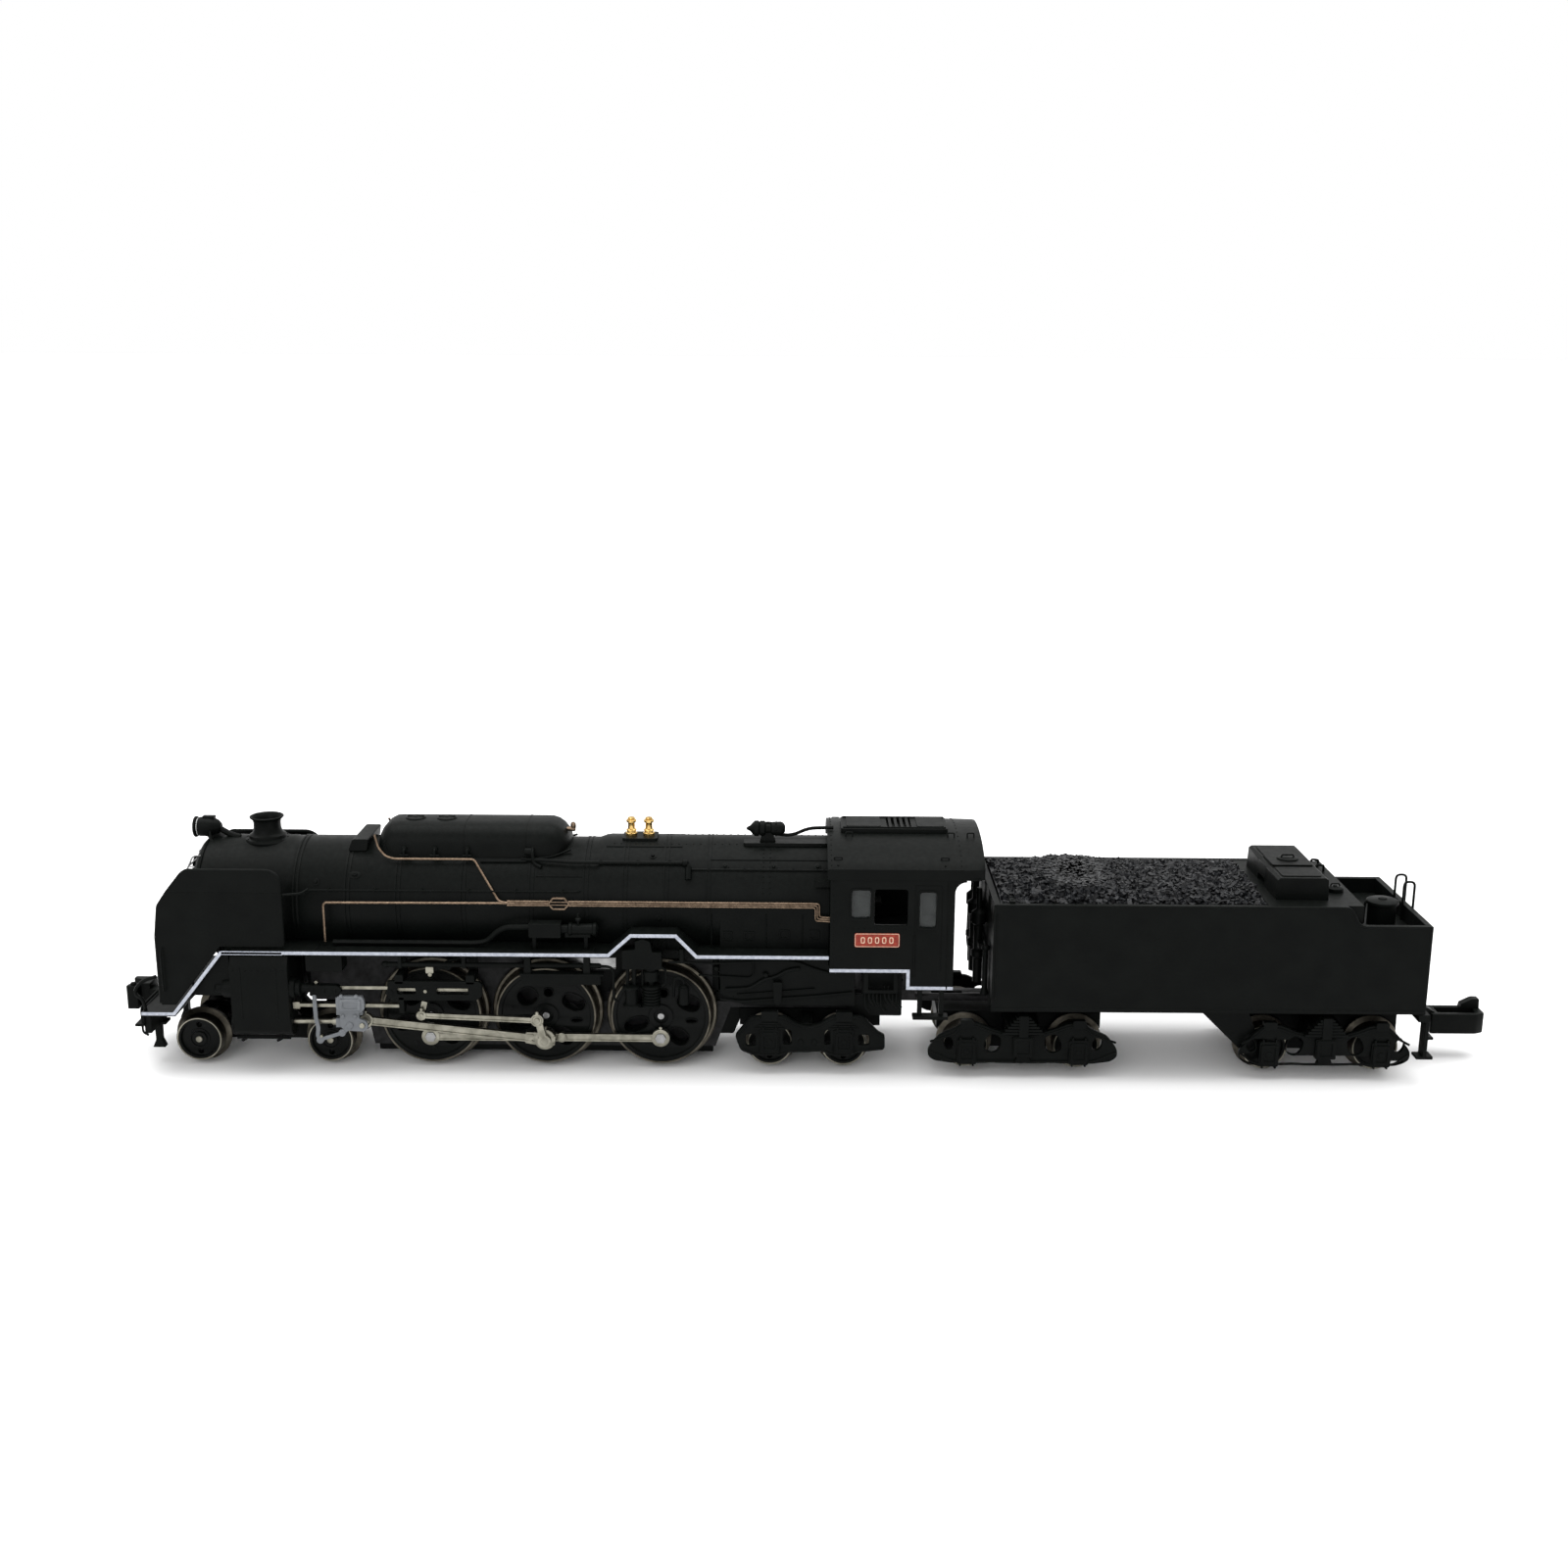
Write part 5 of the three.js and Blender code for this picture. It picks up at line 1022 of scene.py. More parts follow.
def front_deck():
    deck = Shape()
    under = [(-62.15, 14.3), (-67.4, 7.45), (-71.0, 7.45)]
    deck.prism([*DECK_LINE, *under], "y", -SIDE_Y, SIDE_Y)
    deck.box(-71.0, -70.3, -8.6, 8.6, 5.3, 7.6)
    # frame and pipe block under the slope, ahead of the cylinders
    deck.prism([(-65.9, 9.6), (-61.5, 9.6), (-61.5, 14.3), (-62.6, 14.3)], "y", -8.4, 8.4)
    # two steps up the slope
    for t in (0.3, 0.62):
        x = -67.6 + 5.45 * t
        z = 7.95 + 6.9 * t
        deck.box(x - 0.4, x + 0.35, -2.6, 2.6, z, z + 0.35)
    for sign in (-1, 1):
        deck.tube([(-66.9, sign * 4.4, 9.2), (-66.9, sign * 4.4, 10.2), (-63.8, sign * 4.4, 14.0),
                   (-63.0, sign * 4.4, 14.2)], 0.12, bend=0.3)
        deck.rivets((-71.02, sign * 8.2, 7.2), (-71.02, sign * 2.4, 7.2), (-1, 0, 0), 9, 0.1)
        deck.rivets((-71.02, sign * 8.2, 5.6), (-71.02, sign * 2.4, 5.6), (-1, 0, 0), 9, 0.1)
        # footsteps hung from the beam's ends
        deck.prism(pane(-71.9, -70.9, 6.2, 6.5, 0.1), "y", sign * 7.2, sign * 8.95)
        deck.box(-71.2, -70.9, sign * 8.0 - 0.8, sign * 8.0 + 0.8, 6.4, 7.7)
        # guard irons
        deck.prism(rounded([(-71.4, 6.0), (-70.6, 6.0), (-70.7, 3.1), (-70.3, 2.2), (-71.7, 2.2),
                            (-71.3, 3.1)], 0.1),
                   "y", sign * 4.1, sign * 4.9)
        deck.prism(pane(-72.1, -69.9, 5.0, 5.3, 0.08), "y", sign * 3.8, sign * 5.3)
        # air hoses with their cocks
        deck.tube([(-70.8, sign * 3.2, 7.0), (-71.9, sign * 3.2, 6.9), (-72.6, sign * 3.1, 6.1),
                   (-72.7, sign * 3.0, 4.7), (-72.2, sign * 2.9, 4.0)], 0.28, bend=0.6)
        deck.turned([(0.4, 3.75), (0.42, 4.1), (0.3, 4.2)], "z", (-72.2, sign * 2.9), 12)
    deck.finish("front_footplate", "black_plastic", "engine", ["front_deck"], bevel=0.05)
    rails = Shape()
    for sign in (-1, 1):
        rails.tube([(-70.7, sign * 8.6, 7.8), (-70.9, sign * 8.75, 9.3), (-71.6, sign * 8.7, 9.6),
                    (-71.7, sign * 8.6, 10.3),
                    (-70.9, sign * 8.5, 11.2), (-69.4, sign * 8.4, 11.7)], 0.2, bend=0.6)
        rails.tube([(-71.4, sign * 6.6, 4.3), (-72.0, sign * 6.6, 4.6), (-72.0, sign * 6.6, 7.4),
                    (-71.5, sign * 6.3, 8.0),
                    (-71.3, sign * 2.6, 8.2)], 0.13, bend=0.4)
    rails.tube([(-72.0, -6.6, 7.1), (-72.0, 6.6, 7.1)], 0.12)
    rails.finish("uncoupling_lever", "black_plastic", "engine", bevel=0)
    edge = Shape()
    for _, sign in SIDES:
        edge.prism(line_ribbon([(u, v - 0.02) for u, v in [*DECK_LINE, (-55.5, 14.85)]], 0.36), "y",
                   sign * (SIDE_Y - 0.12), sign * (SIDE_Y + 0.05))
    edge.finish("deck_white_edge", "white_line", "engine", bevel=0.04)


def front_coupler():
    low, _ = limits("front_deck")
    knuckle = Shape()
    x = low.x
    knuckle.prism(rounded([(x, -1.7), (x + 1.3, -1.7), (x + 1.3, -0.75), (x + 2.4, -0.75), (x + 2.4, 1.7),
                           (x, 1.7), (x, 0.9), (x + 1.0, 0.6), (x + 1.0, -0.6), (x, -0.9)], 0.2), "z", 5.4,
                  8.1)
    knuckle.turned([(0.3, 8.0), (0.34, 8.15), (0.34, 8.35), (0.2, 8.4)], "z", (x + 0.7, -1.2), 12)
    knuckle.box(x + 2.2, -70.8, -0.8, 0.8, 6.0, 7.4)
    knuckle.box(x + 3.6, -70.8, -1.6, 1.6, 5.4, 7.9)
    knuckle.finish("front_coupler", "black_plastic", "engine", bevel=0.08)


# ------------------------------------------------------------ cab
CAB_WINDOWS = ((4.76, 6.75, 19.0, 22.1), (7.15, 10.65, 18.2, 22.2), (11.9, 13.65, 18.0, 21.9))


def pane(x0, x1, z0, z1, bend=0.35):
    return rounded([(x0, z0), (x1, z0), (x1, z1), (x0, z1)], bend)


def cab_walls():
    cab = Shape()
    outline = [(CAB_X0, 13.0), (11.0, 13.0), (11.0, 11.1), (CAB_X1, 11.1), (CAB_X1, 23.8), (CAB_X0, 23.8)]
    windows = [pane(*window) for window in CAB_WINDOWS]
    for _, sign in SIDES:
        cab.plate(outline, windows, "y", sign * (SIDE_Y - WALL), sign * SIDE_Y)
        # raised frames round the two glazed windows and the rolled edge beside the doorway
        for x0, x1, z0, z1 in CAB_WINDOWS[::2]:
            cab.plate(pane(x0 - 0.22, x1 + 0.22, z0 - 0.22, z1 + 0.22, 0.45), [pane(x0, x1, z0, z1)], "y",
                      sign * (SIDE_Y - 0.05), sign * (SIDE_Y + 0.06), soft=0.02)
        cab.tube([(14.9, sign * SIDE_Y, 11.2), (14.9, sign * SIDE_Y, 23.3)], 0.09)
        cab.tube([(11.45, sign * SIDE_Y, 13.2), (11.45, sign * SIDE_Y, 22.6), (14.2, sign * SIDE_Y, 22.6),
                  (14.2, sign * SIDE_Y, 13.2)], 0.06, bend=0.1)
        bracket = [(CAB_X1 - 0.3, 21.6), *arc(CAB_X1 + 1.2, 21.8, 1.2, 180, 90, 6), (CAB_X1 + 1.2, 23.3),
                   (CAB_X1 - 0.3, 23.3)]
        cab.prism(bracket, "y", sign * (SIDE_Y - 0.4), sign * (SIDE_Y - 0.1))
        cab.rivets((CAB_X0 + 0.35, sign * SIDE_Y, 13.6), (CAB_X0 + 0.35, sign * SIDE_Y, 23.0), (0, sign, 0),
                   14, 0.07)
        cab.rivets((4.3, sign * SIDE_Y, 17.9), (10.9, sign * SIDE_Y, 17.9), (0, sign, 0), 12, 0.07)
        # handrails by the doorway
        cab.tube([(11.4, sign * SIDE_Y, 12.4), (11.4, sign * (SIDE_Y + 0.1), 12.6),
                  (11.4, sign * (SIDE_Y + 0.1), 17.0),
                  (11.4, sign * SIDE_Y, 17.2)], 0.09, bend=0.1)
        # doorway steps
        cab.prism(pane(11.4, 15.2, 7.7, 8.05, 0.1), "y", sign * 7.9, sign * 9.15)
        cab.prism(pane(11.9, 12.4, 8.0, 11.3, 0.1), "y", sign * 8.3, sign * 8.7)
        cab.prism(pane(14.2, 14.7, 8.0, 11.3, 0.1), "y", sign * 8.3, sign * 8.7)
    front = [(-SIDE_Y + 0.1, 13.0), (SIDE_Y - 0.1, 13.0), (SIDE_Y - 0.1, 23.9), (5.0, 25.5), (-5.0, 25.5),
             (-SIDE_Y + 0.1, 23.9)]
    panes = [pane(sign * 6.95, sign * 8.4, 20.2, 22.8, 0.25) for _, sign in SIDES]
    cab.plate(front, panes, "x", CAB_X0, CAB_X0 + WALL)
    cab.box(CAB_X0 + 0.2, CAB_X1 - 0.2, -SIDE_Y + 0.1, SIDE_Y - 0.1, 13.1, 13.7)
    cab.finish("cab_walls", "black_plastic", "engine", ["cab_shell"], bevel=0)


def backhead():
    """Inside of the cab: the boiler's rear plate with its fire door, gauges and pipes, and two seats."""
    inside = Shape()
    inside.turned([(5.4, CAB_X0 + 0.5), (5.4, 4.3), (5.0, 4.6)], "x", (0, 18.6), 48)
    inside.prism(pane(-2.0, 2.0, 14.0, 17.4, 0.6), "x", 4.4, 4.95)
    for y, z, radius in ((-2.8, 21.6, 0.7), (-0.9, 22.2, 0.55), (1.0, 22.2, 0.55), (2.9, 21.5, 0.7),
                         (0, 19.4, 0.5)):
        inside.turned([(radius, 4.5), (radius, 4.95), (radius * 0.8, 5.05)], "x", (y, z), 20)
    for y in (-3.6, -1.4, 1.4, 3.6):
        inside.tube([(4.5, y, 20.6), (5.1, y, 20.3), (5.1, y * 0.9, 18.0), (4.6, y * 0.8, 16.5)], 0.13)
    for _, sign in SIDES:
        inside.prism(pane(6.0, 8.6, sign * 5.6, sign * 8.2, 0.3), "z", 15.6, 16.2)
        inside.box(7.0, 7.6, sign * 6.9 - 0.3, sign * 6.9 + 0.3, 13.7, 15.7)
    inside.finish("cab_backhead", "black_plastic", "engine", bevel=0.05)


def cab_roof():
    eave = 9.3
    roof = Shape()
    rings = []
    for x, shrink in ((2.2, 0.0), (16.4, 0.0), (17.8, 0.015), (18.5, 0.03), (18.68, 0.05)):
        half = eave * (1 - shrink)
        rise = [(half * math.cos(math.radians(a)) / math.cos(math.radians(14)),
                 24.35 + 2.25 * (math.sin(math.radians(a)) - math.sin(math.radians(14)))
                 / (1 - math.sin(math.radians(14)))) for a in range(14, 167, 8)]
        lower = [(u * 0.985, v - 0.42) for u, v in reversed(rise)]
        rings.append([(x, u, v) for u, v in [(half, 23.25), *rise, (-half, 23.25), (-half + 0.3, 23.25),
                                             *lower,
                                             (half - 0.3, 23.25)]])
    roof.skin(rings)
    # gutter strips above the doorways
    for _, sign in SIDES:
        roof.tube([(2.3, sign * 9.25, 24.35), (16.4, sign * 9.25, 24.35)], 0.09)
        roof.tube([(2.4, sign * 9.2, 23.3), (18.3, sign * 9.2, 23.3)], 0.1)
        for x in (3.3, 14.5):
            roof.tube([(x - 0.4, sign * 8.2, 25.1), (x - 0.4, sign * 8.2, 25.4), (x + 0.4, sign * 8.2, 25.4),
                       (x + 0.4, sign * 8.2, 25.1)], 0.08, bend=0.1)
            roof.rivet((x, sign * 8.9, 24.75), (0, sign * 0.4, 1), 0.12)
    for x in (2.6, 16.2):
        for degrees in range(22, 159, 8):
            a = math.radians(degrees)
            y = eave * math.cos(a) / math.cos(math.radians(14))
            z = 24.35 + 2.25 * (math.sin(a) - math.sin(math.radians(14))) / (1 - math.sin(math.radians(14)))
            roof.rivet((x, y, z), (0, math.cos(a) * 0.4, 1), 0.08)
    roof.finish("cab_roof_sheet", "black_plastic", "engine", ["cab_roof"], bevel=0.03)
    hatch = Shape()
    hatch.plate(pane(3.7, 15.2, -2.6, 2.6, 0.4), [pane(8.7, 11.3, -2.1, 2.1, 0.2)], "z", 26.05, 27.0)
    hatch.prism(pane(4.3, 8.0, -2.0, 2.0, 0.3), "z", 26.9, 27.16)
    hatch.prism(pane(11.9, 14.8, -2.0, 2.0, 0.3), "z", 26.9, 27.16)
    for k in range(4):
        hatch.box(8.9 + k * 0.62, 9.2 + k * 0.62, -2.15, 2.15, 26.6, 27.05)
    for y in (-2.2, 2.2):
        hatch.tube([(3.9, y, 27.05), (15.0, y, 27.05)], 0.1)
    for x in (4.3, 15.2, 17.3):
        hatch.tube([(x - 0.1, -3.6, 26.35), (x - 0.1, -3.4, 26.8), (x + 0.6, -3.4, 26.8),
                    (x + 0.6, -3.6, 26.35)],
                   0.08, bend=0.1)
    hatch.finish("roof_ventilator", "black_plastic", "engine", bevel=0.05)


def cab_glass():
    glass = Shape()
    for _, sign in SIDES:
        for x0, x1, z0, z1 in CAB_WINDOWS[::2]:
            glass.box(x0 - 0.1, x1 + 0.1, min(sign * 8.62, sign * 8.9), max(sign * 8.62, sign * 8.9),
                      z0 - 0.1, z1 + 0.1)
        glass.box(CAB_X0 + 0.2, CAB_X0 + 0.4, min(sign * 6.9, sign * 8.45), max(sign * 6.9, sign * 8.45),
                  20.1, 22.9)
    glass.finish("cab_window_panes", "clear_plastic", "engine", ["cab_glazing"], bevel=0)
    bars = Shape()
    for _, sign in SIDES:
        bars.tube([(4.7, sign * 9.12, 18.75), (6.85, sign * 9.12, 18.75)], 0.08)
        bars.tube([(7.1, sign * 9.12, 17.95), (10.7, sign * 9.12, 17.95)], 0.1)
        bars.rivet((9.6, sign * 9.14, 22.7), (0, sign, 0), 0.12)
    bars.finish("cab_window_bars", "black_plastic", "engine", bevel=0.03)


def cab_white_edge():
    edge = Shape()
    for _, sign in SIDES:
        edge.prism(line_ribbon([(u, v + 0.38) for u, v in CAB_LINE], 0.36), "y",
                   sign * (SIDE_Y - 0.05), sign * (SIDE_Y + 0.05))
    edge.finish("cab_white_edge", "white_line", "engine", bevel=0.03)


def number_plate(side, sign):
    """Cast plate with a raised rim and plain raised bars where a number would stand."""
    low, high = limits(f"number_plate_{side}")
    y0 = sign * 9.19
    y1 = sign * 9.27
    plate = Shape()
    plate.prism(pane(low.x, high.x, low.z, high.z, 0.2), "y", y0, y1)
    plate.finish(f"plate_field_{side}", "red_plate", "engine", [f"number_plate_{side}"], bevel=0)
    marks = Shape()
    inset = 0.1
    outer = pane(low.x + 0.04, high.x - 0.04, low.z + 0.04, high.z - 0.04, 0.2)
    inner = pane(low.x + inset, high.x - inset, low.z + inset, high.z - inset, 0.15)
    marks.plate(outer, [inner], "y", y1 - sign * 0.02, y1 + sign * 0.03, soft=0.008)
    middle = (low.z + high.z) / 2
    step = (high.x - low.x - 1.0) / 5
    for k in range(5):
        x = low.x + 0.5 + step * (k + 0.5)
        marks.plate(oval(x, middle, step * 0.3, 0.36, 0, 16, 3.5),
                    [oval(x, middle, step * 0.3 - 0.1, 0.26, 0, 12, 3.0)],
                    "y", y1 - sign * 0.02, y1 + sign * 0.03, soft=0.008)
    marks.finish(f"plate_marks_{side}", "gilt", "engine", bevel=0)


# ------------------------------------------------------------ cylinders and motion
TURN = {"left": 0.0, "right": -math.pi / 2}


def crank_offset(side, dx, dz):
    """Offset from an axle, turned with the cranks of that side."""
    c = math.cos(TURN[side])
    s = math.sin(TURN[side])
    return dx * c - dz * s, dx * s + dz * c


def crank_pin(side, axle):
    dx, dz = crank_offset(side, 0, -CRANK)
    return DRIVER_X[axle] + dx, DRIVER_Z + dz


def return_pin(side):
    dx, dz = crank_offset(side, -0.63, 0.38)
    return DRIVER_X[1] + dx, DRIVER_Z + dz


def small_end(side):
    x, z = crank_pin(side, 1)
    return x - math.sqrt(19.45 ** 2 - (6.46 - z) ** 2), 6.46


def link_tail(side):
    x, z = return_pin(side)
    return x - math.sqrt(12.41 ** 2 - (7.5 - z) ** 2), 7.5


def strap(a, b, eye_a, eye_b, half):
    """Outline of a bar with a round eye at each end."""
    angle = math.degrees(math.atan2(b[1] - a[1], b[0] - a[0]))
    open_a = math.degrees(math.asin(half / eye_a))
    open_b = math.degrees(math.asin(half / eye_b))
    return [*arc(*a, eye_a, angle + open_a, angle + 360 - open_a, 20),
            *arc(*b, eye_b, angle + 180 + open_b, angle + 540 - open_b, 20)]


def fluted_rod(shape, a, b, eyes, half, inner, outer):
    """Rod whose outer face is milled out between two long ribs and two full eyes."""
    depth = 0.13 * math.copysign(1, outer)
    shape.prism(strap(a, b, *eyes, half), "y", inner, outer - depth)
    along = (Vector(b) - Vector(a)).normalized()
    across = Vector((-along.y, along.x))
    start = Vector(a) + along * eyes[0] * 0.85
    stop = Vector(b) - along * eyes[1] * 0.85
    for edge in (-1, 1):
        rim = [start + across * edge * half, stop + across * edge * half,
               stop + across * edge * (half - 0.16), start + across * edge * (half - 0.16)]
        shape.prism([tuple(p) for p in rim], "y", outer - depth * 1.5, outer)
    for place, eye in ((a, eyes[0]), (b, eyes[1])):
        shape.turned([(eye, outer - depth * 1.5), (eye, outer - depth * 0.3), (eye - 0.08, outer),
                      (0.55, outer), (0.5, outer - depth * 0.6)], "y", place, 28)
        shape.turned([(0.2, place[1] + eye - 0.15), (0.2, place[1] + eye + 0.22),
                      (0.12, place[1] + eye + 0.3)], "z",
                     (place[0], (inner + outer) / 2), 10)


def pin_head(shape, place, radius, inner, outer):
    """Turned pin end with a slot-sized step."""
    step = 0.05 * math.copysign(1, outer)
    shape.turned([(radius, inner), (radius, outer - step), (radius * 0.85, outer)], "y", place, 20)


def rear_frame():
    """Frame stretcher between the last drivers and the trailing truck."""
    stretcher = Shape()
    stretcher.prism(rounded([(-9.9, 3.5), (-7.9, 3.5), (-7.2, 5.2), (-7.2, 8.6), (-9.9, 8.6)], 0.2), "y",
                    -2.8, 2.8)
    for sign in (-1, 1):
        stretcher.box(-54.8, -9.5, *sorted((sign * 1.5, sign * 2.8)), 8.3, 12.95)
    stretcher.finish("frame_stretcher", "black_plastic", "engine")


def cylinders():
    block = Shape()
    for _, sign in SIDES:
        outline = [(sign * 3.4, 7.6), (sign * 6.3, 7.6), (sign * 6.35, 6.0),
                   *arc(sign * 7.75, 6.45, 1.42, 90 + sign * 110,
                   90 + sign * 250, 12)[::1], (sign * SIDE_Y, 7.2), (sign * SIDE_Y, 13.0),
                   (sign * 8.6, 14.25), (sign * 3.4, 14.25)]
        block.prism(outline, "x", -61.3, -55.1)
        for x in (-61.45, -55.2):
            block.turned([(1.45, x), (1.45, x + 0.2)], "x", (sign * 7.75, 6.45), 36)
            for k in range(10):
                a = math.tau * k / 10
                out = -1 if x < -58 else 1
                block.rivet((x + (0.0 if out < 0 else 0.2), sign * 7.75 + 1.2 * math.cos(a),
                             6.45 + 1.2 * math.sin(a)),
                            (out, 0, 0), 0.1)
        # valve chest with stepped covers, front and rear
        y = sign * 7.95
        block.turned([(0.55, -63.2), (0.7, -63.0), (0.7, -62.4), (1.05, -62.3), (1.15, -61.9), (1.15, -54.8),
                      (1.05, -54.6), (0.85, -54.5), (0.85, -54.1), (0.5, -53.9), (0.5, -52.8)], "x",
                     (y, 10.4), 28)
        block.prism([(sign * 6.6, 9.7), (sign * 9.15, 9.7), (sign * 9.15, 11.1), (sign * 6.6, 11.1)], "x",
                    -61.2, -55.2)
        # cladding seams and drain cocks
        for x in (-60.2, -56.4):
            block.prism([(sign * 9.0, 7.2), (sign * (SIDE_Y + 0.04), 7.2), (sign * (SIDE_Y + 0.04), 13.0),
                         (sign * 9.0, 13.0)], "x", x - 0.1, x + 0.1)
            block.tube([(x, sign * 7.8, 5.2), (x, sign * 7.9, 4.6), (x - 0.6, sign * 8.0, 4.3)], 0.16)
        block.tube([(-61.2, sign * 8.3, 4.75), (-55.4, sign * 8.3, 4.75)], 0.12)
        block.rivets((-60.9, sign * SIDE_Y, 12.7), (-55.6, sign * SIDE_Y, 12.7), (0, sign, 0), 9, 0.09)
    block.box(-61.4, -55.0, -3.6, 3.6, 7.6, 13.2)
    block.finish("cylinder_pair", "black_plastic", "engine", ["cylinder_block"], bevel=0.05)


def slide_bar(side, sign):
    bar = Shape()
    y0, y1 = sorted((sign * 7.65, sign * 8.35))
    bar.box(-54.95, -43.5, y0, y1, 8.32, 8.72)
    bar.box(-55.0, -54.2, y0 - 0.02, y1 + 0.02, 8.1, 8.9)
    bar.finish(f"guide_bar_{side}", "nickel", "engine", [f"slide_bar_{side}"], bevel=0.06)


def motion_bracket(side, sign):
    """Bracket that holds the expansion link, with its slots, arms and reversing gear."""
    y0, y1 = (sign * y for y in BRACKET_Y)
    bracket = Shape()
    outline = [(-44.6, 9.6), (-44.0, 9.35), (-35.2, 9.35), (-34.5, 9.9), (-34.5, 11.3), (-35.0, 11.5),
               (-44.6, 11.5)]
    slots = [pane(x0, x1, 10.0, 10.8, 0.3) for x0, x1 in ((-43.6, -41.6), (-39.4, -35.9))]
    bracket.plate(rounded(outline, 0.2), slots, "y", y0, y1, soft=0.06)
    for x in (-43.8, -36.2):
        bracket.prism(pane(x, x + 0.9, 11.2, 12.2, 0.15), "y", sign * 6.2, y1)
        bracket.box(x, x + 0.9, *sorted((sign * 6.2, sign * 6.8)), 11.6, 14.3)
    bracket.prism(pane(-43.45, -42.9, 7.9, 9.7, 0.1), "y", sign * 7.6, y1)
    bracket.prism(rounded([(-53.0, 9.7), (-50.0, 9.7), (-49.6, 10.1), (-49.6, 10.5), (-50.0, 10.9),
                           (-53.0, 10.9)], 0.15), "y",
                  sign * 7.9, sign * 8.7)
    for x in (-52.8, -51.6, -50.4):
        bracket.turned([(0.5, x), (0.5, x + 0.25)], "x", (sign * 8.3, 10.3), 16)
    bracket.turned([(0.62, sign * 8.3), (0.62, sign * 8.8), (0.5, sign * 8.88), (0.22, sign * 8.9)], "y",
                   LINK_PIVOT, 24)
    bracket.turned([(0.4, sign * 8.3), (0.4, sign * 8.9)], "y", (-44.4, 10.2), 16)
    # reversing shaft arm and its rod running back to the cab
    bracket.prism(rounded(strap((-38.3, 12.9), (-40.15, 12.4), 0.5, 0.38, 0.22), 0.05, 1), "y", sign * 7.3,
                  sign * 7.8)
    bracket.tube([(-38.3, sign * 7.5, 13.4), (-34.6, sign * 7.6, 14.2)], 0.22)
    bracket.finish(f"link_bracket_{side}", "black_plastic", "engine", [f"motion_bracket_{side}"], bevel=0.03)
    pin = Shape()
    pin.prism(pane(-40.6, -39.75, 12.15, 12.9, 0.15), "y", sign * 7.7, sign * 8.1)
    pin_head(pin, (-40.15, 12.0), 0.24, sign * 7.8, sign * 8.15)
    pin_head(pin, (-52.35, 11.1), 0.2, sign * 7.9, sign * 8.3)
    pin_head(pin, LINK_PIVOT, 0.2, sign * 8.7, sign * 8.95)
    # radius rod, seen ahead of the bracket and through its slots
    pin.prism([(-49.8, 10.38), (-44.3, 10.38), (-44.3, 10.74), (-49.8, 10.74)], "y", sign * 8.15, sign * 8.35)
    pin.prism([(-44.4, 10.2), (-36.1, 10.2), (-36.1, 10.55), (-44.4, 10.55)], "y", sign * 8.12, sign * 8.3)
    pin.finish(f"radius_rod_{side}", "nickel", "engine", bevel=0.02)


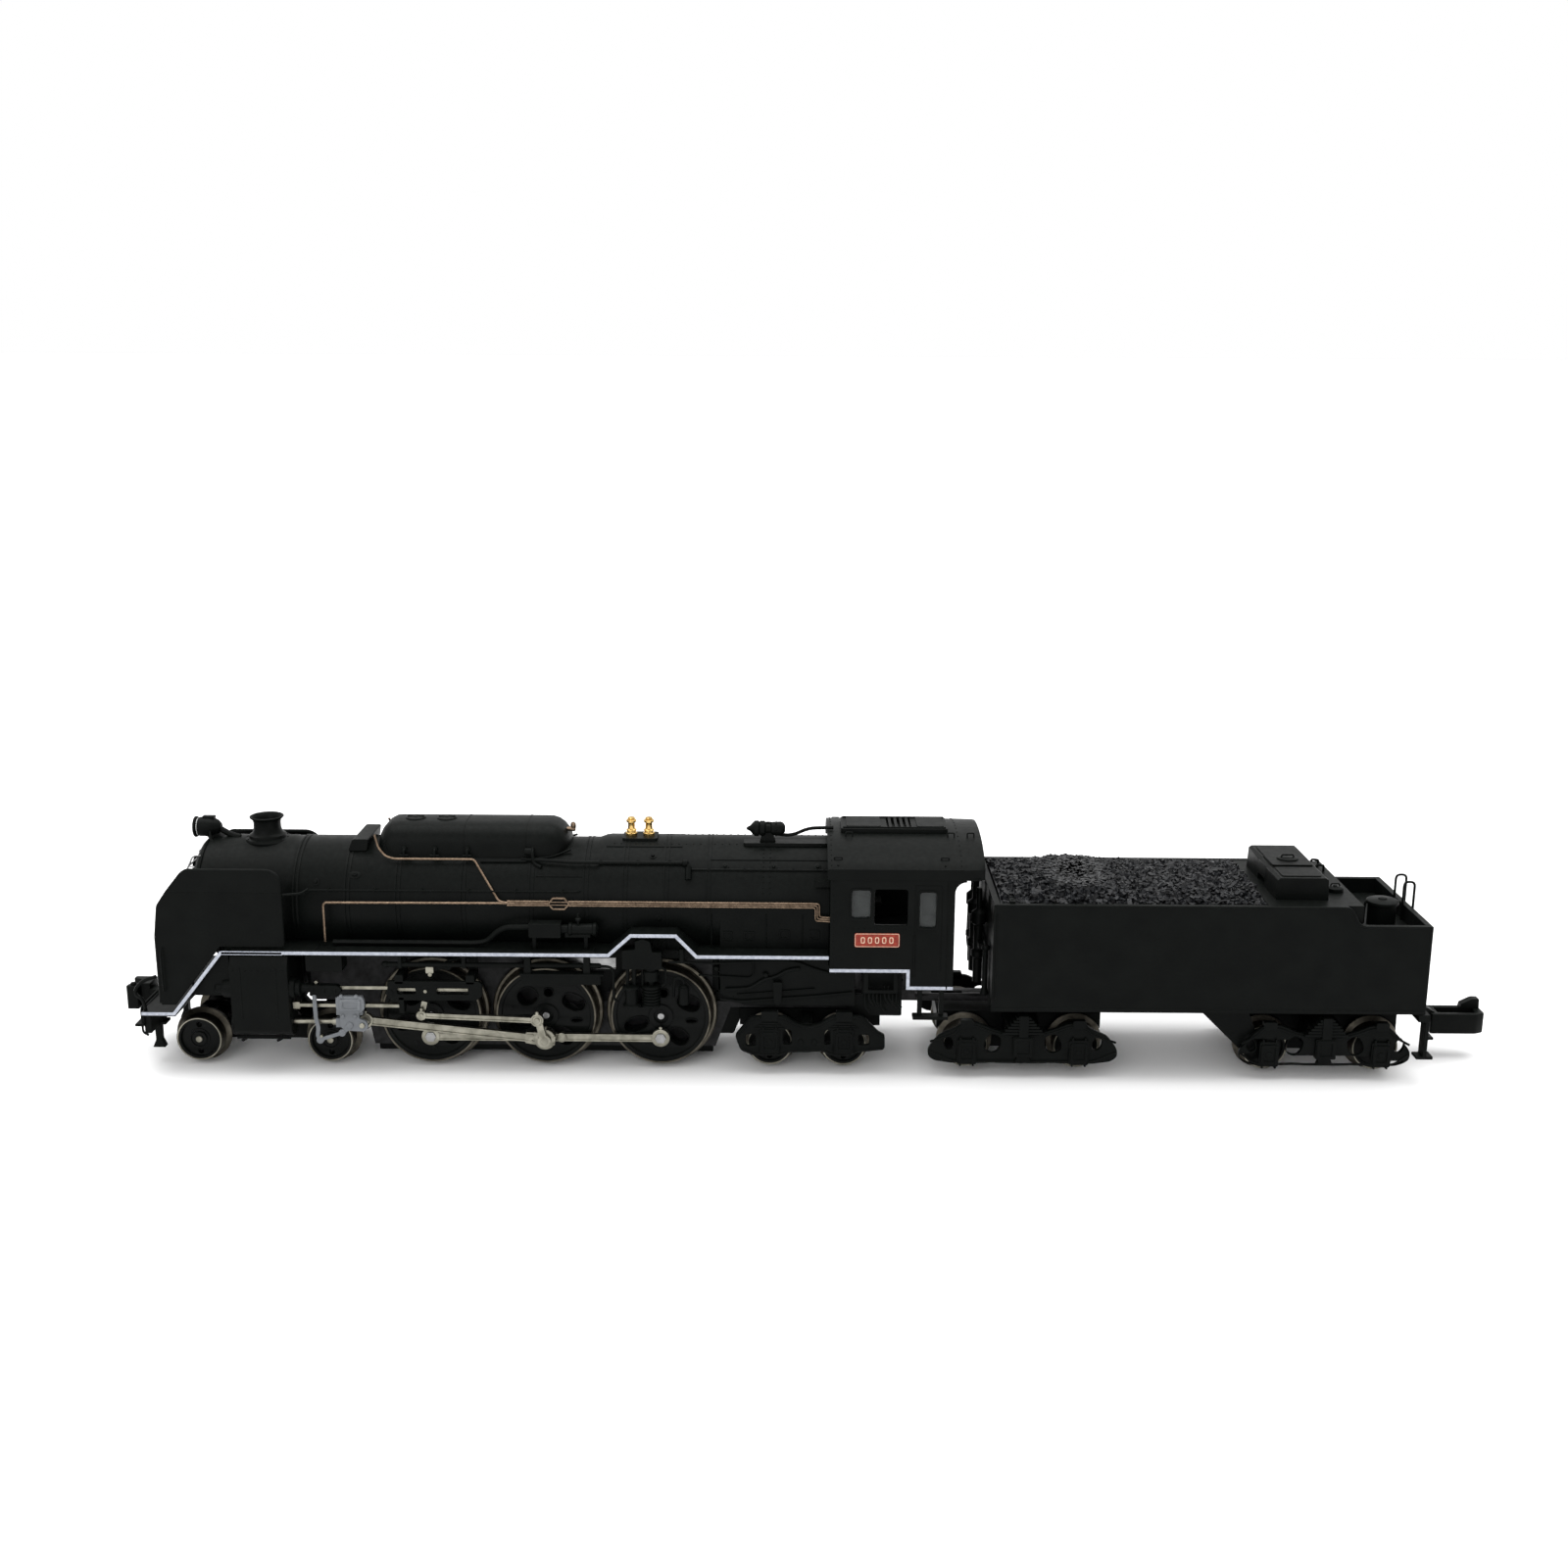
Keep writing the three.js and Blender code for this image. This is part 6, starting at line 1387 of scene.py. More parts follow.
def crosshead(side, sign):
    """Crosshead with its shoes, piston rod, union link and combination lever, which slide together."""
    x, z = small_end(side)
    head = Shape()
    upper = [(x - 2.5, 9.75), (x - 2.7, 9.3), (x - 2.7, 8.3), (x - 2.2, 7.85), (x - 0.2, 7.85),
             (x + 0.35, 8.3),
             (x + 0.35, 9.3), (x + 0.1, 9.75)]
    head.prism(rounded(upper, 0.2), "y", sign * 8.45, sign * 8.9)
    lower = [(x - 2.35, 8.0), (x - 2.35, 6.3), (x - 1.9, 5.85), (x + 0.2, 5.75), (x + 0.65, 6.2),
             (x + 0.45, 6.9),
             (x - 0.3, 7.2), (x - 0.3, 8.0)]
    head.prism(rounded(lower, 0.2), "y", sign * 8.45, sign * 8.82)
    head.plate(rounded([(x - 2.3, 9.45), (x - 2.3, 8.1), (x - 0.05, 8.1), (x - 0.05, 9.45)], 0.2),
               [pane(x - 1.95, x - 0.4, 8.35, 9.15, 0.2)], "y", sign * 8.85, sign * 9.0, soft=0.03)
    for z0, z1 in ((7.5, 8.08), (8.92, 9.5)):
        head.box(x - 2.8, x, *sorted((sign * 7.7, sign * 8.5)), z0, z1)
    for u, v, radius in ((-2.1, 9.75, 0.22), (-0.5, 9.75, 0.22), (-2.0, 7.5, 0.2), (-0.7, 7.5, 0.2),
                         (-1.3, 6.5, 0.34)):
        head.turned([(radius, sign * 8.7), (radius, sign * 8.98), (radius * 0.6, sign * 9.02)], "y",
                    (x + u, v), 12)
    head.box(x - 2.9, x - 1.9, *sorted((sign * 7.65, sign * 8.5)), 6.1, 7.1)
    head.finish(f"crosshead_body_{side}", "grey_plastic", f"crosshead_{side}", [f"crosshead_{side}"],
                bevel=0.05)
    bright = Shape()
    bright.turned([(0.26, x - 9.8), (0.26, x - 2.8)], "x", (sign * PISTON[0], PISTON[1]), 20)
    bright.turned([(0.42, x - 3.3), (0.42, x - 2.8)], "x", (sign * PISTON[0], PISTON[1]), 20)
    pin_head(bright, (x, z), 0.3, sign * 8.4, sign * 9.0)
    pin_head(bright, (x - 4.4, 5.25), 0.16, sign * 8.7, sign * 9.02)
    bright.finish(f"piston_rod_{side}", "nickel", f"crosshead_{side}", bevel=0)
    lever = Shape()
    bend = [(x - 5.0, 9.85), (x - 4.95, 7.2), (x - 4.75, 6.2), (x - 4.85, 5.2), (x - 4.5, 4.5)]
    left = [(u - 0.2, v) for u, v in bend]
    right = [(u + 0.22, v) for u, v in reversed(bend)]
    lever.prism(rounded([*left, *right], 0.12), "y", sign * 8.6, sign * 8.84)
    lever.turned([(0.4, sign * 8.6), (0.4, sign * 8.86)], "y", (x - 4.6, 4.75), 16)
    lever.prism(strap((x - 4.5, 4.85), (x - 2.2, 5.6), 0.36, 0.38, 0.18), "y", sign * 8.7, sign * 8.95)
    lever.prism(strap((x - 2.2, 5.6), (x - 1.5, 6.2), 0.38, 0.34, 0.24), "y", sign * 8.62, sign * 8.9)
    lever.finish(f"combination_lever_{side}", "grey_plastic", f"crosshead_{side}", bevel=0.03)


def rods(side, sign):
    a, b, c = [crank_pin(side, axle) for axle in range(3)]
    y0, y1 = (sign * y for y in SIDE_ROD_Y)
    rod = Shape()
    fluted_rod(rod, a, b, (1.0, 1.0), 0.42, y0, y1)
    fluted_rod(rod, b, c, (1.0, 1.0), 0.42, y0, y1)
    joint = (b[0] + 1.75, b[1])
    rod.turned([(0.55, y0), (0.55, y1), (0.45, y1 + sign * 0.05)], "y", joint, 20)
    rod.finish(f"side_rod_{side}", "nickel", f"coupling_rod_{side}", [f"coupling_rod_{side}"], bevel=0.03)
    y0, y1 = (sign * y for y in MAIN_ROD_Y)
    rod = Shape()
    end = small_end(side)
    fluted_rod(rod, end, b, (0.85, 1.15), 0.45, y0, y1)
    ahead = (Vector(end) - Vector(b)).normalized()
    up = Vector((-ahead.y, ahead.x))
    for u, v in ((1.35, 0.33), (1.35, -0.33), (-1.0, 0.4), (-1.0, -0.4)):
        spot = Vector(b) + ahead * u + up * v
        rod.turned([(0.14, y1 - sign * 0.2), (0.14, y1 + sign * 0.08)], "y", tuple(spot), 8)
    strap_end = [Vector(b) + ahead * u + up * v for u,
                 v in ((0.6, -0.75), (2.1, -0.62), (2.1, 0.62), (0.6, 0.75))]
    rod.prism(rounded([tuple(p) for p in strap_end], 0.12), "y", y0, y1 - sign * 0.05)
    rod.finish(f"connecting_rod_{side}", "nickel", f"main_rod_{side}", [f"main_rod_{side}"], bevel=0.03)
    y0, y1 = (sign * y for y in ECCENTRIC_Y)
    rod = Shape()
    tail = link_tail(side)
    fluted_rod(rod, tail, return_pin(side), (0.55, 0.7), 0.3, y0, y1)
    pin_head(rod, tail, 0.24, y0, y1 + sign * 0.06)
    rod.finish(f"valve_rod_{side}", "nickel", f"eccentric_rod_{side}", [f"eccentric_rod_{side}"], bevel=0.03)


def expansion_link(side, sign):
    tilt = math.asin((link_tail(side)[0] - LINK_PIVOT[0]) / 2.9)

    def at(along, across):
        return (LINK_PIVOT[0] - along * math.sin(tilt) + across * math.cos(tilt),
                LINK_PIVOT[1] + along * math.cos(tilt) + across * math.sin(tilt))

    outline = [at(-3.3, -0.3), at(-3.3, 0.3), at(-1.6, 0.55), at(0, 0.38), at(1.3, 0.55), at(1.3, -0.15),
               at(0, -0.4),
               at(-1.6, -0.15)]
    slot = [at(-1.4, 0.02), at(-1.4, 0.32), at(0, 0.14), at(1.1, 0.32), at(1.1, 0.05), at(0, -0.16)]
    link = Shape()
    link.plate(rounded(outline, 0.2), [rounded(slot, 0.08)], "y", sign * 7.6, sign * 8.0, soft=0.04)
    link.turned([(0.32, sign * 7.8), (0.32, sign * 8.65)], "y", LINK_PIVOT, 16)
    link.finish(f"reversing_link_{side}", "black_plastic", f"expansion_link_{side}",
                [f"expansion_link_{side}"], bevel=0)
    arm = Shape()
    arm.prism(rounded([at(-3.2, -0.28), at(-3.2, 0.28), at(-1.5, 0.34), at(-1.5, -0.28)], 0.12), "y",
              sign * 7.95, sign * 8.05)
    arm.finish(f"link_arm_{side}", "nickel", f"expansion_link_{side}", bevel=0)


# ------------------------------------------------------------ wheels
DRIVER_HOLES = (  # centre and half sizes from the axle, with a tilt, as seen on the left side
    (-2.7, -1.0, 1.35, 0.8, 20), (-2.0, 2.1, 1.1, 1.0, 35), (3.0, 1.5, 1.3, 0.9, -25),
    (1.9, -2.4, 1.15, 0.9, -35), (0.3, 2.6, 0.5, 0.5, 0), (3.3, -0.6, 0.6, 0.28, 0),
)


def driver_centre(axle, side, sign):
    """Box-pok style wheel centre: a dished plate pierced by kidney openings."""
    x = DRIVER_X[axle]
    wheel = Shape()
    holes = []
    for u, v, half_u, half_v, tilt in DRIVER_HOLES:
        du, dv = crank_offset(side, u, v)
        holes.append(oval(x + du, DRIVER_Z + dv, half_u, half_v, tilt + math.degrees(TURN[side]), 24, 2.3))
    wheel.plate(circle(x, DRIVER_Z, 5.27, 72), holes, "y", sign * 3.8, sign * 5.72, soft=0.12)
    for hole in holes:
        lip = [Vector(p) for p in hole]
        middle = sum(lip, Vector((0, 0))) / len(lip)
        rim = [tuple(middle + (p - middle) * 1.09) for p in lip]
        wheel.plate(rim, [hole], "y", sign * 5.6, sign * 5.82, soft=0.05)
    rings = ((5.27, 4.8, 5.86), (1.35, 0.75, 5.95))
    for outer, inner, y in rings:
        wheel.turned([(outer, sign * 5.5), (outer, sign * (y - 0.06)), (outer - 0.06, sign * y),
                      (inner + 0.06, sign * y),
                      (inner, sign * (y - 0.06)), (inner, sign * 5.5)], "y", (x, DRIVER_Z), 56, closed=True)
    pin_x, pin_z = crank_pin(side, axle)
    wheel.turned([(1.05, sign * 5.6), (1.02, sign * 5.95), (0.9, sign * 6.08)], "y", (pin_x, pin_z), 32)
    for u, v, radius in ((-1.8, -3.4, 0.3), (0.1, -3.9, 0.25), (-3.7, 0.8, 0.2), (1.2, 3.6, 0.2)):
        du, dv = crank_offset(side, u, v)
        wheel.turned([(radius, sign * 5.7), (radius, sign * 5.78), (radius * 0.6, sign * 5.8)], "y",
                     (x + du, DRIVER_Z + dv), 14)
    wheel.finish(f"driver_centre_{axle + 1}_{side}", "black_wheel", f"driver_{axle + 1}",
                 [f"driver_wheels_{axle + 1}"], bevel=0.03)


def driver_metal(axle):
    """Tyres, axle, crank pins and, on the driven axle, the worm wheel."""
    x = DRIVER_X[axle]
    tyres = Shape()
    for side, sign in SIDES:
        tyres.turned([(5.25, sign * 5.9), (5.4, sign * 5.9), (TREAD_R, sign * 5.8), (5.53, sign * 4.4),
                      (5.7, sign * 4.22), (5.95, sign * 4.16), (FLANGE_R, sign * 4.0),
                      (FLANGE_R, sign * 3.85),
                      (5.98, sign * 3.7), (5.25, sign * 3.7)], "y", (x, DRIVER_Z), 96, closed=True)
    tyres.finish(f"driver_tyres_{axle + 1}", "tyre_nickel", f"driver_{axle + 1}",
                 [f"driver_wheels_{axle + 1}"], bevel=0)
    bright = Shape()
    bright.turned([(1.0, -3.9), (1.0, 3.9)], "y", (x, DRIVER_Z), 24)
    for side, sign in SIDES:
        pin_head(bright, (x, DRIVER_Z), 0.38, sign * 5.4, sign * 5.98)
        end = RETURN_CRANK_Y[1] if axle == 1 else SIDE_ROD_Y[1] + 0.15
        pin_head(bright, crank_pin(side, axle), 0.45, sign * 5.8, sign * end)
        if axle != 1:
            bright.turned([(0.62, sign * 6.74), (0.6, sign * 6.92)], "y", crank_pin(side, axle), 6)
    bright.finish(f"driver_pins_{axle + 1}", "steel", f"driver_{axle + 1}", bevel=0.02)
    if axle == 1:
        for side, sign in SIDES:
            crank = Shape()
            y0, y1 = (sign * y for y in RETURN_CRANK_Y)
            crank.prism(strap(crank_pin(side, 1), return_pin(side), 0.72, 0.58, 0.38), "y", y0, y1)
            pin_head(crank, crank_pin(side, 1), 0.42, y1 - sign * 0.1, y1 + sign * 0.04)
            pin_head(crank, return_pin(side), 0.3, y0, sign * (ECCENTRIC_Y[1] + 0.1))
            crank.finish(f"return_crank_{side}", "nickel", "driver_2", bevel=0.03)
    if axle == 2:
        gear = Shape()
        teeth = 26
        outline = []
        for k in range(teeth):
            for turn, height in ((-0.5, -0.33), (-0.24, -0.33), (-0.09, 0.26), (0.09, 0.26), (0.24, -0.33)):
                a = math.pi / 2 + math.tau * (k + turn) / teeth
                radius = 3.9 + height
                outline.append((x + radius * math.cos(a), DRIVER_Z + radius * math.sin(a)))
        gear.prism(outline, "y", -0.55, 0.55)
        gear.finish("worm_wheel", "steel", "driver_3", bevel=0)


def small_wheels(name, x, stub):
    """Dark tyres with a thin bright edge, a pierced black disc inside each and bright axle ends."""
    tyres = Shape()
    metal = Shape()
    black = Shape()
    z = SMALL_Z
    metal.turned([(0.75, -3.8), (0.75, 3.8)], "y", (x, z), 20)
    for _, sign in SIDES:
        tyres.turned([(2.28, sign * 5.86), (2.44, sign * 5.88), (SMALL_TREAD_R, sign * 5.8),
                      (2.54, sign * 4.4),
                      (2.75, sign * 4.22), (3.02, sign * 4.05), (3.05, sign * 3.88), (2.98, sign * 3.7),
                      (2.28, sign * 3.7)], "y", (x, z), 64, closed=True)
        metal.turned([(2.31, sign * 5.7), (2.31, sign * 5.91), (2.4, sign * 5.91), (2.4, sign * 5.7)], "y",
                     (x, z), 64,
                     closed=True)
        pin_head(metal, (x, z), 0.36, sign * 5.5, sign * (5.9 + stub))
        holes = [circle(x + 1.55 * math.cos(a), z + 1.55 * math.sin(a), 0.3, 16) for a in (math.pi / 2,
                                                                                           -math.pi / 2)]
        black.plate(circle(x, z, 2.3, 48), holes, "y", sign * 3.85, sign * 5.6, soft=0.05)
        for outer, inner, y in ((2.3, 2.05, 5.84), (1.12, 0.95, 5.72), (0.78, 0.36, 5.86)):
            black.turned([(outer, sign * 5.4), (outer, sign * y), (inner, sign * y), (inner, sign * 5.4)],
                         "y", (x, z), 40,
                         closed=True)
    tyres.finish(f"{name}_tyres", "tyre_nickel", name, [name], bevel=0)
    metal.finish(f"{name}_rims", "nickel", name, [name], bevel=0)
    black.finish(f"{name}_discs", "black_wheel", name, [name], bevel=0.02)


# ------------------------------------------------------------ trucks
def lead_truck():
    middle = sum(LEAD_X) / 2
    truck = Shape()
    outline = [(LEAD_X[0] - 2.0, 2.0), (LEAD_X[1] + 1.6, 2.0), (LEAD_X[1] + 1.6, 4.4), (middle + 3, 4.4),
               (middle + 2, 5.6),
               (middle - 2, 5.6), (middle - 3, 4.4), (LEAD_X[0] - 2.0, 4.4)]
    bores = [circle(x, SMALL_Z, 0.95, 24) for x in LEAD_X]
    for sign in (-1, 1):
        truck.plate(rounded(outline, 0.3), bores, "y", sign * 1.7, sign * 2.7)
    for x0, x1 in ((LEAD_X[0] - 2.0, LEAD_X[0] - 1.2), (middle - 3, middle + 3),
                   (LEAD_X[1] + 1.1, LEAD_X[1] + 1.6)):
        truck.box(x0, x1, -2.0, 2.0, 2.1, 4.3)
    truck.box(middle - 2, middle + 2, -2.0, 2.0, 4.2, 5.55)
    truck.turned([(0.9, 5.4), (0.9, 8.5)], "z", (middle, 0), 24)
    truck.finish("lead_truck_cradle", "black_plastic", "lead_truck", ["lead_truck_frame"])


def axlebox(shape, x, z, sign, y, half=1.05):
    """Axlebox with a recessed lid, four bolts and its horn guides."""
    shape.prism(pane(x - half, x + half, z - 1.35, z + 1.45, 0.25), "y", sign * (y - 0.5), sign * y)
    shape.plate(pane(x - half * 0.86, x + half * 0.86, z - 1.05, z + 1.15, 0.25),
                [pane(x - half * 0.6, x + half * 0.6, z - 0.75, z + 0.85, 0.2)],
                "y", sign * (y - 0.1), sign * (y + 0.14), soft=0.04)
    shape.turned([(0.36, sign * (y - 0.1)), (0.36, sign * (y + 0.05)), (0.22, sign * (y + 0.1))], "y",
                 (x, z), 16)
    for u in (-0.69, 0.69):
        shape.prism(pane(x + u - 0.1, x + u + 0.1, z - 1.55, z + 1.75, 0.08), "y", sign * (y - 0.4),
                    sign * (y + 0.05))
        for v in (-0.9, 1.0):
            shape.rivet((x + u, sign * (y + 0.12), z + v), (0, sign, 0), 0.1)


def trailing_truck():
    """Cast frames of the trailing truck, carried a little above the axles on leaf springs."""
    truck = Shape()
    middle = sum(TRAIL_X) / 2
    up = 0.65
    outline = [(-7.6, 3.9), (-5.9, 6.1), (-2.2, 6.2), (-0.9, 5.4), (0.33, 5.0), (1.6, 5.4), (2.9, 6.3),
               (6.1, 6.3),
               (8.0, 4.3), (8.58, 4.1), (8.58, 2.4), (5.7, 2.05), (4.6, 1.6), (2.9, 1.6), (1.9, 2.1),
               (-1.7, 2.0),
               (-2.5, 1.6), (-5.6, 1.6), (-7.0, 2.2)]
    windows = [pane(x0, x1, z0 + up, z1 + up, 0.3) for x0, x1, z0, z1 in
               ((-6.4, -5.35, 2.7, 4.1), (-2.4, -1.5, 2.9, 4.6), (2.1, 2.7, 2.9, 4.6), (5.7, 6.9, 2.9, 4.1))]
    bores = [circle(x, SMALL_Z, 0.6, 20) for x in TRAIL_X]
    rib = [(-7.3, 3.95), (-5.75, 5.9), (-2.3, 6.0), (-0.9, 5.2), (0.33, 4.8), (1.6, 5.2), (2.9, 6.05),
           (6.0, 6.05),
           (7.8, 4.2), (8.4, 4.05)]
    foot = [(-6.9, 2.35), (-5.5, 1.8), (-2.6, 1.8), (-1.8, 2.2), (1.9, 2.3), (3.0, 1.8), (4.6, 1.8),
            (5.7, 2.25),
            (8.4, 2.55)]
    for _, sign in SIDES:
        truck.plate(rounded([(u, v + up) for u, v in outline], 0.35), [*windows, *bores], "y",
                    sign * 6.95, sign * 7.55, soft=0.08)
        truck.tube([(u, sign * 7.55, v + up) for u, v in rib], 0.13, bend=0.5)
        truck.tube([(u, sign * 7.55, v + up) for u, v in foot], 0.11, bend=0.4)
        for x in TRAIL_X:
            axlebox(truck, x, SMALL_Z + 0.9, sign, 7.85)
            truck.prism(pane(x - 0.9, x + 0.9, 6.3, 7.4, 0.2), "y", sign * 6.9, sign * 7.75)
            for k in range(3):
                half = 1.6 - 0.35 * k
                low = 5.35 + 0.28 * k
                truck.box(x - half, x + half, *sorted((sign * 7.0, sign * 7.7)), low, low + 0.22)
        for u in (-0.5, 1.0):
            truck.turned([(0.3, sign * 7.5), (0.3, sign * 7.66), (0.18, sign * 7.7)], "y", (u, 3.9), 14)
    # cross member and the beam that carries both axles' springs
    truck.box(middle - 0.6, middle + 0.6, -7.2, 7.2, 4.2, 5.9)
    truck.box(-7.2, 8.2, -3.3, 3.3, 4.2, 6.1)
    truck.turned([(0.85, 5.7), (0.85, 7.1)], "z", (middle, 0), 24)
    truck.finish("trailing_truck_sides", "black_plastic", "trailing_truck", ["trailing_truck_frame"],
                 bevel=0.03)


def tender_truck(name, axles, reach, guarded):
    """Cast side frames with kidney windows, leaf springs over the bolster and roller axleboxes."""
    truck = Shape()
    middle = sum(axles) / 2
    right = [(2.0, 1.72), (3.2, 1.8), (4.4, 1.72), (7.5, 1.72), (reach - 0.7, 2.0), (reach, 2.5),
             (reach, 3.4),
             (reach - 1.1, 4.9), (7.3, 5.7), (6.6, 6.3), (4.9, 6.35), (3.2, 5.6), (1.5, 5.15)]
    outline = [(middle + u, v) for u, v in right] + [(middle - u, v) for u, v in reversed(right)]
    inner = abs(axles[1] - middle)
    windows = []
    for turn in (-1, 1):
        windows.append(oval(middle + turn * 3.25, 4.0, 0.85, 1.05, turn * 20, 20, 2.4))
        windows.append(oval(middle + turn * (inner + 1.95), 4.0, 0.5, 0.75, turn * -15, 16, 2.2))
    bores = [circle(x, SMALL_Z, 0.6, 20) for x in axles]
    for _, sign in SIDES:
        truck.plate(rounded(outline, 0.4), [*windows, *bores], "y", sign * 7.3, sign * 7.88, soft=0.08)
        rim = [(-reach + 0.2, 4.2), (-7.4, 5.1), (-6.8, 5.95), (-5.0, 6.0), (-3.2, 5.3), (-1.5, 4.9),
               (1.5, 4.9), (3.2, 5.3),
               (5.0, 6.0), (6.8, 5.95), (7.4, 5.1), (reach - 0.2, 4.2)]
        truck.tube([(middle + u, sign * 7.9, v) for u, v in rim], 0.13, bend=0.5)
        low_rim = [(-reach + 0.2, 3.1), (-7.5, 1.95), (7.5, 1.95), (reach - 0.2, 3.1)]
        truck.tube([(middle + u, sign * 7.9, v) for u, v in low_rim], 0.11, bend=0.5)
        for x in axles:
            axlebox(truck, x, SMALL_Z, sign, 8.15)
            truck.prism(pane(x - 0.7, x + 0.7, 5.8, 6.7, 0.2), "y", sign * 7.3, sign * 8.05)
        truck.prism(pane(middle - 1.1, middle + 1.1, 2.6, 4.9, 0.2), "y", sign * 7.6, sign * 8.3)
        truck.plate(pane(middle - 1.0, middle + 1.0, 2.7, 4.8, 0.2),
                    [pane(middle - 0.65, middle + 0.65, 3.0, 4.5, 0.15)],
                    "y", sign * 8.2, sign * 8.42, soft=0.04)
        for k in range(6):
            half = 2.3 - 0.3 * k
            z = 5.15 + 0.34 * k
            truck.prism(pane(middle - half, middle + half, z, z + 0.26, 0.1), "y", sign * 7.35, sign * 8.25)
        truck.box(middle - 0.5, middle + 0.5, *sorted((sign * 7.3, sign * 8.35)), 4.9, 7.3)
        truck.prism(rounded([(middle - 0.9, 1.9), (middle + 0.9, 1.9), (middle + 0.6, 2.6),
                             (middle - 0.6, 2.6)], 0.1), "y",
                    sign * 7.6, sign * 8.2)
        if guarded:
            truck.prism([(42.4, 7.7), (47.6, 7.7), (48.6, 5.2), (49.2, 2.3), (48.2, 2.0)], "y", sign * 6.5,
                        sign * 7.0)
    truck.box(middle - 1.8, middle + 1.8, -7.5, 7.5, 3.4, 6.1)
    truck.box(middle - 9.0, middle + 9.0, -3.3, 3.3, 4.1, 6.0)
    tall = (middle - 9.0, 61.4) if guarded else (middle, middle + 9.0)
    truck.box(*tall, -3.3, 3.3, 5.8, 7.2)
    truck.box(middle - 4.6, middle + 4.6, -3.3, 3.3, 1.9, 4.2)
    truck.turned([(0.95, 5.9), (0.95, 8.0)], "z", (middle, 0), 24)
    truck.finish(f"{name}_sides", "black_plastic", name, [f"{name}_frame"], bevel=0.03)


def drawbar():
    bar = Shape()
    bar.plate(rounded([(8.7, -0.7), (10.0, -1.3), (21.5, -1.3), (22.2, -0.7), (22.2, 0.7), (21.5, 1.3),
                       (10.0, 1.3),
                       (8.7, 0.7)], 0.3), [pane(14.0, 17.5, -0.4, 0.4, 0.3)], "z", 6.95, 7.55)
    for x in (10.0, 21.5):
        bar.turned([(0.95, 7.3), (0.95, 7.6), (0.7, 7.65), (0.7, 8.5)], "z", (x, 0), 24)
    bar.finish("drawbar_link", "zinc", "drawbar", ["drawbar"])


# ------------------------------------------------------------ tender
def tender_body():
    body = Shape()
    side_line = [(TENDER_X0, TENDER_BOTTOM), (TENDER_X1, TENDER_BOTTOM), (TENDER_X1, 18.5), (58.9, 18.5),
                 *arc(58.9, 19.6, 1.1, 270, 195, 6), *arc(56.5, 19.5, 1.1, 15, 90, 6),
                 (TENDER_X0, TENDER_TOP)]
    inner = SIDE_Y - WALL
    for _, sign in SIDES:
        body.prism(side_line, "y", sign * inner, sign * (SIDE_Y - 0.02))
        rim = [(TENDER_X0 + 0.2, TENDER_TOP - 0.12), (56.4, TENDER_TOP - 0.12),
               *arc(56.5, 19.5, 0.98, 80, 15, 4),
               *arc(58.9, 19.6, 1.22, 195, 265, 4), (TENDER_X1 - 0.15, 18.38)]
        body.tube([(u, sign * (SIDE_Y - 0.1), v) for u, v in rim], 0.16, bend=0.1)
        body.tube([(TENDER_X0 + 0.2, sign * (SIDE_Y - 0.06), 9.0),
                   (TENDER_X1 - 0.2, sign * (SIDE_Y - 0.06), 9.0)], 0.14)
        body.tube([(TENDER_X0 + 0.35, sign * (SIDE_Y + 0.02), 10.2),
                   (TENDER_X0 + 0.35, sign * (SIDE_Y + 0.02), 19.6)], 0.09)
    body.box(TENDER_X0, TENDER_X0 + 0.7, -inner, inner, TENDER_BOTTOM, TENDER_TOP)
    body.box(21.4, 22.0, -inner, inner, 16.5, TENDER_TOP + 0.2)
    body.box(48.6, 58.6, -inner, inner, 16.2, TENDER_TOP - 0.05)
    body.box(TENDER_X1 - 0.65, TENDER_X1, -inner, inner, TENDER_BOTTOM, 18.5)
    body.box(TENDER_X0 + 0.4, TENDER_X1 - 0.3, -inner, inner, 16.1, 16.8)
    # rear plate: rivet rows, grab rails and lamp irons
    for sign in (-1, 1):
        body.rivets((TENDER_X1, sign * 8.6, 9.6), (TENDER_X1, sign * 8.6, 17.6), (1, 0, 0), 16, 0.09)
        body.tube([(TENDER_X1, sign * 7.4, 10.0), (TENDER_X1 + 0.3, sign * 7.4, 10.3),
                   (TENDER_X1 + 0.3, sign * 7.4, 16.6),
                   (TENDER_X1, sign * 7.4, 16.9)], 0.12, bend=0.15)
        body.prism(pane(sign * 5.0 - 0.4, sign * 5.0 + 0.4, 13.0, 14.2, 0.15), "x", TENDER_X1 - 0.1,
                   TENDER_X1 + 0.25)
    body.rivets((TENDER_X1, -7.8, 9.2), (TENDER_X1, 7.8, 9.2), (1, 0, 0), 28, 0.09)
    body.finish("tender_tank", "black_plastic", "tender", ["tender_shell"], bevel=0.06)


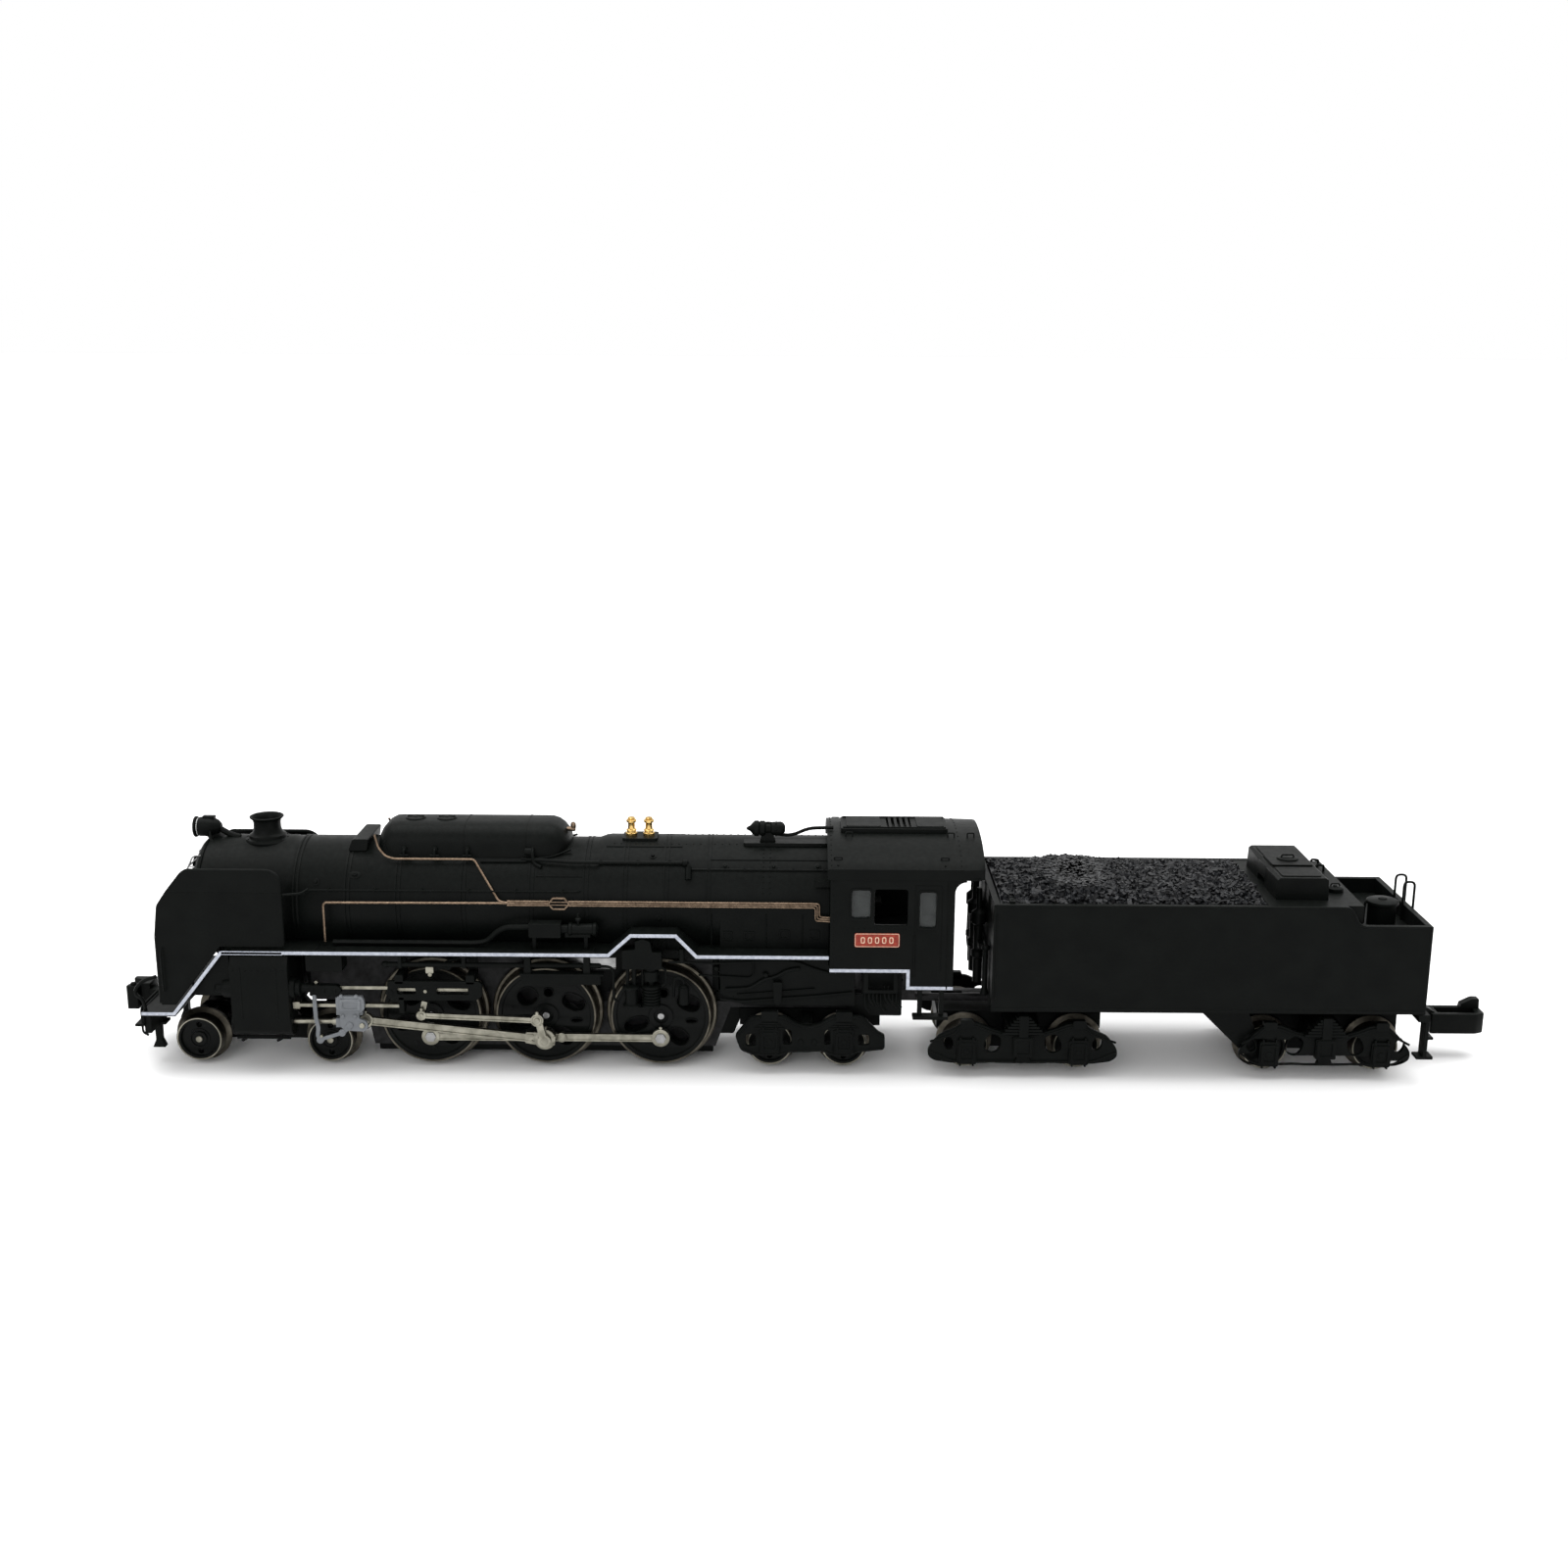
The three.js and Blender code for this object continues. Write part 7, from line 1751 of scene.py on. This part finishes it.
def tender_deck():
    """Toolbox, water filler, lids, ladder and the brake stand on the tank."""
    gear = Shape()
    profile = [(49.8, 20.4), (49.9, 22.7), (50.2, 22.95), (55.0, 22.95), (55.3, 22.7), (55.4, 20.4)]
    for y0, y1 in ((-6.5, -1.4), (1.4, 6.5)):
        gear.prism(profile, "y", y0, y1)
    gear.prism([(u, v if v > 21 else 21.3) for u, v in profile], "y", -1.6, 1.6)
    gear.prism(pane(50.4, 54.8, -2.2, 2.2, 0.3), "z", 22.85, 23.18)
    for y in (-4.2, 4.2):
        gear.prism(pane(50.5, 54.7, y - 1.7, y + 1.7, 0.3), "z", 22.9, 23.05)
    gear.turned([(1.15, 23.1), (1.15, 23.3), (0.95, 23.36), (0.3, 23.4)], "z", (52.6, 0.2), 28)
    gear.tube([(51.9, 0.2, 23.3), (52.0, 0.2, 23.62), (53.2, 0.2, 23.62), (53.3, 0.2, 23.3)], 0.1, bend=0.15)
    # water filler in the rear well
    filler_y = -3.0
    filler = [(1.5, 16.7), (1.5, 19.1), (1.72, 19.2), (1.72, 19.5), (1.5, 19.6), (0.5, 19.68), (0.45, 19.8),
              (0.2, 19.85)]
    gear.turned(filler, "z", (62.3, filler_y), 36)
    gear.tube([(61.0, filler_y, 19.45), (60.5, filler_y, 19.45), (60.4, filler_y, 18.6),
               (60.4, filler_y, 16.9)], 0.14)
    gear.box(63.5, 64.2, filler_y - 0.3, filler_y + 0.3, 19.2, 19.5)
    gear.turned([(0.9, 20.5), (0.9, 20.95), (0.75, 21.05), (0.25, 21.1), (0.2, 21.25)], "z", (57.0, -3.2), 24)
    gear.tube([(56.5, -3.2, 21.1), (56.6, -3.2, 21.4), (57.4, -3.2, 21.4), (57.5, -3.2, 21.1)], 0.08,
              bend=0.1)
    for y in (4.4, 6.6):
        gear.tube([(57.9, y, 20.45), (57.9, y, 21.2), (57.2, y, 21.3), (57.0, y, 20.9)], 0.14, bend=0.15)
    # brake stand and the platform plate at the front
    gear.turned([(0.5, 9.5), (0.42, 9.8), (0.3, 10.2), (0.28, 14.4), (0.45, 14.6), (0.45, 14.9),
                 (0.2, 15.05)], "z",
                (19.3, -5.8), 16)
    gear.tube([(19.3, -7.0, 15.1), (19.3, -4.6, 15.1)], 0.16)
    # water valve columns and pipes on the front wall
    for y, thick in ((-1.6, 0.5), (2.2, 0.6), (5.4, 0.45)):
        gear.turned([(thick, 9.4), (thick, 12.2), (thick + 0.25, 12.4), (thick + 0.25, 13.0), (thick, 13.2),
                     (thick, 16.0),
                     (thick + 0.3, 16.2), (thick + 0.3, 17.4), (thick * 0.6, 17.8), (thick * 0.6, 20.2)], "z",
                    (18.9, y), 18)
    gear.tube([(19.2, 7.0, 9.6), (18.7, 7.0, 11.0), (18.7, 6.4, 15.0), (19.4, 6.0, 19.6)], 0.3, bend=0.8)
    gear.tube([(19.3, -6.9, 15.1), (19.3, -6.9, 15.25)], 0.2)
    gear.prism(pane(18.8, 19.95, -3.2, 3.2, 0.2), "z", 13.6, 14.25)
    gear.finish("tender_top_gear", "black_plastic", "tender", bevel=0.06)
    loop = Shape()
    for y in (-1.4, 1.4):
        loop.tube([(65.05, y, 16.7), (65.05, y, 21.1), (66.2, y, 21.1), (66.2, y, 9.4), (65.8, y, 9.2)],
                  0.14, bend=0.5)
    for k in range(8):
        z = 10.0 + 1.05 * k
        loop.tube([(66.2, -1.4, z), (66.2, 1.4, z)], 0.1)
    loop.finish("tender_ladder_tops", "black_plastic", "tender", bevel=0)


def coal_heap():
    """Bed under the lumps, then thousands of small split chips with flat cleavage faces."""
    low, high = limits("coal_load")
    half = SIDE_Y - WALL - 0.1

    def surface(x, y):
        u = (x - low.x) / (high.x - low.x)
        crest = 0.7 + 1.1 * math.exp(-((u - 0.32) / 0.16) ** 2)
        return 20.35 + crest * max(1 - (abs(y) / half) ** 4, 0)

    bed = Shape()
    rings = []
    for i in range(28):
        x = low.x + (high.x - low.x) * i / 27
        edge = [(x, half * (2 * j / 14 - 1), surface(x, half * (2 * j / 14 - 1)) - 0.3) for j in range(15)]
        rings.append([(x, -half, low.z), *edge, (x, half, low.z)])
    bed.skin(rings)
    bed.finish("coal_bed", "coal", "tender", ["coal_load"], bevel=0)
    random.seed(7)
    chunks = Shape()
    for _ in range(5200):
        x = random.uniform(low.x + 0.3, high.x - 0.3)
        y = random.uniform(-half + 0.25, half - 0.25)
        long = random.uniform(0.22, 0.5)
        sizes = Vector((long, long * random.uniform(0.4, 0.7), long * random.uniform(0.3, 0.6)))
        middle = Vector((x, y, surface(x, y) - 0.2 + random.uniform(-0.08, 0.2)))
        axis = Vector((random.gauss(0, 1), random.gauss(0, 1), random.gauss(0, 2))).normalized()
        turn = Matrix.Rotation(random.uniform(0, math.tau), 3, axis)
        rings = []
        for end in (-1, 1):
            corners = []
            for u, v in ((-1, -1), (1, -1), (1, 1), (-1, 1)):
                corner = Vector((end, u, v)) * random.uniform(0.55, 1.0)
                point = middle + turn @ Vector(a * b for a, b in zip(corner, sizes))
                corners.append((point.x, max(min(point.y, half), -half), min(point.z, high.z)))
            rings.append(corners)
        chunks.skin(rings)
    chunks.finish("coal_chunks", "coal", "tender", bevel=0)


def tender_frame():
    under = Shape()
    under.box(TENDER_X0 + 0.3, TENDER_X1 - 0.2, -5.6, 5.6, 7.9, 8.65)
    under.box(65.2, 66.4, -SIDE_Y, SIDE_Y, 7.85, 8.65)
    for _, sign in SIDES:
        # rear steps
        under.prism(rounded([(65.3, 3.6), (67.1, 3.6), (67.1, 3.95), (66.4, 3.95), (66.4, 5.85),
                             (66.95, 5.85), (66.95, 6.15),
                             (66.4, 6.15), (66.4, 8.3), (65.2, 8.3), (65.2, 7.9), (66.0, 7.9), (66.0, 3.9),
                             (65.3, 3.9)], 0.05, 1),
                    "y", sign * 7.6, sign * 9.15)
    under.box(62.0, TENDER_X1, -2.2, 2.2, 7.25, 8.2)
    under.finish("tender_floor", "black_plastic", "tender", ["tender_underframe"], bevel=0.05)


def rear_coupler():
    """Hook coupler: sloping shank, narrow box head and an upright hook on its far corner."""
    _, high = limits("rear_coupler")
    hook = Shape()
    hook.prism([(62.4, 6.5), (67.2, 6.5), (69.9, 4.3), (69.9, 5.9), (67.8, 7.1), (62.4, 7.1)], "y", -0.9, 0.9)
    hook.turned([(0.6, 6.9), (0.6, 8.5)], "z", (63.6, 0), 20)
    hook.plate(rounded([(69.4, -1.5), (74.4, -1.5), (high.x, -1.0), (high.x, 1.5), (69.4, 1.5)], 0.25),
               [rounded([(70.3, -0.8), (74.4, -0.8), (74.6, 0.8), (70.3, 0.8)], 0.2)], "z", 3.55, 5.85,
               soft=0.08)
    hook.prism(rounded([(73.2, 5.8), (high.x - 0.1, 5.8), (high.x - 0.15, 6.95), (74.5, 6.95),
                        (73.3, 6.35)], 0.1),
               "y", 0.5, 1.45)
    hook.box(69.8, 74.6, -1.2, 1.2, 3.75, 4.3)
    hook.finish("hook_coupler", "black_plastic", "rear_coupler", ["rear_coupler"], bevel=0.06)


def keep_hidden_works():
    """Frame, motor and weights keep their CAD shape and get the finished materials."""
    for node, material in (("chassis", "zinc"), ("keeper_plate", "black_plastic"), ("motor_can", "zinc"),
                           ("motor_rotor", "steel"), ("tender_weight", "zinc")):
        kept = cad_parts[node]
        for slot in kept.material_slots:
            slot.material = MATERIALS[material]


# ------------------------------------------------------------ everything in place
camera()
studio()
floor()
boiler_shell()
boiler_bands()
firebox_rivets()
smokebox_front()
chimney()
headlight()
dome_casing()
whistle()
safety_valves()
generator()
front_deck()
front_coupler()
cab_walls()
backhead()
cab_roof()
cab_glass()
cab_white_edge()
cylinders()
rear_frame()
for side, sign in SIDES:
    boiler_side(side, sign)
    brass_pipes(side, sign)
    running_board(side, sign)
    under_board(side, sign)
    air_pump(side, sign)
    ejector(side, sign)
    firebox_pipes(side, sign)
    smoke_deflector(side, sign)
    number_plate(side, sign)
    slide_bar(side, sign)
    motion_bracket(side, sign)
    crosshead(side, sign)
    rods(side, sign)
    expansion_link(side, sign)
for axle in range(3):
    driver_metal(axle)
    for side, sign in SIDES:
        driver_centre(axle, side, sign)
for i, x in enumerate(LEAD_X):
    small_wheels(f"lead_wheels_{i + 1}", x, 0.15)
for i, x in enumerate(TRAIL_X):
    small_wheels(f"trailing_wheels_{i + 1}", x, 0.9)
for i, x in enumerate(TENDER_X):
    small_wheels(f"tender_wheels_{i + 1}", x, 1.2)
lead_truck()
trailing_truck()
tender_truck("tender_front_truck", TENDER_X[:2], 10.2, False)
tender_truck("tender_rear_truck", TENDER_X[2:], 9.2, True)
drawbar()
tender_body()
tender_deck()
coal_heap()
tender_frame()
rear_coupler()
keep_hidden_works()
